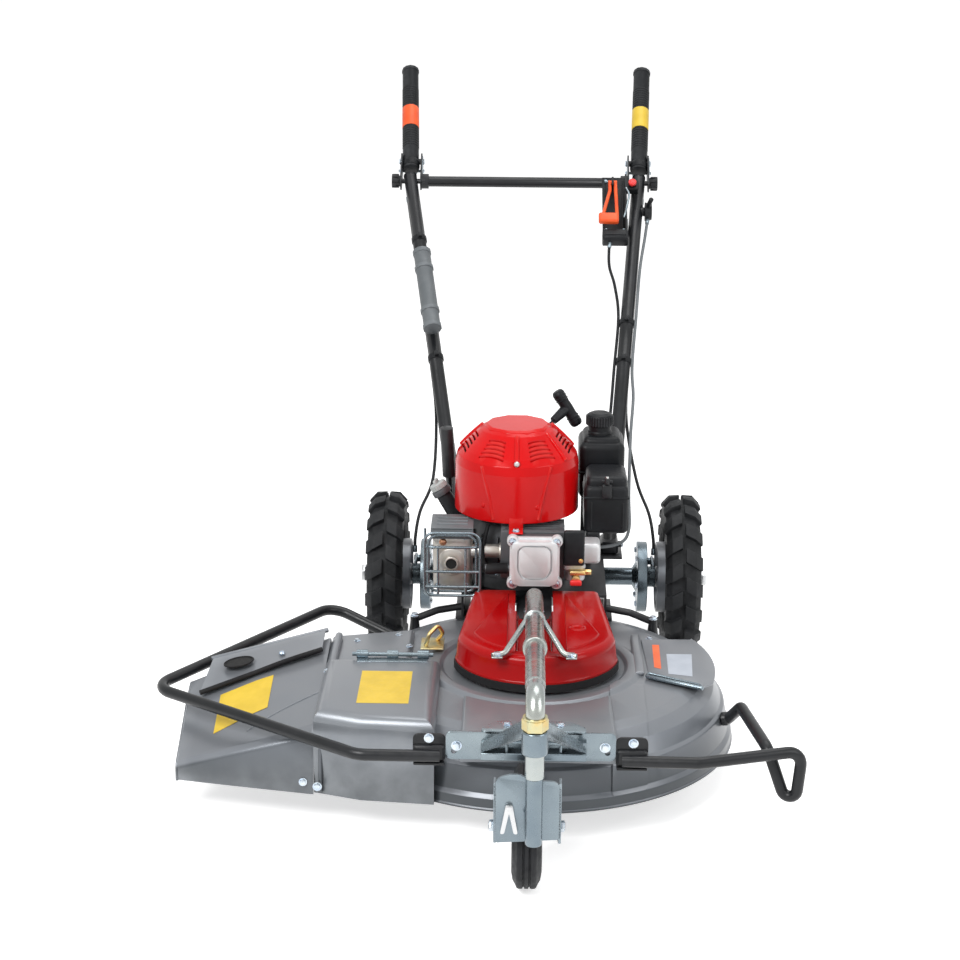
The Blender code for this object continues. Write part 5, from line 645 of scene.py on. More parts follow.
def makeDeck():
    y, rim, out, wall = deckSet["y"], deckSet["rim"], deckSet["outletX"], deckSet["wall"]
    pan = lathe(panProfile(), at=(0, y, 0), steps=deckSet["steps"])
    raised = lathe(panProfile(deckSet["stepRise"]), at=(0, y, 0), steps=deckSet["steps"])
    raised = combined(raised, [block((0.120, -0.83, rim + 0.02), (0.1745, -0.548, 0.2), 0.004)], "INTERSECT")
    ductLine = [(out, -0.731), (-0.262, -0.757), (-0.150, -0.769), (-0.150, -0.505), (out, -0.505)]
    wingLine = [(out, -0.520), (-0.200, -0.520), (-0.200, -0.340), (out, -0.376)]
    arc = [(0.181 * math.sin(a), y - 0.181 * math.cos(a)) for a in (-0.65 + 0.1375 * k for k in range(11))]
    seatLine = [
        (0.125, -0.7985), *[(min(max(x, -0.1098), 0.1248), v) for x, v in reversed(arc)], (-0.110, -0.7985)]
    forms = [
        pressedForm(ductLine, rim, deckSet["ductTop"], 0.020),
        pressedForm(wingLine, rim, deckSet["wingTop"], 0.010),
        pressedForm(seatLine, 0.134, deckSet["seatTop"], 0.006),
    ]
    shell = fused(pan, raised, *forms)
    room = turned([
        (0, 0.1572), (0.249, 0.1542), (0.289, 0.1352), (0.301, 0.1130), (0.313, 0.0650), (0.3202, 0.0625),
        (0.3202, 0.030), (0, 0.030)], 0.004, at=(0, y, 0), steps=96)
    rooms = [
        pressedForm(ductLine, 0.030, deckSet["ductTop"], 0.020, wall),
        pressedForm(wingLine, 0.030, deckSet["wingTop"], 0.010, wall),
        block((out - 0.02, -0.700, 0.030), (out + 0.05, -0.400, 0.150)),
    ]
    shell = carved(shell, fused(room, *rooms))
    bearing = lathe([
        (0.0, 0.156), (0.052, 0.156), (0.048, 0.150), (0.031, 0.146), (0.030, 0.118), (0.026, 0.098),
        (0.0133, 0.092), (0.0, 0.092)], at=(0, y, 0))
    strap = block((0.1625, -0.510, 0.1585), (0.1780, -0.338, 0.1665), 0.0035)
    dress("deck_pan", [shell, bearing, strap], "deckEnamel", "deck_housing", sharp=30)
    # Seam flange between the duct and the chute, thinner towards its foot
    seam = smoothPath([
        (-0.323, -0.392, 0.1765), (-0.3235, -0.470, 0.1755), (-0.324, -0.600, 0.1660),
        (-0.3245, -0.690, 0.1590), (-0.325, -0.7235, 0.146), (-0.325, -0.7355, 0.100),
        (-0.325, -0.7400, 0.053)])
    least, taper, taperFrom = deckSet["seamFoot"], deckSet["seamTaper"], deckSet["taperFrom"]
    sizes = [max(least, deckSet["seam"] - taper * max(k - taperFrom, 0)) for k in range(len(seam))]
    trim("seam_flange", [pipe(seam, sizes, 14)], "deckEnamel", "deck_housing")
    bolts = [
        ((-0.3290, -0.7465, 0.066), (0, -1, 0.05), 0.0055),
        ((-0.3300, -0.5472, 0.1752), (-0.3, 0, 1), 0.0045), ((0.1935, -0.3450, 0.1600), (0, 0, 1), 0.0045)]
    bolts += [((x, v, deckSet["lug"]), (0, 0, 1), 0.0045)
              for x, v in ((-0.292, -0.402), (-0.225, -0.372), (-0.205, -0.425))]
    bolted("deck_bolts", bolts, "deck_housing")
    # Hinge rod across the duct with its three eyes
    hinge = deckSet["hinge"]
    rod = bar((-0.292, -0.5085, hinge), (-0.162, -0.5085, hinge), 0.0034, sides=20)
    eye = lathe([(0.0036, -0.009), (0.0072, -0.009), (0.0072, 0.009), (0.0036, 0.009)], axis=xAxis, steps=24)
    eyes = repeated(eye, "zincPlate", 3, start=(-0.276, -0.5085, hinge), step=(0.049, 0, 0))
    foot = block((-0.284, -0.5300, 0.1846), (-0.170, -0.5120, 0.1862), 0.0007)
    trim("duct_hinge", [rod, eyes, foot], "zincPlate", "deck_housing")
    latch = [pipe(roundedPath([
        (-0.178, -0.425, 0.1730), (-0.172, -0.430, 0.196), (-0.158, -0.412, 0.205), (-0.150, -0.404, 0.188),
        (-0.160, -0.398, 0.1735)], 0.008, 4), 0.0034, 12),
        block((-0.186, -0.440, 0.1722), (-0.148, -0.388, 0.1742), 0.0008)]
    trim("duct_latch", latch, "yellowChromate", "deck_housing")
    patch = block((-0.272, -0.700, 0.18505), (-0.192, -0.568, 0.18505 + patchThick), 0.0001, segments=1)
    trim("duct_patch", [patch], "yellowPatch", "deck_housing")


# Chute: a sheet between the outlet and its low mouth, folded at the front and at the back
chuteSet = {
    "innerX": -0.3358, "flatX": -0.340, "bendX": -0.445, "mouthX": -0.5545, "wall": 0.0026, "fold": 0.013,
    "hem": 0.0022, "crease": 0.0015, "patchLift": 0.0009, "span": 12, "parts": 12,
}


def strip(rows, thick):
    bm = bmesh.new()
    made = [[bm.verts.new(point) for point in row] for row in rows]
    for row, following in zip(made, made[1:]):
        for k in range(len(row) - 1):
            bm.faces.new((row[k], following[k], following[k + 1], row[k + 1]))
    shape = shapeFrom(bm)
    if sum(face.normal.z for face in shape.data.polygons) < 0:
        shape.data.flip_normals()
    wall = shape.modifiers.new("wall", "SOLIDIFY")
    wall.thickness, wall.offset, wall.use_even_offset = thick, -1.0, True
    return settle(shape)


def makeChute():
    # Its outline at the outlet, at the bend and at the mouth
    inner, middle, outer = (softProfile(line, chuteSet["fold"], 5) for line in (
        [(-0.738, 0.049), (-0.722, 0.140), (-0.700, 0.149), (-0.452, 0.171), (-0.398, 0.176), (-0.376, 0.150),
         (-0.372, 0.075)],
        [(-0.716, 0.049), (-0.710, 0.106), (-0.700, 0.114), (-0.505, 0.155), (-0.440, 0.163), (-0.420, 0.140),
         (-0.416, 0.082)],
        [(-0.692, 0.049), (-0.692, 0.069), (-0.685, 0.077), (-0.560, 0.129), (-0.512, 0.141), (-0.497, 0.126),
         (-0.494, 0.090)]))
    keys = [(chuteSet["innerX"], inner), (chuteSet["flatX"], inner), (chuteSet["bendX"], middle),
            (chuteSet["mouthX"], outer)]
    rows = []
    for (x0, first), (x1, second) in zip(keys, keys[1:]):
        for share in (0.0, 0.25, 0.5, 0.75):
            x = x0 + (x1 - x0) * share
            rows.append([
                (x, a[0] + (b[0] - a[0]) * share, a[1] + (b[1] - a[1]) * share)
                for a, b in zip(first, second)])
    rows.append([(chuteSet["mouthX"], y, z) for y, z in outer])
    # The long flat span is divided, so that the sheet twists smoothly there
    span, parts = chuteSet["span"], chuteSet["parts"]

    def divided(row):
        start, end = Vector(row[span]), Vector(row[span + 1])
        between = [tuple(start.lerp(end, k / parts)) for k in range(1, parts)]
        return [*row[:span + 1], *between, *row[span + 1:]]

    rows = [divided(row) for row in rows]
    body = strip(rows, chuteSet["wall"])
    # Rolled hem round the mouth, and the crease where the sheet bends down
    hem = pipe([(chuteSet["mouthX"] + chuteSet["hem"], y, z - 0.001) for y, z in outer], chuteSet["hem"], 10)
    fold = []
    for row, y in zip(rows[4:9], (-0.596, -0.611, -0.627, -0.645, -0.666)):
        first, last = Vector(row[span]), Vector(row[span + parts])
        fold.append(first.lerp(last, (y - first.y) / (last.y - first.y)))
    crease = pipe(smoothPath(fold), chuteSet["crease"], 10)
    dress("chute_sheet", [body, hem, crease], "deckEnamel", "discharge_chute", sharp=40)
    # The plain patch follows the sheet over its bend
    across = []
    for row, near, far in zip(rows[7:11], (-0.612, -0.624, -0.638, -0.650),
            (-0.517, -0.530, -0.5435, -0.557)):
        first, last = Vector(row[span]), Vector(row[span + parts])
        reach = last.y - first.y
        across.append([first.lerp(last, (near + (far - near) * k / 8 - first.y) / reach)
                       + Vector((0, 0, chuteSet["patchLift"])) for k in range(9)])
    patch = strip(across, patchThick)
    trim("chute_patch", [patch], "yellowPatch", "discharge_chute")
    bolts = [
        ((-0.352, -0.7352, 0.068), (0.05, -1, 0.15), 0.0050),
        ((-0.4442, -0.4990, 0.1575), (0, -0.35, 1), 0.0042)]
    bolted("chute_bolts", bolts, "discharge_chute")


# Flap over the chute: a sheet with a slight wave on its pin, a rubber lip and a hand hole filled with a sheet
# of painted shade
flapSet = {
    "air": 0.0019, "plate": 0.0025, "wave": 0.0016, "pin": 0.004, "lip": 0.0040, "holeEdge": 0.0016,
    "holeLong": 0.024, "holeWide": 0.0150, "plug": 0.0010,
}


def makeFlap():
    start, end = Vector((-0.345, -0.392, 0.1835)), Vector((-0.520, -0.476, 0.1645))
    lowStart, lowEnd = Vector((-0.345, -0.462, 0.1765)), Vector((-0.532, -0.560, 0.1375))
    up = (end - start).cross(lowStart - start).normalized()
    up = up if up.z > 0 else -up
    rise = up * flapSet["air"]
    along = (end - start).normalized()
    rows = []
    for share in (k / 8 for k in range(9)):
        high, low = start.lerp(end, share), lowStart.lerp(lowEnd, share)
        wave = up * flapSet["wave"] * math.sin(share * math.pi)
        rows.append([high.lerp(low, t) + rise + up * flapSet["plate"] + wave * t
                     for t in (0.02, 0.25, 0.5, 0.75, 0.94, 1.0)])
    plate = strip(rows, flapSet["plate"])
    pin = bar(start + rise - along * 0.004, end + rise + along * 0.004, flapSet["pin"], sides=20, edge=0.0008)
    dress("flap_plate", [plate, pin], "deckEnamel", "chute_flap", sharp=40)
    lip = [lowStart.lerp(lowEnd, share) + rise + up * lift
           for share, lift in ((0.0, 0.001), (0.3, 0.0030), (0.6, 0.0016), (1.0, 0.001))]
    rubber = pipe(smoothPath(lip), flapSet["lip"], 12)
    ahead = up.cross(along).normalized()
    forwards = ahead * (1 if ahead.y > 0 else -1)
    middle = start + along * 0.166 - forwards * 0.040
    middle += rise + up * 0.0036
    long, wide = flapSet["holeLong"], flapSet["holeWide"]
    ring = [middle + along * long * math.cos(a) + ahead * wide * math.sin(a)
            for a in (full * k / 40 for k in range(41))]
    edge = pipe(ring, flapSet["holeEdge"], 10)
    # The hand hole is filled by a thin sheet of painted shade inside its rubber edge
    plug = panel(ring[:-1], flapSet["plug"])
    stud = turned([
        (0, 0.0036), (0.0036, 0.0030), (0.0052, 0.0008), (0.0052, -0.0015), (0, -0.0015)], 0.0006,
        at=start + along * 0.094 - forwards * 0.046 + rise + up * 0.0030, axis=up, steps=24)
    trim("flap_hand_hole", [plug], "hollowShade", "chute_flap")
    trim("flap_stud", [stud], "boltZinc", "chute_flap")
    trim("flap_rubber", [rubber, edge], "softRubber", "chute_flap")


# Hinged cover on the deck's right shoulder, with two plain patches
sideSet = {"height": 0.16055, "plate": 0.0025, "radius": 0.294, "pin": 0.0035, "loop": 0.0024, "fold": 0.0016}


def makeSideCover():
    z = sideSet["height"]
    arc = circle((0, deckSet["y"]), sideSet["radius"], 16, math.radians(-14), math.radians(40))
    outline = [(0.186, -0.524), (0.262, -0.566), *arc, (0.262, -0.350), (0.180, -0.350)]
    plate = sheet(outline, sideSet["plate"], atHeight(z), 0.0008)
    first, second = Vector((0.1808, -0.5226, z + 0.0035)), Vector((0.2672, -0.5704, z + 0.0035))
    pin = bar(first, second, sideSet["pin"], sides=20, edge=0.0006)
    fold = sheet([(0.190, -0.514), (0.258, -0.552), (0.258, -0.546), (0.190, -0.508)], sideSet["fold"],
                 atHeight(z + 0.0020), 0.0005)
    dress("cover_plate", [plate, fold], "deckEnamel", "side_cover", sharp=40)
    bow = [first, first + Vector((0.003, 0.012, 0.001)), second + Vector((-0.003, 0.012, 0.001)), second]
    loop = pipe(roundedPath(bow, 0.004, 4), sideSet["loop"], 10)
    trim("cover_hinge", [pin, loop], "zincPlate", "side_cover")
    narrow = [(0.1955, -0.478), (0.2065, -0.484), (0.2085, -0.377), (0.1970, -0.377)]
    broad = [(0.2170, -0.505), (0.2550, -0.515), (0.2600, -0.418), (0.2185, -0.418)]
    for name, look, line in (("cover_strip", "orangePlastic", narrow), ("cover_patch", "greyPatch", broad)):
        trim(name, [sheet(line, patchThick, atHeight(z + 0.0016))], look, "side_cover")


# Belt cover: two raised panels beside a middle valley, its rubber seal and the cooling gap behind
coverSet = {
    "low": 0.1785, "top": 0.2225, "middle": (0.004, -0.468), "radius": 0.134, "wall": 0.0025, "brow": 0.013,
    "panelRise": 0.0022, "sealLow": 0.1653, "sealAir": 0.0006,
}


def coverOutline(grow=0.0, count=49):
    arc = circle(coverSet["middle"], coverSet["radius"] + grow, count, math.radians(192), math.radians(156))
    return [(-0.108 - grow, -0.286), *arc, (0.116 + grow, -0.286)]


def makeBeltCover():
    low, top, wall, brow = coverSet["low"], coverSet["top"], coverSet["wall"], coverSet["brow"]
    levels = [(low, 0.0), (low + 0.003, 0.0), (low + 0.005, -0.0015), (top - brow, -0.0040)]
    levels += [(top - brow * (1 - math.sin(a)), -0.004 - 0.012 * (1 - math.cos(a)))
               for a in (0.3, 0.6, 0.9, 1.2, 1.5708)]
    shell = lofted([[(x, y, z) for x, y in coverOutline(grow)] for z, grow in levels])
    valley = lofted([[(-half, -0.27, z), (-half, front, z), (half, front, z), (half, -0.27, z)]
                     for z, half, front in ((0.2075, 0.020, -0.556), (0.2095, 0.024, -0.560),
                                            (0.2205, 0.0285, -0.5665), (0.2400, 0.045, -0.588))])
    room = lofted([[(x, y, z) for x, y in coverOutline(grow - wall)] for z, grow in (
        (low - 0.01, 0), (top - brow, -0.004), (top - wall - 0.0005, -0.013))])
    door = block((-0.105, -0.30, low - 0.01), (0.113, -0.27, 0.2190))
    roof = block((-0.027, -0.563, 0.2050), (0.027, -0.284, 0.2150))
    notch = block((-0.0315, -0.3865, 0.19), (0.0315, -0.27, 0.26))
    cover = carved(fused(carved(shell, room, door), roof), valley, notch)
    # Panels pressed up on either side, following the rim
    panels = []
    for side in (-1, 1):
        ring = [(x, y) for x, y in coverOutline(-0.030) if side * (x - 0.004) > 0.048 and y < -0.30]
        ring = ring if side < 0 else ring[::-1]
        line = [(side * 0.047 + 0.004, -0.302), *ring, (side * 0.047 + 0.004, -0.575)]
        panels.append(pressedForm(line, top - 0.004, top + coverSet["panelRise"], 0.003, steps=3))
    dimple = turned([
        (0, 0.0010), (0.006, 0.0010), (0.010, 0.0026), (0.0135, 0.0016), (0.0145, -0.001), (0, -0.001)],
        0.001, 3, at=(0.070, -0.470, top + coverSet["panelRise"]), steps=32)
    # The belt cover takes the darker red copy, which is painted shade
    dress("belt_cover_shell", [cover, *panels, dimple], "redEnamelShaded", "belt_cover", sharp=34)
    seal = [pipe([(x, y, z) for x, y in coverOutline(-0.0015)], 0.0030, 10) for z in (0.1685, 0.1748)]
    ring = [*coverOutline(0.002), *reversed(coverOutline(-0.010))]
    sealLow = coverSet["sealLow"]
    body = sheet(ring, low - sealLow - coverSet["sealAir"], atHeight((low + sealLow) / 2))
    dress("cover_seal_rubber", [body, *seal], "softRubber", "cover_seal", sharp=40)


makeDeck()
makeChute()
makeFlap()
makeSideCover()
makeBeltCover()
print("deck and covers")

# Front plate with its shelf, lip channel and braces; the pole that carries the caster
frontSet = {
    "post": -1.035, "back": -0.7988, "face": -0.8028, "left": -0.131, "right": 0.122, "low": 0.140,
    "high": 0.184, "plate": 0.004, "slot": 0.0042, "brace": 0.0032,
}


def roundedOutline(corners, radius, steps=5):
    made = []
    for k, corner in enumerate(corners):
        here = Vector(corner)
        into, out = Vector(corners[k - 1]) - here, Vector(corners[(k + 1) % len(corners)]) - here
        reach = min(radius, into.length * 0.45, out.length * 0.45)
        first, last = here + into.normalized() * reach, here + out.normalized() * reach
        for step in range(steps + 1):
            share = step / steps
            point = first * (1 - share) ** 2 + here * 2 * share * (1 - share) + last * share ** 2
            made.append((point.x, point.y))
    return made


# The pole rises forwards in a straight line from its foot to the bend over the caster
poleSet = {
    "foot": (-0.372, 0.2425), "run": (-0.663, 0.0945), "bendHigh": 0.337, "bendLow": 0.218, "tube": 0.0135,
    "ring": -0.742, "clamp": -0.548,
}


def poleHeight(y):
    (footY, footZ), (runY, runZ) = poleSet["foot"], poleSet["run"]
    return footZ + (y - footY) * runZ / runY


def makeFrontPlate():
    face, back, post = frontSet["face"], frontSet["back"], frontSet["post"]
    left, right, low, high = frontSet["left"], frontSet["right"], frontSet["low"], frontSet["high"]
    thick = frontSet["plate"]
    outline = roundedOutline([(left, low), (right, low), (right, high), (left, high)], 0.008)
    plate = sheet(outline, thick, acrossY((face + back) / 2), 0.0007)
    for x in (left + 0.012, right - 0.012):
        plate = carved(plate, sheet(circle((x, 0.153), frontSet["slot"], 20), 0.02, acrossY(back)))
    shelf = sheet(roundedOutline([
        (-0.078, face), (0.078, face), (0.078, back + 0.012), (0.055, back + 0.036), (-0.055, back + 0.036),
        (-0.078, back + 0.012)], 0.006), thick, atHeight(high), 0.0008)
    channel = sheet(roundedOutline([
        (face + 0.001, 0.144), (face - 0.014, 0.144), (face - 0.014, 0.156), (face - 0.0105, 0.156),
        (face - 0.0105, 0.148), (face + 0.001, 0.148)], 0.0022, 3), 0.156, acrossX(0), 0.0006)
    brow = block((-0.078, face - 0.010, 0.168), (0.078, face + 0.001, 0.172), 0.0012)
    ribs = [block((x - 0.002, face - 0.0095, 0.147), (x + 0.002, face + 0.001, 0.170), 0.0008)
        for x in (-0.040, 0.040)]
    collar = turned([
        (0.0085, 0.254), (0.0175, 0.254), (0.0185, 0.256), (0.0185, 0.286), (0.0175, 0.288), (0.0085, 0.288)],
        0.0006, at=(0, post, 0), steps=40)
    braces = []
    for side in (-1, 1):
        foot, top = Vector((side * 0.076, face + 0.001, 0.160)), Vector((side * 0.0135, post + 0.010, 0.286))
        braces.append(panel([
            foot - zAxis * 0.007, foot + zAxis * 0.007, top + zAxis * 0.0135, top - zAxis * 0.0135],
            frontSet["brace"], 0.0006))
        braces.append(pipe([foot - zAxis * 0.0058, top - zAxis * 0.0125], 0.0022, 12))
    dress("front_plate_steel", [plate, shelf, channel, brow, *ribs, collar, *braces], "zincPlate",
        "front_plate", sharp=34)
    bolts = [((x, face - 0.0002, 0.162), (0, -1, 0), 0.0062) for x in (-0.115, 0.106)]
    bolts += [((x, back + 0.020, 0.1862), (0, 0, 1), 0.0052) for x in (-0.040, 0.040)]
    bolted("front_plate_bolts", bolts, "front_plate")


def makePole():
    post = frontSet["post"]
    start, rise = Vector((0, *poleSet["foot"])), Vector((0, *poleSet["run"])).normalized()
    whole = roundedPath([start, (0, post, poleSet["bendHigh"]), (0, post, poleSet["bendLow"])], 0.030, 10)
    tube = pipe(whole, poleSet["tube"], 28)
    sleeve = turned([
        (0, -0.002), (0.0143, -0.002), (0.0145, 0.004), (0.0145, 0.608), (0.0138, 0.615), (0, 0.615)], 0.0006,
        at=start, axis=rise, steps=40)
    ringAt, clampAt = ((0, y, poleHeight(y)) for y in (poleSet["ring"], poleSet["clamp"]))
    ring = turned([
        (0.0144, -0.010), (0.0176, -0.010), (0.0185, -0.008), (0.0185, 0.008), (0.0176, 0.010),
        (0.0144, 0.010)], 0.0008, at=ringAt, axis=rise, steps=40)
    foot = block((-0.009, -0.376, 0.2088), (0.009, -0.358, 0.2440), 0.0020)
    base = block((-0.017, -0.384, 0.2088), (0.017, -0.340, 0.2128), 0.0015)
    cap = turned([
        (0, -0.0025), (0.013, -0.0025), (0.0145, 0.0015), (0.0145, 0.010), (0, 0.010)], 0.001, at=start,
        axis=rise, steps=36)
    struts = []
    for side in (-1, 1):
        path = roundedPath([
            (side * 0.010, clampAt[1], clampAt[2] + 0.004), (side * 0.046, -0.592, 0.2272),
            (side * 0.066, -0.600, 0.2262)], 0.014, 5)
        struts.append(pipe(path, 0.0048, 16))
        struts.append(block((side * 0.058 - 0.0085, -0.6065, 0.2236),
            (side * 0.058 + 0.0085, -0.5895, 0.2258), 0.0009))
    clamp = lathe([(0.0146, -0.007), (0.0172, -0.006), (0.0172, 0.006), (0.0146, 0.007)],
                  at=clampAt, axis=rise, steps=36)
    dress("pole_tube", [tube, sleeve, ring, foot, base, cap, clamp, *struts], "zincTube", "front_pole",
        sharp=34)
    hexNut = lathe([
        (0.0137, 0.2885), (0.0170, 0.2885), (0.0187, 0.2900), (0.0187, 0.3048), (0.0170, 0.3065),
        (0.0137, 0.3065)], at=(0, post, 0), steps=6)
    washer = lathe([
        (0.0137, 0.3068), (0.0172, 0.3068), (0.0172, 0.3084), (0.0137, 0.3084)], at=(0, post, 0), steps=36)
    trim("pole_collar", [hexNut, washer], "yellowChromate", "front_pole")
    bolts = [((side * 0.058, -0.598, 0.2262), (0, 0, 1), 0.0062) for side in (-1, 1)]
    bolts += [((side * 0.0135, -0.3615, 0.2128), (0, 0, 1), 0.0034) for side in (-1, 1)]
    bolted("pole_bolts", bolts, "front_pole")


# Caster fork: an angle of bent plate with two cheeks on one stem
forkSet = {
    "left": -0.0565, "right": 0.0385, "wheelY": -0.922, "wheelZ": 0.090, "middle": -0.009, "plate": 0.004,
    "web": -1.022, "hub": 0.0226, "pin": 0.008, "axle": 0.006,
}


def makeFork():
    post, left, right = frontSet["post"], forkSet["left"], forkSet["right"]
    wheel, height, middle = forkSet["wheelY"], forkSet["wheelZ"], forkSet["middle"]
    thick, web, hub = forkSet["plate"], forkSet["web"], forkSet["hub"]
    stem = turned([
        (0, 0.116), (0.0112, 0.116), (0.012, 0.118), (0.012, 0.2165), (0.0112, 0.2177), (0, 0.2177)], 0.0006,
        at=(0, post, 0), steps=36)
    pin = bar((0, post, 0.21), (0, post, 0.286), forkSet["pin"], sides=28, edge=0.0006)
    back = sheet(roundedOutline([
        (left, 0.112), (right, 0.118), (right, 0.198), (right - 0.010, 0.2065), (-0.009, 0.2070),
        (left + 0.040, 0.2160), (left + 0.024, 0.2165), (left + 0.006, 0.2110), (left, 0.198)], 0.006), thick,
        acrossY(web), 0.0008)
    pieces = [stem, pin, back]
    for x in (left + thick / 2, right - thick / 2):
        outline = [(-1.024, 0.112), (-1.024, 0.203), (-1.004, 0.203), (-0.906, 0.110),
                   *circle((wheel, height), 0.019, 14, math.radians(30), math.radians(-170))]
        cheek = sheet(outline, thick, acrossX(x), 0.0008)
        slot = sheet(roundedOutline([
            (-1.006, 0.126), (-0.976, 0.126), (-0.976, 0.132), (-1.006, 0.132)], 0.003), 0.02, acrossX(x))
        pieces.append(carved(cheek, slot))
    bends = [pipe([(x, web + 0.0002, low), (x, web + 0.0002, high)], 0.0022, 12)
             for x, low, high in ((left + 0.0022, 0.114, 0.200), (right - 0.0022, 0.120, 0.196))]
    spacers = [
        lathe([(0.0062, 0), (0.011, 0), (0.011, far - near), (0.0062, far - near)], at=(near, wheel, height),
              axis=xAxis, steps=32)
        for near, far in ((left + 0.003, middle - hub), (middle + hub, right - 0.003))]
    axle = bar((left - 0.008, wheel, height), (right + 0.008, wheel, height), forkSet["axle"], sides=28,
        edge=0.0008)
    dress("fork_steel", [*pieces, *bends, *spacers, axle], "zincPlate", "front_fork", sharp=34)
    nuts = [
        ((left - 0.0002, wheel, height), (-1, 0, 0), 0.0085),
        ((right + 0.0002, wheel, height), (1, 0, 0), 0.0085)]
    bolted("fork_nuts", nuts, "front_fork")


def makeLock():
    legs = roundedOutline([
        (-0.047, 0.128), (-0.0412, 0.128), (-0.0345, 0.160), (-0.0278, 0.128), (-0.022, 0.128),
        (-0.030, 0.172), (-0.039, 0.172)], 0.0028)
    shape = sheet(legs, 0.005, acrossY(-1.0268), 0.0014)
    knob = turned([
        (0, 0.0), (0.0045, 0.0), (0.0045, 0.0018), (0, 0.0026)], 0.0005, at=(-0.0345, -1.0293, 0.1675),
        axis=-yAxis, steps=24)
    dress("lock_spring", [shape, knob], "brightSteel", "swivel_lock", sharp=34)


frontWheelSet = {"nibs": 44, "nibAt": 0.0088, "nibHalf": 0.0036, "spokes": 8}


def makeFrontWheel():
    half = [
        (0.020, 0.022), (0.022, 0.014), (0.050, 0.012), (0.056, 0.018), (0.061, 0.018), (0.066, 0.022),
        (0.077, 0.020), (0.083, 0.0165), (0.0885, 0.0140), (0.090, 0.0115), (0.090, 0.0062), (0.0872, 0.0056),
        (0.0872, 0.0034), (0.090, 0.0028)]
    profile = [
        (0.0066, -0.022), *[(r, -x) for r, x in half], *[(r, x) for r, x in reversed(half)], (0.0066, 0.022)]
    at = (forkSet["middle"], forkSet["wheelY"], forkSet["wheelZ"])
    tyre = turned(profile, 0.0010, at=at, axis=xAxis, steps=112)
    nibAt, half, count = frontWheelSet["nibAt"], frontWheelSet["nibHalf"], frontWheelSet["nibs"]
    nibs = []
    for x in (-nibAt, nibAt):
        nib = block((x - half, 0.0868, -0.0011), (x + half, 0.0894, 0.0011), 0.0004)
        nibs.append(repeated(nib, "tyreRubber", count, start=at, axis=xAxis, turn=full / count))
    dress("front_tyre", [tyre, *nibs], "tyreRubber", "front_wheel", sharp=40)
    rings = [turned([
        (0.0068, 0.0205), (0.0195, 0.0218), (0.0195, 0.0150), (0.0235, 0.0146), (0.0492, 0.0128),
        (0.0492, 0.0118), (0.0068, 0.0118)], 0.0008, at=at, axis=xAxis * side, steps=64) for side in (-1, 1)]
    spokes = []
    for near, far in ((0.0115, 0.0162), (-0.0162, -0.0115)):
        spoke = block((near, 0.0220, -0.0020), (far, 0.0500, 0.0020), 0.0012)
        spokes.append(repeated(spoke, "greyPlastic", frontWheelSet["spokes"], start=at, axis=xAxis,
            turn=full / frontWheelSet["spokes"]))
    trim("front_hub", [*rings, *spokes], "greyPlastic", "front_wheel", sharp=34)


# Side guards: bent round tube on ear brackets beside the front plate
guardSet = {
    "tube": 0.0091, "bracketY": -0.8088, "plate": 0.0040,
    "left": {"edge": -0.1313, "far": -0.180, "low": 0.136, "high": 0.180, "bolt": (-0.156, 0.174),
             "wallAngle": 135, "wallHeight": 0.108},
    "right": {"edge": 0.1223, "far": 0.170, "low": 0.132, "high": 0.178, "bolt": (0.148, 0.170),
              "wallAngle": -15, "wallHeight": 0.105},
}


def onWall(word, out):
    # A point beside the deck's wall where a guard ends, and the way the wall faces there
    angle, height = math.radians(guardSet[word]["wallAngle"]), guardSet[word]["wallHeight"]
    low, high = (0.317, 0.071), (0.309, 0.113)
    share = (height - low[1]) / (high[1] - low[1])
    radius = low[0] + (high[0] - low[0]) * share
    normal = Vector((math.cos(angle) * 0.982, math.sin(angle) * 0.982, 0.187))
    foot = Vector((radius * math.cos(angle), deckSet["y"] + radius * math.sin(angle), height))
    return foot + normal * out, normal


def makeGuards():
    y = guardSet["bracketY"]
    left = roundedPath([
        (-0.140, y - 0.002, 0.148), (-0.262, y - 0.010, 0.152), (-0.606, -0.567, 0.152),
        (-0.352, -0.186, 0.152), onWall("left", 0.034)[0], onWall("left", 0.0003)[0]], 0.040, 9)
    endRight, aimRight = onWall("right", 0.012)
    right = roundedPath([
        (0.132, y - 0.002, 0.144), (0.245, y - 0.014, 0.148), (0.402, -0.781, 0.152), (0.392, -0.779, 0.033),
        (0.352, -0.760, 0.146), (0.326, -0.600, 0.146), endRight], 0.022, 8)
    for word, path in (("left", left), ("right", right)):
        given = guardSet[word]
        edge, far, low, high = given["edge"], given["far"], given["low"], given["high"]
        near, away = min(edge, far), max(edge, far)
        line = roundedOutline([(edge, low), (edge, high), (far, high), (far, low)], 0.009)
        line = line if word == "left" else line[::-1]
        bracket = sheet(line, guardSet["plate"], acrossY(-0.8013), 0.0009)
        body = block((near, -0.8105, low + 0.001), (away - 0.0005, -0.7999, low + 0.028), 0.0055)
        foot = block((near + 0.001, -0.8150, low - 0.0018), (away - 0.001, -0.7993, low + 0.0022), 0.0016)
        pieces = [pipe(path, guardSet["tube"], 24), bracket, body, foot]
        if word == "right":
            # The tube's end pad against the deck's wall
            pad = [(0, -0.006), (0.0105, -0.006), (0.011, -0.0045), (0.011, 0.0045), (0, 0.006)]
            pieces.append(turned(pad, 0.0008, at=onWall("right", 0.0068)[0], axis=aimRight, steps=32))
        dress("guard_" + word, pieces, "blackEnamel", "side_guard_" + word)
        x, z = given["bolt"]
        bolted("guard_bolts_" + word, [((x, -0.8040, z), (0, -1, 0), 0.0058)], "side_guard_" + word)


# Rear wheels: side beads on the solid tyres, dished rims with bolts and valve, drum plates with bolts
wheelSet = {
    "track": 0.2655, "height": 0.150, "rimBolts": 5, "rimCircle": 0.034, "drumBolts": 6, "drumCircle": 0.050,
    "drumFace": 0.1872,
}


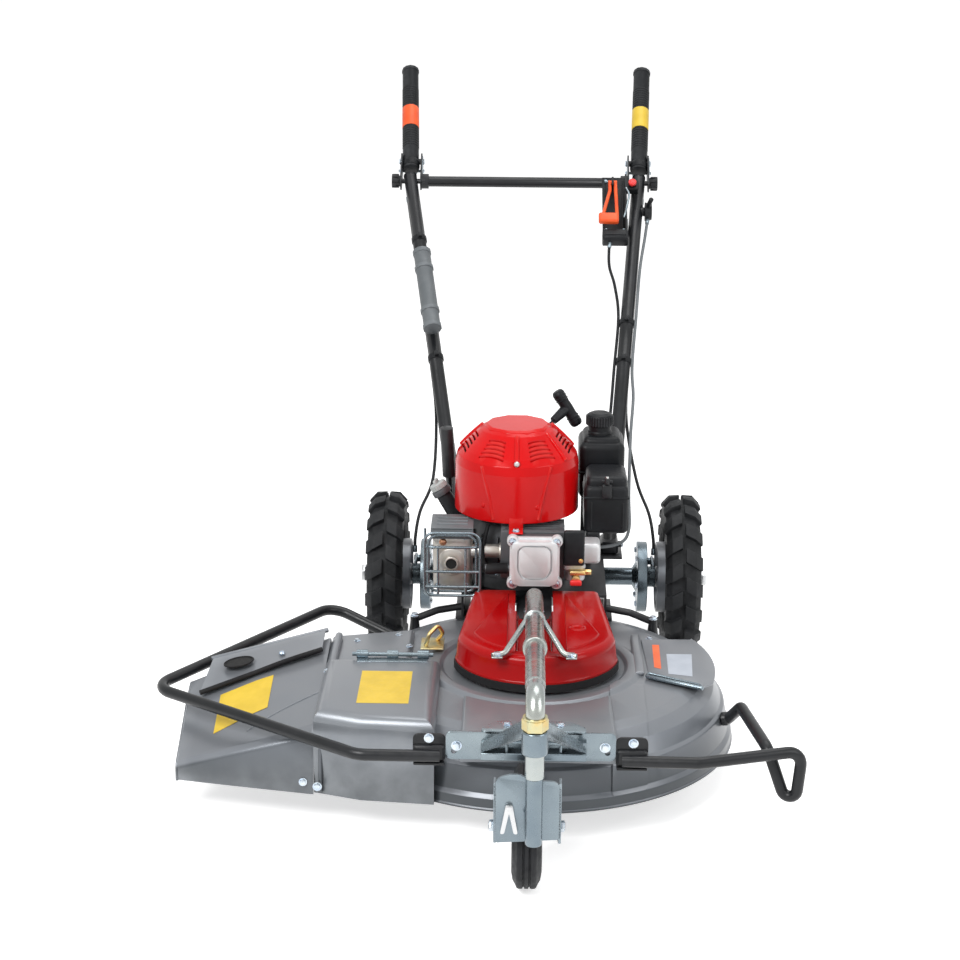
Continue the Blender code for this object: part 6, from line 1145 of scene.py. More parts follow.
def makeRearWheels():
    for word, side in bothSides:
        height, axis = wheelSet["height"], xAxis * side
        at = (side * wheelSet["track"], 0, height)
        rim = [
            (0.0106, 0.039), (0.0180, 0.039), (0.019, 0.038), (0.0205, 0.012), (0.026, 0.0075),
            (0.048, 0.0045), (0.056, 0.0062), (0.066, 0.0120), (0.076, 0.0125), (0.084, 0.0098),
            (0.088, 0.013), (0.090, 0.0215), (0.0935, 0.0230), (0.094, 0.021), (0.094, -0.021),
            (0.0935, -0.0230), (0.090, -0.0215), (0.0845, -0.0060), (0.0642, -0.0030), (0.0642, -0.0432),
            (0.0598, -0.0432), (0.0598, -0.0065), (0.0215, -0.0065), (0.019, -0.0432), (0.0106, -0.0432)]
        dish = turned(rim, 0.0014, 3, at=at, axis=axis, steps=96)
        dress("rim_dish_" + word, [dish], "deckEnamel", "rear_rim_" + word, sharp=30)
        ring = circle((0, 0), wheelSet["rimCircle"], wheelSet["rimBolts"])
        spots = [((at[0] + side * 0.0060, y, height + z), (side, 0, 0), 0.0060) for y, z in ring]
        valve = turned([
            (0, 0), (0.0036, 0), (0.0036, 0.010), (0.0026, 0.0115), (0.0026, 0.016), (0, 0.016)], 0.0004,
            at=(at[0] + side * 0.0085, 0.070, height + 0.010), axis=axis, steps=20)
        bolted("rim_bolts_" + word, spots, "rear_rim_" + word)
        trim("rim_valve_" + word, [valve], "softRubber", "rear_rim_" + word)
        low = [(0.1000, 0.0280), (0.1016, 0.0298), (0.1036, 0.0298), (0.1050, 0.0280)]
        high = [(0.1180, 0.0296), (0.1192, 0.0312), (0.1208, 0.0312), (0.1220, 0.0296)]
        beads = [turned(bead, 0.0004, at=at, axis=xAxis * face, steps=96) for face in (-1, 1)
            for bead in (low, high)]
        trim("tyre_beads_" + word, beads, "tyreRubber", "rear_tyre_" + word)
        drum = turned([
            (0.0106, 0.2214), (0.0185, 0.2214), (0.019, 0.2205), (0.019, 0.2055), (0.0300, 0.2050),
            (0.0345, 0.2025), (0.0560, 0.2025), (0.0585, 0.2050), (0.0632, 0.2050), (0.064, 0.2042),
            (0.064, 0.1878), (0.0632, 0.1870), (0.030, 0.187), (0.016, 0.179), (0.016, 0.1243),
            (0.0106, 0.1243)], 0.0008, at=(0, 0, height), axis=axis, steps=72)
        dress("drum_plate_" + word, [drum], "zincPlate", "clutch_plate_" + word, sharp=30)
        inner = [((side * wheelSet["drumFace"], y, height + z), (-side, 0, 0), 0.0048)
                 for y, z in circle((0, 0), wheelSet["drumCircle"], wheelSet["drumBolts"])]
        bolted("drum_bolts_" + word, inner, "clutch_plate_" + word)


def makeStrapSeats():
    # Seats of the rear straps on the deck's sloping shoulder
    for word, side in bothSides:
        x, y = side * 0.2035, -0.2715
        stay = turned([
            (0, 0.1375), (0.0105, 0.1375), (0.0090, 0.1450), (0.0075, 0.1600), (0.0075, 0.1690), (0, 0.1690)],
            0.0010, at=(x, y, 0), steps=28)
        trim("strap_seat_" + word, [stay], "blackEnamel", "main_frame")
        bolted("strap_bolt_" + word, [((x, y, 0.1690), (0, 0, 1), 0.0058)], "main_frame")


makeFrontPlate()
makePole()
makeFork()
makeLock()
makeFrontWheel()
makeGuards()
makeRearWheels()
makeStrapSeats()
print("front, guards and wheels")

# Engine: pressed fan cover over the flywheel, cast head with its cover and ribs, boot and oil neck
engineSet = {
    "x": -0.032, "y": -0.160, "louvreRows": 5, "coverWall": 0.0025, "coverTop": 0.4800, "rib": 0.0042,
    "crease": 0.0030, "boss": 0.4380, "ribs": 16, "fins": 9, "bolts": 8, "boltCircle": 0.0825,
    "neckLean": (-0.062, 0.008, 0.100),
}


def makeFanCover():
    x, y, wall, top = engineSet["x"], engineSet["y"], engineSet["coverWall"], engineSet["coverTop"]
    outer = softProfile([
        (0, top), (0.052, top), (0.0635, 0.4745), (0.0945, 0.4430), (0.1030, 0.4320), (0.1062, 0.4170),
        (0.1070, 0.3370), (0.1070, 0.3340), (0, 0.3340)], 0.005, 5)
    inner = softProfile([
        (0, top - wall), (0.0515, top - wall), (0.0615, 0.4720), (0.0925, 0.4410), (0.1008, 0.4310),
        (0.1037, 0.4170), (0.1045, 0.3200), (0, 0.3200)], 0.005, 3)
    cover = lathe(outer, at=(x, y, 0), steps=120)
    disc = lathe([
        (0, 0.4824), (0.0525, 0.4824), (0.0575, 0.4795), (0.0600, 0.4740), (0, 0.4740)], at=(x, y, 0),
        steps=10)
    cover = carved(fused(cover, softened(disc, 0.0012)), lathe(inner, at=(x, y, 0), steps=72))
    cutters = []
    for heading in (-118, -62, -10, 48, 132, 190):
        turn = around((x, y, 0), math.radians(heading))
        for row in range(engineSet["louvreRows"]):
            reach, half = 0.0705 + 0.0056 * row, 0.0165 + 0.0018 * row
            cutters.append(block((reach - 0.0014, -half, 0.40), (reach + 0.0014, half, 0.50), turn=turn))
    cover = carved(cover, *cutters)
    ribs = []
    for heading in (-90, -36, 20, 90, 162):
        turn = around((x, y, 0), math.radians(heading))
        path = [turn @ Vector(point) for point in (
            (0.0620, 0, 0.4745), (0.0780, 0, 0.4598), (0.0945, 0, 0.4428), (0.1020, 0, 0.4340))]
        ribs.append(pipe(smoothPath(path, 4), engineSet["rib"], 14))
    creases = []
    for heading in (-118, -63):
        turn = around((x, y, 0), math.radians(heading))
        lean = 0.012 if heading < -90 else -0.012
        path = [turn @ Vector(point) for point in (
            (0.1028, -lean, 0.4300), (0.1052, -lean * 0.3, 0.4050), (0.1060, lean * 0.4, 0.3760),
            (0.1058, lean, 0.3400))]
        creases.append(pipe(smoothPath(path, 4), engineSet["crease"], 12))
    dimples = []
    for heading in (-122, -70):
        turn = around((x, y, 0), math.radians(heading))
        dimples.append(turned([
            (0, 0.0016), (0.0034, 0.0012), (0.0052, -0.0004), (0, -0.0030)], 0.0008,
            at=turn @ Vector((0.1066, 0, 0.362)), axis=turn.to_3x3() @ xAxis, steps=20))
    bossAt = (x, -0.262, engineSet["boss"])
    boss = bar(bossAt, (x, -0.2470, engineSet["boss"]), 0.0068, sides=24, edge=0.0012)
    tab = block((-0.044, -0.2965, 0.3253), (-0.020, -0.2640, 0.3280), 0.0012)
    web = block((-0.044, -0.2672, 0.3260), (-0.020, -0.2645, 0.3440), 0.0012)
    dress("fan_cover_shell", [cover, *ribs, *creases, *dimples, boss, tab, web], "redEnamel", "fan_cover",
        sharp=30)
    # A dark ring under the louvre slots: painted shade seen through them
    slotShade = lathe([
        (0.0630, 0.4660), (0.0640, 0.4670), (0.0990, 0.4310), (0.0985, 0.4280), (0.0960, 0.4280),
        (0.0600, 0.4655)], at=(x, y, 0), steps=72)
    trim("fan_cover_screen", [slotShade], "hollowShade", "fan_cover")
    screw = turned([
        (0, 0.0034), (0.0036, 0.0030), (0.0050, 0.0004), (0.0050, -0.002), (0, -0.002)], 0.0006, at=bossAt,
        axis=-yAxis, steps=28)
    trim("fan_cover_screw", [screw], "brightSteel", "fan_cover")
    bolted("fan_cover_bolt", [((x, -0.286, 0.3280), (0, 0, 1), 0.0055)], "fan_cover")


rockerSet = {"height": 0.282, "boltAt": 0.037, "ear": 0.0098}


def makeRockerCover():
    boltAt = rockerSet["boltAt"]
    corners = [(x, rockerSet["height"] + z) for x in (-boltAt, boltAt) for z in (-boltAt, boltAt)]
    flange = sheet(roundedOutline([
        (-0.042, 0.240), (0.042, 0.240), (0.042, 0.324), (-0.042, 0.324)], 0.010), 0.0055, acrossY(-0.3030),
        0.0012)
    ears = [bar((x, -0.3145, z), (x, -0.3003, z), rockerSet["ear"], sides=28, edge=0.0016)
        for x, z in corners]
    body = sheet(roundedOutline([
        (-0.039, 0.243), (0.039, 0.243), (0.039, 0.321), (-0.039, 0.321)], 0.013), 0.0165, acrossY(-0.31325),
        0.0022)
    pocket = roundedOutline([
        (-0.0295, 0.2700), (-0.0190, 0.2535), (0.0190, 0.2535), (0.0295, 0.2700), (0.0295, 0.3070),
        (0.0200, 0.3145), (-0.0200, 0.3145), (-0.0295, 0.3070)], 0.007)
    body = carved(body, sheet(pocket, 0.008, acrossY(-0.3215), 0.0015))
    dress("rocker_cast", [flange, *ears, body], "castAlloy", "rocker_cover", sharp=34)
    inner = roundedOutline([
        (-0.0265, 0.2710), (-0.0175, 0.2565), (0.0175, 0.2565), (0.0265, 0.2710), (0.0265, 0.3060),
        (0.0185, 0.3118), (-0.0185, 0.3118), (-0.0265, 0.3060)], 0.006)
    lid = sheet(inner, 0.0060, acrossY(-0.3188), 0.0022)
    trim("rocker_panel", [lid], "castAlloy", "rocker_cover")
    spots = [((x, -0.3143, z), (0, -1, 0), 0.0050) for x, z in corners]
    bolted("rocker_bolts", spots, "rocker_cover")


def makeEngineDetails():
    x, y, count, reach = engineSet["x"], engineSet["y"], engineSet["ribs"], engineSet["boltCircle"]
    # The ribs, fins and base take the cast finish darkened as painted shade
    rib = block((0.0760, -0.0016, 0.2350), (0.0842, 0.0016, 0.3000), 0.0012)
    ribs = repeated(rib, "castShaded", count, start=(x, y, 0), turn=full / count)
    fin = block((-0.0575, -0.2768, 0.2425), (0.0505, -0.2752, 0.3240), 0.0007)
    fins = repeated(fin, "castShaded", engineSet["fins"], step=(0, 0.0090, 0))
    base = turned([
        (0.070, 0.2270), (0.0885, 0.2270), (0.0895, 0.2285), (0.0895, 0.2335), (0.070, 0.2335)], 0.0006,
        at=(x, y, 0), steps=80)
    trim("engine_ribs", [ribs, fins, base], "castShaded", "engine_block", sharp=34)
    spots = [((u, v, 0.2335), (0, 0, 1), 0.0048)
             for u, v in circle((x, y), reach, engineSet["bolts"], math.pi / engineSet["bolts"])]
    bolted("engine_bolts", spots, "engine_block")
    boot = pipe(smoothPath([
        (-0.046, -0.2853, 0.262), (-0.060, -0.2868, 0.262), (-0.080, -0.2886, 0.2615),
        (-0.086, -0.280, 0.266), (-0.088, -0.262, 0.290), (-0.080, -0.236, 0.322)], 4),
        [0.0092] * 9 + [0.0060] * 4 + [0.0034] * 8, 16)
    trim("spark_boot", [boot], "softRubber", "engine_block")
    neck = turned([
        (0.0, 0.0), (0.0172, 0.0), (0.0172, 0.006), (0.0152, 0.008), (0.0146, 0.040), (0, 0.040)], 0.001,
        at=(-0.104, -0.128, 0.250), axis=Vector(engineSet["neckLean"]).normalized(), steps=40)
    upper = bar((-0.128, -0.1249, 0.2887), (-0.1655, -0.1201, 0.3492), 0.0147, 0.0132, sides=36, edge=0.0008)
    trim("oil_neck", [neck, upper], "blackPlastic", "engine_block")


# Silencer: a pressed box with a seam, its outlet and shield, in a cage of bent wire
silencerSet = {
    "low": (-0.172, -0.274, 0.214), "high": (-0.107, -0.212, 0.330), "wire": 0.0024, "hole": 0.0095,
    "outlet": (-0.141, -0.274, 0.267), "cageLeft": -0.186, "cageRight": -0.092, "cageFront": -0.294,
    "cageBack": -0.240,
}


def makeMuffler():
    low, high, hole = silencerSet["low"], silencerSet["high"], silencerSet["hole"]
    outletAt = Vector(silencerSet["outlet"])
    box = block(low, high, 0.012, segments=5)
    seam = sheet(roundedOutline([
        (low[0] - 0.0012, low[2] + 0.002), (high[0] + 0.0012, low[2] + 0.002),
        (high[0] + 0.0012, high[2] - 0.002), (low[0] - 0.0012, high[2] - 0.002)], 0.013), 0.0026,
        acrossY(-0.248), 0.0008)
    swell = turned([
        (0, 0.0030), (0.016, 0.0026), (0.0235, 0.0010), (0.0265, -0.002), (0, -0.002)], 0.002, 3, at=outletAt,
        axis=-yAxis, steps=48)
    outlet = turned([
        (0.0095, -0.005), (0.0125, -0.005), (0.0125, 0.0085), (0.0114, 0.0092), (0.0095, 0.0092)], 0.0005,
        at=outletAt, axis=-yAxis, steps=40)
    swell, box = (
        carved(shape, bar(outletAt - yAxis * 0.016, outletAt + yAxis * 0.012, hole, sides=36))
        for shape in (swell, box))
    port, ring = (
        bar((near, -0.255, 0.282), (-0.0556, -0.255, 0.282), radius, sides=32, edge=0.0008)
        for near, radius in ((-0.1095, 0.012), (-0.0600, 0.0155)))
    dress("muffler_box", [box, seam, swell, outlet, port, ring], "mufflerSteel", "muffler", sharp=34)
    shield = block((-0.176, -0.284, 0.3275), (-0.104, -0.206, 0.3315), 0.0015)
    lip = sheet(roundedOutline([
        (-0.176, 0.312), (-0.104, 0.312), (-0.104, 0.3310), (-0.176, 0.3310)], 0.004), 0.0025,
        acrossY(-0.28275), 0.0006)
    beads = [pipe([(-0.166, y, 0.3318), (-0.114, y, 0.3318)], 0.0016, 10) for y in (-0.262, -0.245, -0.228)]
    # A dark disc down in the outlet's bore: painted shade
    deep = bar(outletAt - yAxis * 0.0066, outletAt - yAxis * 0.0040, hole - 0.0001, sides=36)
    trim("muffler_dark", [deep], "hollowShade", "muffler")
    trim("muffler_shield", [shield, lip, *beads], "greyPlastic", "muffler", sharp=34)
    plug = turned([
        (0, 0.0052), (0.0042, 0.0046), (0.0062, 0.0012), (0.0062, -0.003), (0, -0.003)], 0.0008,
        at=(-0.1555, -0.274, 0.3035), axis=-yAxis, steps=28)
    trim("muffler_plug", [plug], "copper", "muffler")
    spots = [
        ((x, -0.2740, z), (0, -1, 0), 0.0036) for x, z in ((-0.164, 0.226), (-0.116, 0.226), (-0.118, 0.312))]
    bolted("muffler_bolts", spots, "muffler")


def wireLoop(corners, radius, bend):
    # A closed run of wire with bent corners
    start, last = (corners[0].lerp(corners[1], share) for share in (0.5, 0.5001))
    return pipe(roundedPath([start, *corners[1:], corners[0], last], bend, 6), radius, 12)


def makeCage():
    wire, left, right = silencerSet["wire"], silencerSet["cageLeft"], silencerSet["cageRight"]
    front, back = silencerSet["cageFront"], silencerSet["cageBack"]
    loops = []
    for y, low, high, inset in ((front, 0.2145, 0.3255, 0.0), (-0.2885, 0.2205, 0.3195, 0.0065)):
        corners = [Vector(point) for point in (
            (left + inset, y, low), (right - inset, y, low), (right - inset, y, high),
            (left + inset, y, high))]
        loops.append(wireLoop(corners, wire, 0.016))
    bows = [[(left, back, z), (left, front + 0.001, z), (right, front + 0.001, z), (right, back, z)]
            for z in (0.214, 0.300)]
    rails = [pipe(roundedPath(bow, 0.016, 6), wire, 12) for bow in bows]
    rails += [pipe([(left + 0.002, front + 0.0004, z), (right - 0.002, front + 0.0004, z)], wire, 12)
              for z in (0.257, 0.2300)]
    rails += [pipe([(x, front + 0.0020, 0.2160), (x, front + 0.0020, 0.2990)], wire * 0.9, 12)
              for x in (-0.163, -0.1165)]
    # Uprights beside the box and at the bows' ends
    rails += [pipe([(x, y, low), (x, y, high)], wire, 12) for x, y, low, high in (
        (left, -0.268, 0.2090, 0.3250), (left, back, 0.2140, 0.3000), (right, back, 0.2140, 0.3000))]
    dress("cage_wire", [*loops, *rails], "zincPlate", "muffler_guard", sharp=50)


# Intake side: air cleaner with its clip, carburettor, fuel tank, caps and tap
intakeSet = {"stud": (0.122, -0.2185), "filler": (0.112, -0.072, 0), "capNotches": 30, "oilCapNotches": 20}


def makeAirCleaner():
    case = block((0.084, -0.214, 0.300), (0.160, -0.118, 0.3865), 0.010, segments=4)
    waist = block((0.0828, -0.2152, 0.3635), (0.1612, -0.1168, 0.3675), 0.0016)
    lid = block((0.088, -0.208, 0.372), (0.157, -0.120, 0.4005), 0.010, segments=4)
    ribs = [block((0.089 + 0.0135 * k, -0.2151, 0.309), (0.0925 + 0.0135 * k, -0.2110, 0.358), 0.0014)
        for k in (0.4, 4.4)]
    duct = block((0.088, -0.2138, 0.276), (0.112, -0.165, 0.305), 0.005)
    dress("air_case", [case, waist, lid, *ribs, duct], "blackPlastic", "air_cleaner", sharp=34)
    stud = intakeSet["stud"]
    clip = [
        block((0.1135, -0.2200, 0.366), (0.1305, -0.2130, 0.3905), 0.0022),
        bar((*stud, 0.392), (*stud, 0.4025), 0.0045, sides=24, edge=0.0008),
        block((0.1125, -0.2200, 0.3945), (0.1315, -0.2170, 0.3995), 0.0014)]
    trim("air_clip", clip, "blackEnamel", "air_cleaner")
    tip = bar((*stud, 0.4020), (*stud, 0.4055), 0.0028, sides=20, edge=0.0006)
    trim("air_stud", [tip], "brightSteel", "air_cleaner")


def makeTank():
    filler, count = intakeSet["filler"], intakeSet["capNotches"]
    body = block((0.076, -0.112, 0.330), (0.156, -0.012, 0.4330), 0.013, segments=5)
    bulge = block((0.0825, -0.105, 0.415), (0.1495, -0.019, 0.4420), 0.012, segments=5)
    neck = turned([
        (0, 0.432), (0.0235, 0.432), (0.0215, 0.4455), (0.0200, 0.4475), (0.0200, 0.4565), (0, 0.4565)],
        0.001, 3, at=filler, steps=48)
    weld = block((0.0748, -0.1132, 0.3785), (0.1572, -0.0108, 0.3815), 0.0012)
    stand = block((0.082, -0.080, 0.2088), (0.104, -0.050, 0.336), 0.003)
    dress("tank_body", [body, bulge, neck, weld, stand], "blackPlastic", "fuel_tank", sharp=34)
    cap = turned([
        (0, 0.4790), (0.0150, 0.4790), (0.0210, 0.4762), (0.0226, 0.4735), (0.0236, 0.4600), (0.0236, 0.4568),
        (0, 0.4568)], 0.0012, 3, at=filler, steps=60)
    notch = bar((0.0232, 0, 0.458), (0.0232, 0, 0.4735), 0.0012, sides=10)
    knurl = repeated(notch, "blackPlastic", count, start=filler, turn=full / count)
    dress("fuel_cap_shell", [cap, knurl], "blackPlastic", "fuel_cap", sharp=34)


def makeCarburettor():
    throat = block((0.0493, -0.286, 0.258), (0.084, -0.240, 0.304), 0.005)
    bowl = turned([
        (0, 0.236), (0.0150, 0.236), (0.0170, 0.2385), (0.0170, 0.2575), (0.0182, 0.2580), (0.0182, 0.2620),
        (0, 0.2620)], 0.0010, at=(0.069, -0.263, 0), steps=48)
    elbow = block((0.060, -0.262, 0.262), (0.112, -0.2146, 0.298), 0.007)
    dress("carb_body", [throat, bowl, elbow], "castAlloy", "carburettor", sharp=34)
    choke = block((0.0485, -0.2960, 0.270), (0.084, -0.284, 0.332), 0.004)
    trim("carb_plate", [choke], "blackPlastic", "carburettor")
    bits = [((0.069, -0.263, 0.2360), (0, 0, -1), 0.0052), ((0.0780, -0.2960, 0.280), (0, -1, 0), 0.0030)]
    bolted("carb_screws", bits, "carburettor", "brass")
    tap = bar((0.070, -0.2803, 0.247), (0.070, -0.2995, 0.247), 0.007, sides=28, edge=0.0008)
    dress("tap_stem", [tap], "brass", "fuel_tap", sharp=34)
    body = block((0.0590, -0.2990, 0.2545), (0.0860, -0.2780, 0.2625), 0.0022)
    nut = bar((0.0830, -0.2920, 0.2585), (0.0960, -0.2920, 0.2585), 0.0050, sides=6, edge=0.0006)
    trim("tap_valve", [body, nut], "brass", "carburettor")
    handle = block((0.0600, -0.3062, 0.2380), (0.0800, -0.2990, 0.2480), 0.0030)
    trim("tap_knob", [handle], "redPlastic", "fuel_tap")


def makeOilCap():
    foot, along = Vector((-0.166, -0.120, 0.350)), Vector(engineSet["neckLean"]).normalized()
    count = intakeSet["oilCapNotches"]
    cap = turned([
        (0, 0.0003), (0.0138, 0.0003), (0.0145, 0.0012), (0.0145, 0.0102), (0.0132, 0.0120), (0, 0.0120)],
        0.0008, at=foot, axis=along, steps=48)
    wing = block((-0.0120, -0.0028, 0.0100), (0.0120, 0.0028, 0.0190), 0.0022, turn=frameOf(along, foot))
    notch = bar((0.0143, 0, 0.0016), (0.0143, 0, 0.0100), 0.0010, sides=8)
    knurl = repeated(notch, "palePlastic", count, turn=full / count)
    knurl.data.transform(frameOf(along, foot))
    dress("oil_cap_shell", [cap, wing, knurl], "palePlastic", "oil_cap", sharp=34)


starterSet = {
    "exit": (0.016, -0.085, 0.452), "grip": (0.055, -0.050, 0.480), "lean": (0.043, 0, -0.069),
    "rings": (-0.024, -0.018, 0.018, 0.024), "rope": 0.0025, "ropeInside": 0.086, "ropeOutside": 0.024,
}


def makeStarter():
    exitAt, gripAt = Vector(starterSet["exit"]), Vector(starterSet["grip"])
    lean = Vector(starterSet["lean"]).normalized()
    handle = turned([
        (0, -0.036), (0.0088, -0.036), (0.0112, -0.030), (0.0100, -0.012), (0.0105, 0.0), (0.0100, 0.012),
        (0.0112, 0.030), (0.0088, 0.036), (0, 0.036)], 0.004, 4, at=gripAt, axis=lean, steps=40)
    away = (gripAt - exitAt).normalized()
    neck = bar(exitAt + away * 0.022, gripAt - away * 0.002, 0.0070, 0.0098, sides=28, edge=0.0010)
    rings = [lathe([
        (0.0104, -0.0012), (0.0118, 0.0), (0.0104, 0.0012)], at=gripAt + lean * reach, axis=lean, steps=32)
        for reach in starterSet["rings"]]
    # The rope runs on into the cowl, a few millimetres short of what the grip pulls out
    rope = bar(exitAt - away * starterSet["ropeInside"], exitAt + away * starterSet["ropeOutside"],
               starterSet["rope"], sides=16)
    dress("starter_handle", [handle, neck, *rings, rope], "blackPlastic", "starter_grip", sharp=36)


makeFanCover()
makeRockerCover()
makeEngineDetails()
makeMuffler()
makeCage()
makeAirCleaner()
makeTank()
makeCarburettor()
makeOilCap()
makeStarter()
print("engine")

# Handle side: ribbed grips, hinge knobs, clamps, the control box's small parts and the cable runs
handleSet = {
    "y": 0.595, "z": 0.771, "topX": {-1: -0.253, 1: 0.201}, "footX": {-1: -0.131, 1: 0.135},
    "footY": -0.030, "footZ": 0.222, "flank": 0.0218, "knobTeeth": 7,
}


def armLine(side):
    # An arm's foot and its top, where the crossbar runs through
    foot = Vector((handleSet["footX"][side], handleSet["footY"], handleSet["footZ"]))
    return foot, Vector((handleSet["topX"][side], handleSet["y"], handleSet["z"]))


def armPoint(side, distance, offX=0.0, offUp=0.0):
    foot, top = armLine(side)
    along = (top - foot).normalized()
    up = Vector((0, -along.z, along.y)).normalized()
    return top - along * distance + Vector((offX, 0, 0)) + up * offUp


gripSet = {
    "ribs": 26, "ribsFrom": 0.20, "ribsLong": 0.62, "bandFrom": 0.40, "bandTo": 0.60, "endY": 0.812,
    "endZ": 0.962,
}


def makeGrips():
    flank = handleSet["flank"]
    for word, side in bothSides:
        top = armLine(side)[1]
        end = Vector((top.x + side * 0.0115, gripSet["endY"], gripSet["endZ"]))
        aim = (end - top).normalized()
        start = top + aim * 0.034
        length = (end - start).length
        turn = frameOf(aim, start)
        ring = turned([
            (0.0155, -0.0019), (0.0170, -0.0011), (0.0170, 0.0011), (0.0155, 0.0019)], 0.0006, steps=36)
        count = gripSet["ribs"]
        rings = repeated(ring, "blackPlastic", count, start=(0, 0, length * gripSet["ribsFrom"]),
                         step=(0, 0, length * gripSet["ribsLong"] / count))
        rings.data.transform(turn)
        collar = turned([
            (0.0150, 0.000), (0.0176, 0.001), (0.0176, 0.010), (0.0164, 0.016), (0.0150, 0.016)], 0.0012, 3,
            at=start, axis=aim, steps=40)
        trim("grip_ribs_" + word, [rings, collar], "blackPlastic", "upper_handle_" + word, sharp=40)
        near, far = length * gripSet["bandFrom"], length * gripSet["bandTo"]
        band = turned([
            (0.0150, near), (0.0172, near + 0.0006), (0.0172, far), (0.0150, far + 0.0006)], 0.0003, at=start,
            axis=aim, steps=40)
        trim("grip_band_" + word, [band], "orangePlastic" if side < 0 else "yellowPatch",
            "upper_handle_" + word, sharp=40)
        along = Vector((0, aim.y, aim.z)).normalized()
        up = Vector((0, -along.z, along.y))
        spots = [(top + along * 0.050 + Vector((x * 0.0217, 0, 0)), (x, 0, 0), 0.0058) for x in (-1, 1)]
        spots += [(top + along * 0.046 - up * 0.0245 + Vector((x * flank, 0, 0)), (x, 0, 0), 0.0040)
                  for x in (-1, 1)]
        bolted("grip_bolts_" + word, spots, "upper_handle_" + word)
        plates = []
        for x in (-1, 1):
            middle = Vector((top.x + x * flank, top.y, top.z))
            plates.append(panel([middle + along * ahead + up * high for ahead, high in (
                (0.020, 0.010), (0.058, 0.009), (0.058, -0.018), (0.034, -0.026))], 0.0010, 0.0003))
        trim("lever_plates_" + word, plates, "zincPlate", "upper_handle_" + word)


# How far below an arm's top each of its cable clamps sits
clampSet = {"left": (0.150, 0.435), "right": (0.345, 0.435)}


def makeArmDetails():
    teeth, flank = handleSet["knobTeeth"], handleSet["flank"]
    for word, side in bothSides:
        foot, top = armLine(side)
        along = (top - foot).normalized()
        pieces = []
        for distance in clampSet[word]:
            at = top - along * distance
            pieces.append(turned([
                (0.0128, -0.0060), (0.0150, -0.0054), (0.0150, 0.0054), (0.0128, 0.0060)], 0.0008, at=at,
                axis=along, steps=40))
            pieces.append(block((-0.0045, 0.0125, -0.0050), (0.0045, 0.0215, 0.0050), 0.0012,
                turn=frameOf(along, at)))
        plug = turned([
            (0, -0.004), (0.0131, -0.004), (0.0131, 0.0005), (0.0112, 0.0020), (0, 0.0024)], 0.0008,
            at=top + along * 0.0142, axis=along, steps=36)
        trim("arm_clamps_" + word, [*pieces, plug], "blackPlastic", "handle_arm_" + word)
        spots = [(foot + Vector((x * flank, 0, 0)), (x, 0, 0), 0.0052) for x in (-1, 1)]
        bolted("arm_bolts_" + word, spots, "handle_arm_" + word)
        tooth = bar((0.0120, 0, -0.0065), (0.0120, 0, 0.0065), 0.0024, sides=12, edge=0.0006)
        nub = repeated(tooth, "blackPlastic", teeth, turn=full / teeth)
        nub.data.transform(frameOf(Vector((side, 0, 0)), top + Vector((side * 0.0305, 0, 0))))
        trim("hinge_knob_" + word, [nub], "blackPlastic", "crossbar")


# Cables: each runs through its points, held beside its arm
cableSet = {"radius": 0.0029, "beside": 0.0173, "ferrule": 0.012, "ferruleWider": 1.35}


def makeCables():
    beside, radius = cableSet["beside"], cableSet["radius"]
    besideHigh = (beside * 0.96, beside * 0.28)
    routes = {
        "blade_cable": ("blackPlastic", [
            (0.142, 0.4485, 0.6805), (0.140, 0.4400, 0.6640), (0.141, 0.4230, 0.6360),
            armPoint(1, 0.260, -beside - 0.012, 0.006),
            armPoint(1, 0.330, -beside), armPoint(1, 0.450, -beside), armPoint(1, 0.560, -beside, 0.002),
            armPoint(1, 0.680, -beside - 0.004, 0.012), (0.112, 0.016, 0.305), (0.104, -0.010, 0.262),
            (0.098, -0.024, 0.230), (0.096, -0.028, 0.209)]),
        "throttle_cable": ("greyPlastic", [
            armPoint(1, 0.0913, 0.0240), armPoint(1, 0.140, 0.0215, 0.003), armPoint(1, 0.220, *besideHigh),
            armPoint(1, 0.330, *besideHigh), armPoint(1, 0.450, *besideHigh),
            armPoint(1, 0.520, beside + 0.006, 0.005), (0.176, 0.120, 0.380), (0.171, 0.020, 0.300),
            (0.168, -0.080, 0.268), (0.150, -0.150, 0.264), (0.106, -0.188, 0.267), (0.098, -0.202, 0.268),
            (0.098, -0.214, 0.268)])}
    for word, side in bothSides:
        out, under = side * beside * 0.574, -beside * 0.819
        tip = Vector((side * 0.2125, -0.072, 0.216))
        routes["clutch_cable_" + word] = ("blackPlastic", [
            armPoint(side, 0.030, out, under), armPoint(side, 0.120, out, under),
            armPoint(side, 0.330, out, under), armPoint(side, 0.450, out, under),
            armPoint(side, 0.560, out + side * 0.004, under), (side * 0.186, 0.060, 0.315),
            (side * 0.206, -0.020, 0.276), tip + Vector((0, 0.006, 0.026)), tip])
    for node, (look, route) in routes.items():
        line = smoothPath(route, 6)
        sheath = pipe(line, radius, 14)
        ferrules = []
        for first, second in ((line[0], line[1]), (line[-1], line[-2])):
            aim = (Vector(second) - Vector(first)).normalized()
            end = Vector(first) + aim * cableSet["ferrule"]
            ferrules.append(bar(first, end, radius * cableSet["ferruleWider"], sides=18, edge=0.0005))
        dress(node + "_sheath", [sheath], look, node, sharp=50)
        trim(node + "_ends", ferrules, "zincPlate", node)


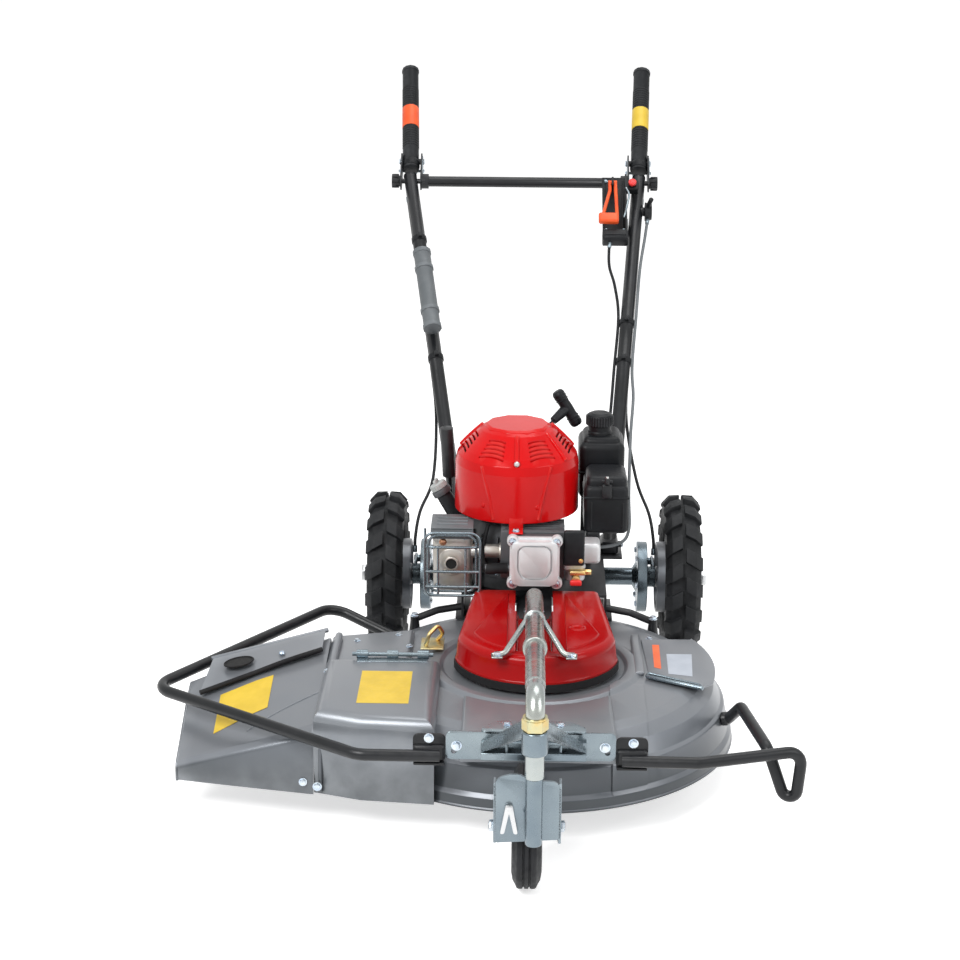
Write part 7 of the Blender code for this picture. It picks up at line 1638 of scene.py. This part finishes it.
def makeControlDetails():
    foot, top = armLine(1)
    along = (top - foot).normalized()
    place = Matrix.Translation((0, handleSet["y"], handleSet["z"])) @ Matrix.Rotation(
        math.atan2(along.z, along.y) - math.pi / 2, 4, "X")
    cover = block((0.1285, -0.0435, -0.1705), (0.1755, -0.0330, -0.1475), 0.0040, turn=place)
    rib = block((0.1300, -0.0452, -0.1640), (0.1740, -0.0425, -0.1600), 0.0010, turn=place)
    bead = [block((x, -0.0222, -0.1400), (x + 0.0030, -0.0195, -0.0080), 0.0010, turn=place)
        for x in (0.1300, 0.1660)]
    trim("control_panel", [cover, rib, *bead], "blackPlastic", "control_box")
    spots = [(place @ Vector((x, -0.0201, z)), place.to_3x3() @ -yAxis, 0.0032)
             for x, z in ((0.1350, -0.012), (0.1350, -0.134), (0.1700, -0.134))]
    link = [place @ Vector(point) for point in (
        (0.1745, -0.0355, -0.040), (0.1800, -0.0372, -0.058), (0.1772, -0.0372, -0.078),
        (0.1735, -0.0355, -0.096), (0.1700, -0.0300, -0.110))]
    rod = pipe(smoothPath(link, 5), 0.0022, 12)
    trim("control_link", [rod, heads(spots)], "zincPlate", "control_box")


makeGrips()
makeArmDetails()
makeCables()
makeControlDetails()
print("handle")

# Solids whose own shape is right: their edges are rounded and they get their finish
carried = {
    "softRubber": "drive_belt blade_belt",
    "zincPlate": "clutch_arm_left clutch_arm_right clutch_lever_left clutch_lever_right",
    "blackEnamel": "main_frame handle_arm_left handle_arm_right crossbar shift_lever",
    "castAlloy": "gearbox flywheel_fan",
    # The engine block takes the cast finish darkened as painted shade
    "castShaded": "engine_block",
    "brightSteel": "crankshaft blade_spindle blade drive_pulley drive_axle",
    "blackPlastic": "control_box upper_handle_left upper_handle_right throttle_lever",
    "greyPlastic": "tool_tube",
    "tyreRubber": "rear_tyre_left rear_tyre_right",
    "orangePlastic": "blade_lever",
    "redPlastic": "stop_button",
}
for look, held in carried.items():
    for node in held.split():
        carryOver(node, look)
print("carried over")


# Stage: pale floor and backdrop, soft lamps, and the photograph's viewing angle
stageSet = {
    "floorSize": 14.0, "floorDrop": 0.0004, "floorTone": 0.86, "floorRough": 0.9, "lift": 0.62,
    "worldLight": 0.42, "white": (1.0, 1.0, 1.0, 1.0), "lampAim": (0, -0.2, 0.3),
}


def seenDirectly(tree):
    rays = addNode(tree, "ShaderNodeLightPath").outputs
    first = addNode(
        tree, "ShaderNodeMath", {0: rays["Is Camera Ray"], 1: rays["Is Glossy Ray"]}, operation="MAXIMUM")
    return addNode(tree, "ShaderNodeMath", {
        0: first.outputs["Value"], 1: rays["Is Transmission Ray"]}, operation="MAXIMUM").outputs["Value"]


def makeFloor():
    bm = bmesh.new()
    bmesh.ops.create_grid(bm, x_segments=2, y_segments=2, size=stageSet["floorSize"])
    floor = shapeFrom(bm, atHeight(-stageSet["floorDrop"]))
    work.objects.unlink(floor)
    scene.collection.objects.link(floor)
    floor.name = "floor"
    material = bpy.data.materials.new("pale floor")
    material.use_nodes = True
    tree = material.node_tree
    shader = tree.nodes["Principled BSDF"]
    tone = stageSet["floorTone"]
    shader.inputs["Roughness"].default_value = stageSet["floorRough"]
    shader.inputs["Base Color"].default_value = (tone, tone, tone, 1)
    shader.inputs["Emission Color"].default_value = stageSet["white"]
    # What a ray sees directly is lifted to white
    tree.links.new(product(tree, seenDirectly(tree), stageSet["lift"]), shader.inputs["Emission Strength"])
    floor.data.materials.append(material)


def makeWorld():
    world = bpy.data.worlds.new("studio")
    scene.world = world
    world.use_nodes = True
    tree = world.node_tree
    background = tree.nodes["Background"]
    background.inputs["Color"].default_value = stageSet["white"]
    strength = spread(tree, seenDirectly(tree), (0.0, 1.0), stageSet["worldLight"])
    tree.links.new(strength, background.inputs["Strength"])


lamps = [
    {"name": "key", "at": (-1.7, -2.9, 3.0), "size": 1.7, "power": 118},
    {"name": "fill", "at": (2.8, -2.0, 2.2), "size": 2.0, "power": 40},
    {"name": "top", "at": (0.5, 0.5, 3.6), "size": 2.2, "power": 46},
]


def makeLamps():
    for lamp in lamps:
        light = bpy.data.lights.new(lamp["name"], "AREA")
        light.size, light.energy = lamp["size"], lamp["power"]
        made = bpy.data.objects.new(lamp["name"], light)
        scene.collection.objects.link(made)
        made.location = Vector(lamp["at"]) + shift
        aim = Vector(stageSet["lampAim"]) - Vector(lamp["at"])
        made.rotation_euler = aim.to_track_quat("-Z", "Y").to_euler()


cameraSet = {"at": (-0.0194, -3.9159, 1.5266), "yaw": 0.0203, "pitch": 0.2965, "roll": 0.0067, "lens": 85.13}


def makeCamera():
    yaw, pitch, roll = cameraSet["yaw"], cameraSet["pitch"], cameraSet["roll"]
    ahead = Vector((-math.sin(yaw) * math.cos(pitch), math.cos(yaw) * math.cos(pitch), -math.sin(pitch)))
    right = Vector((math.cos(yaw), math.sin(yaw), 0))
    up = right.cross(ahead)
    turnedRight = right * math.cos(roll) + up * math.sin(roll)
    turnedUp = up * math.cos(roll) - right * math.sin(roll)
    turn = Matrix((turnedRight, turnedUp, -ahead)).transposed()
    lens = bpy.data.cameras.new("photo")
    lens.lens, lens.sensor_width = cameraSet["lens"], 36.0
    lens.clip_end = 100
    made = bpy.data.objects.new("photo", lens)
    scene.collection.objects.link(made)
    made.matrix_world = Matrix.Translation(Vector(cameraSet["at"]) + shift) @ turn.to_4x4()
    scene.camera = made


makeFloor()
makeWorld()
makeLamps()
makeCamera()
scene.view_settings.view_transform = "Standard"

# Working shapes go before the frame is closed
for shape in list(work.all_objects):
    bpy.data.objects.remove(shape, do_unlink=True)
bpy.data.collections.remove(work)
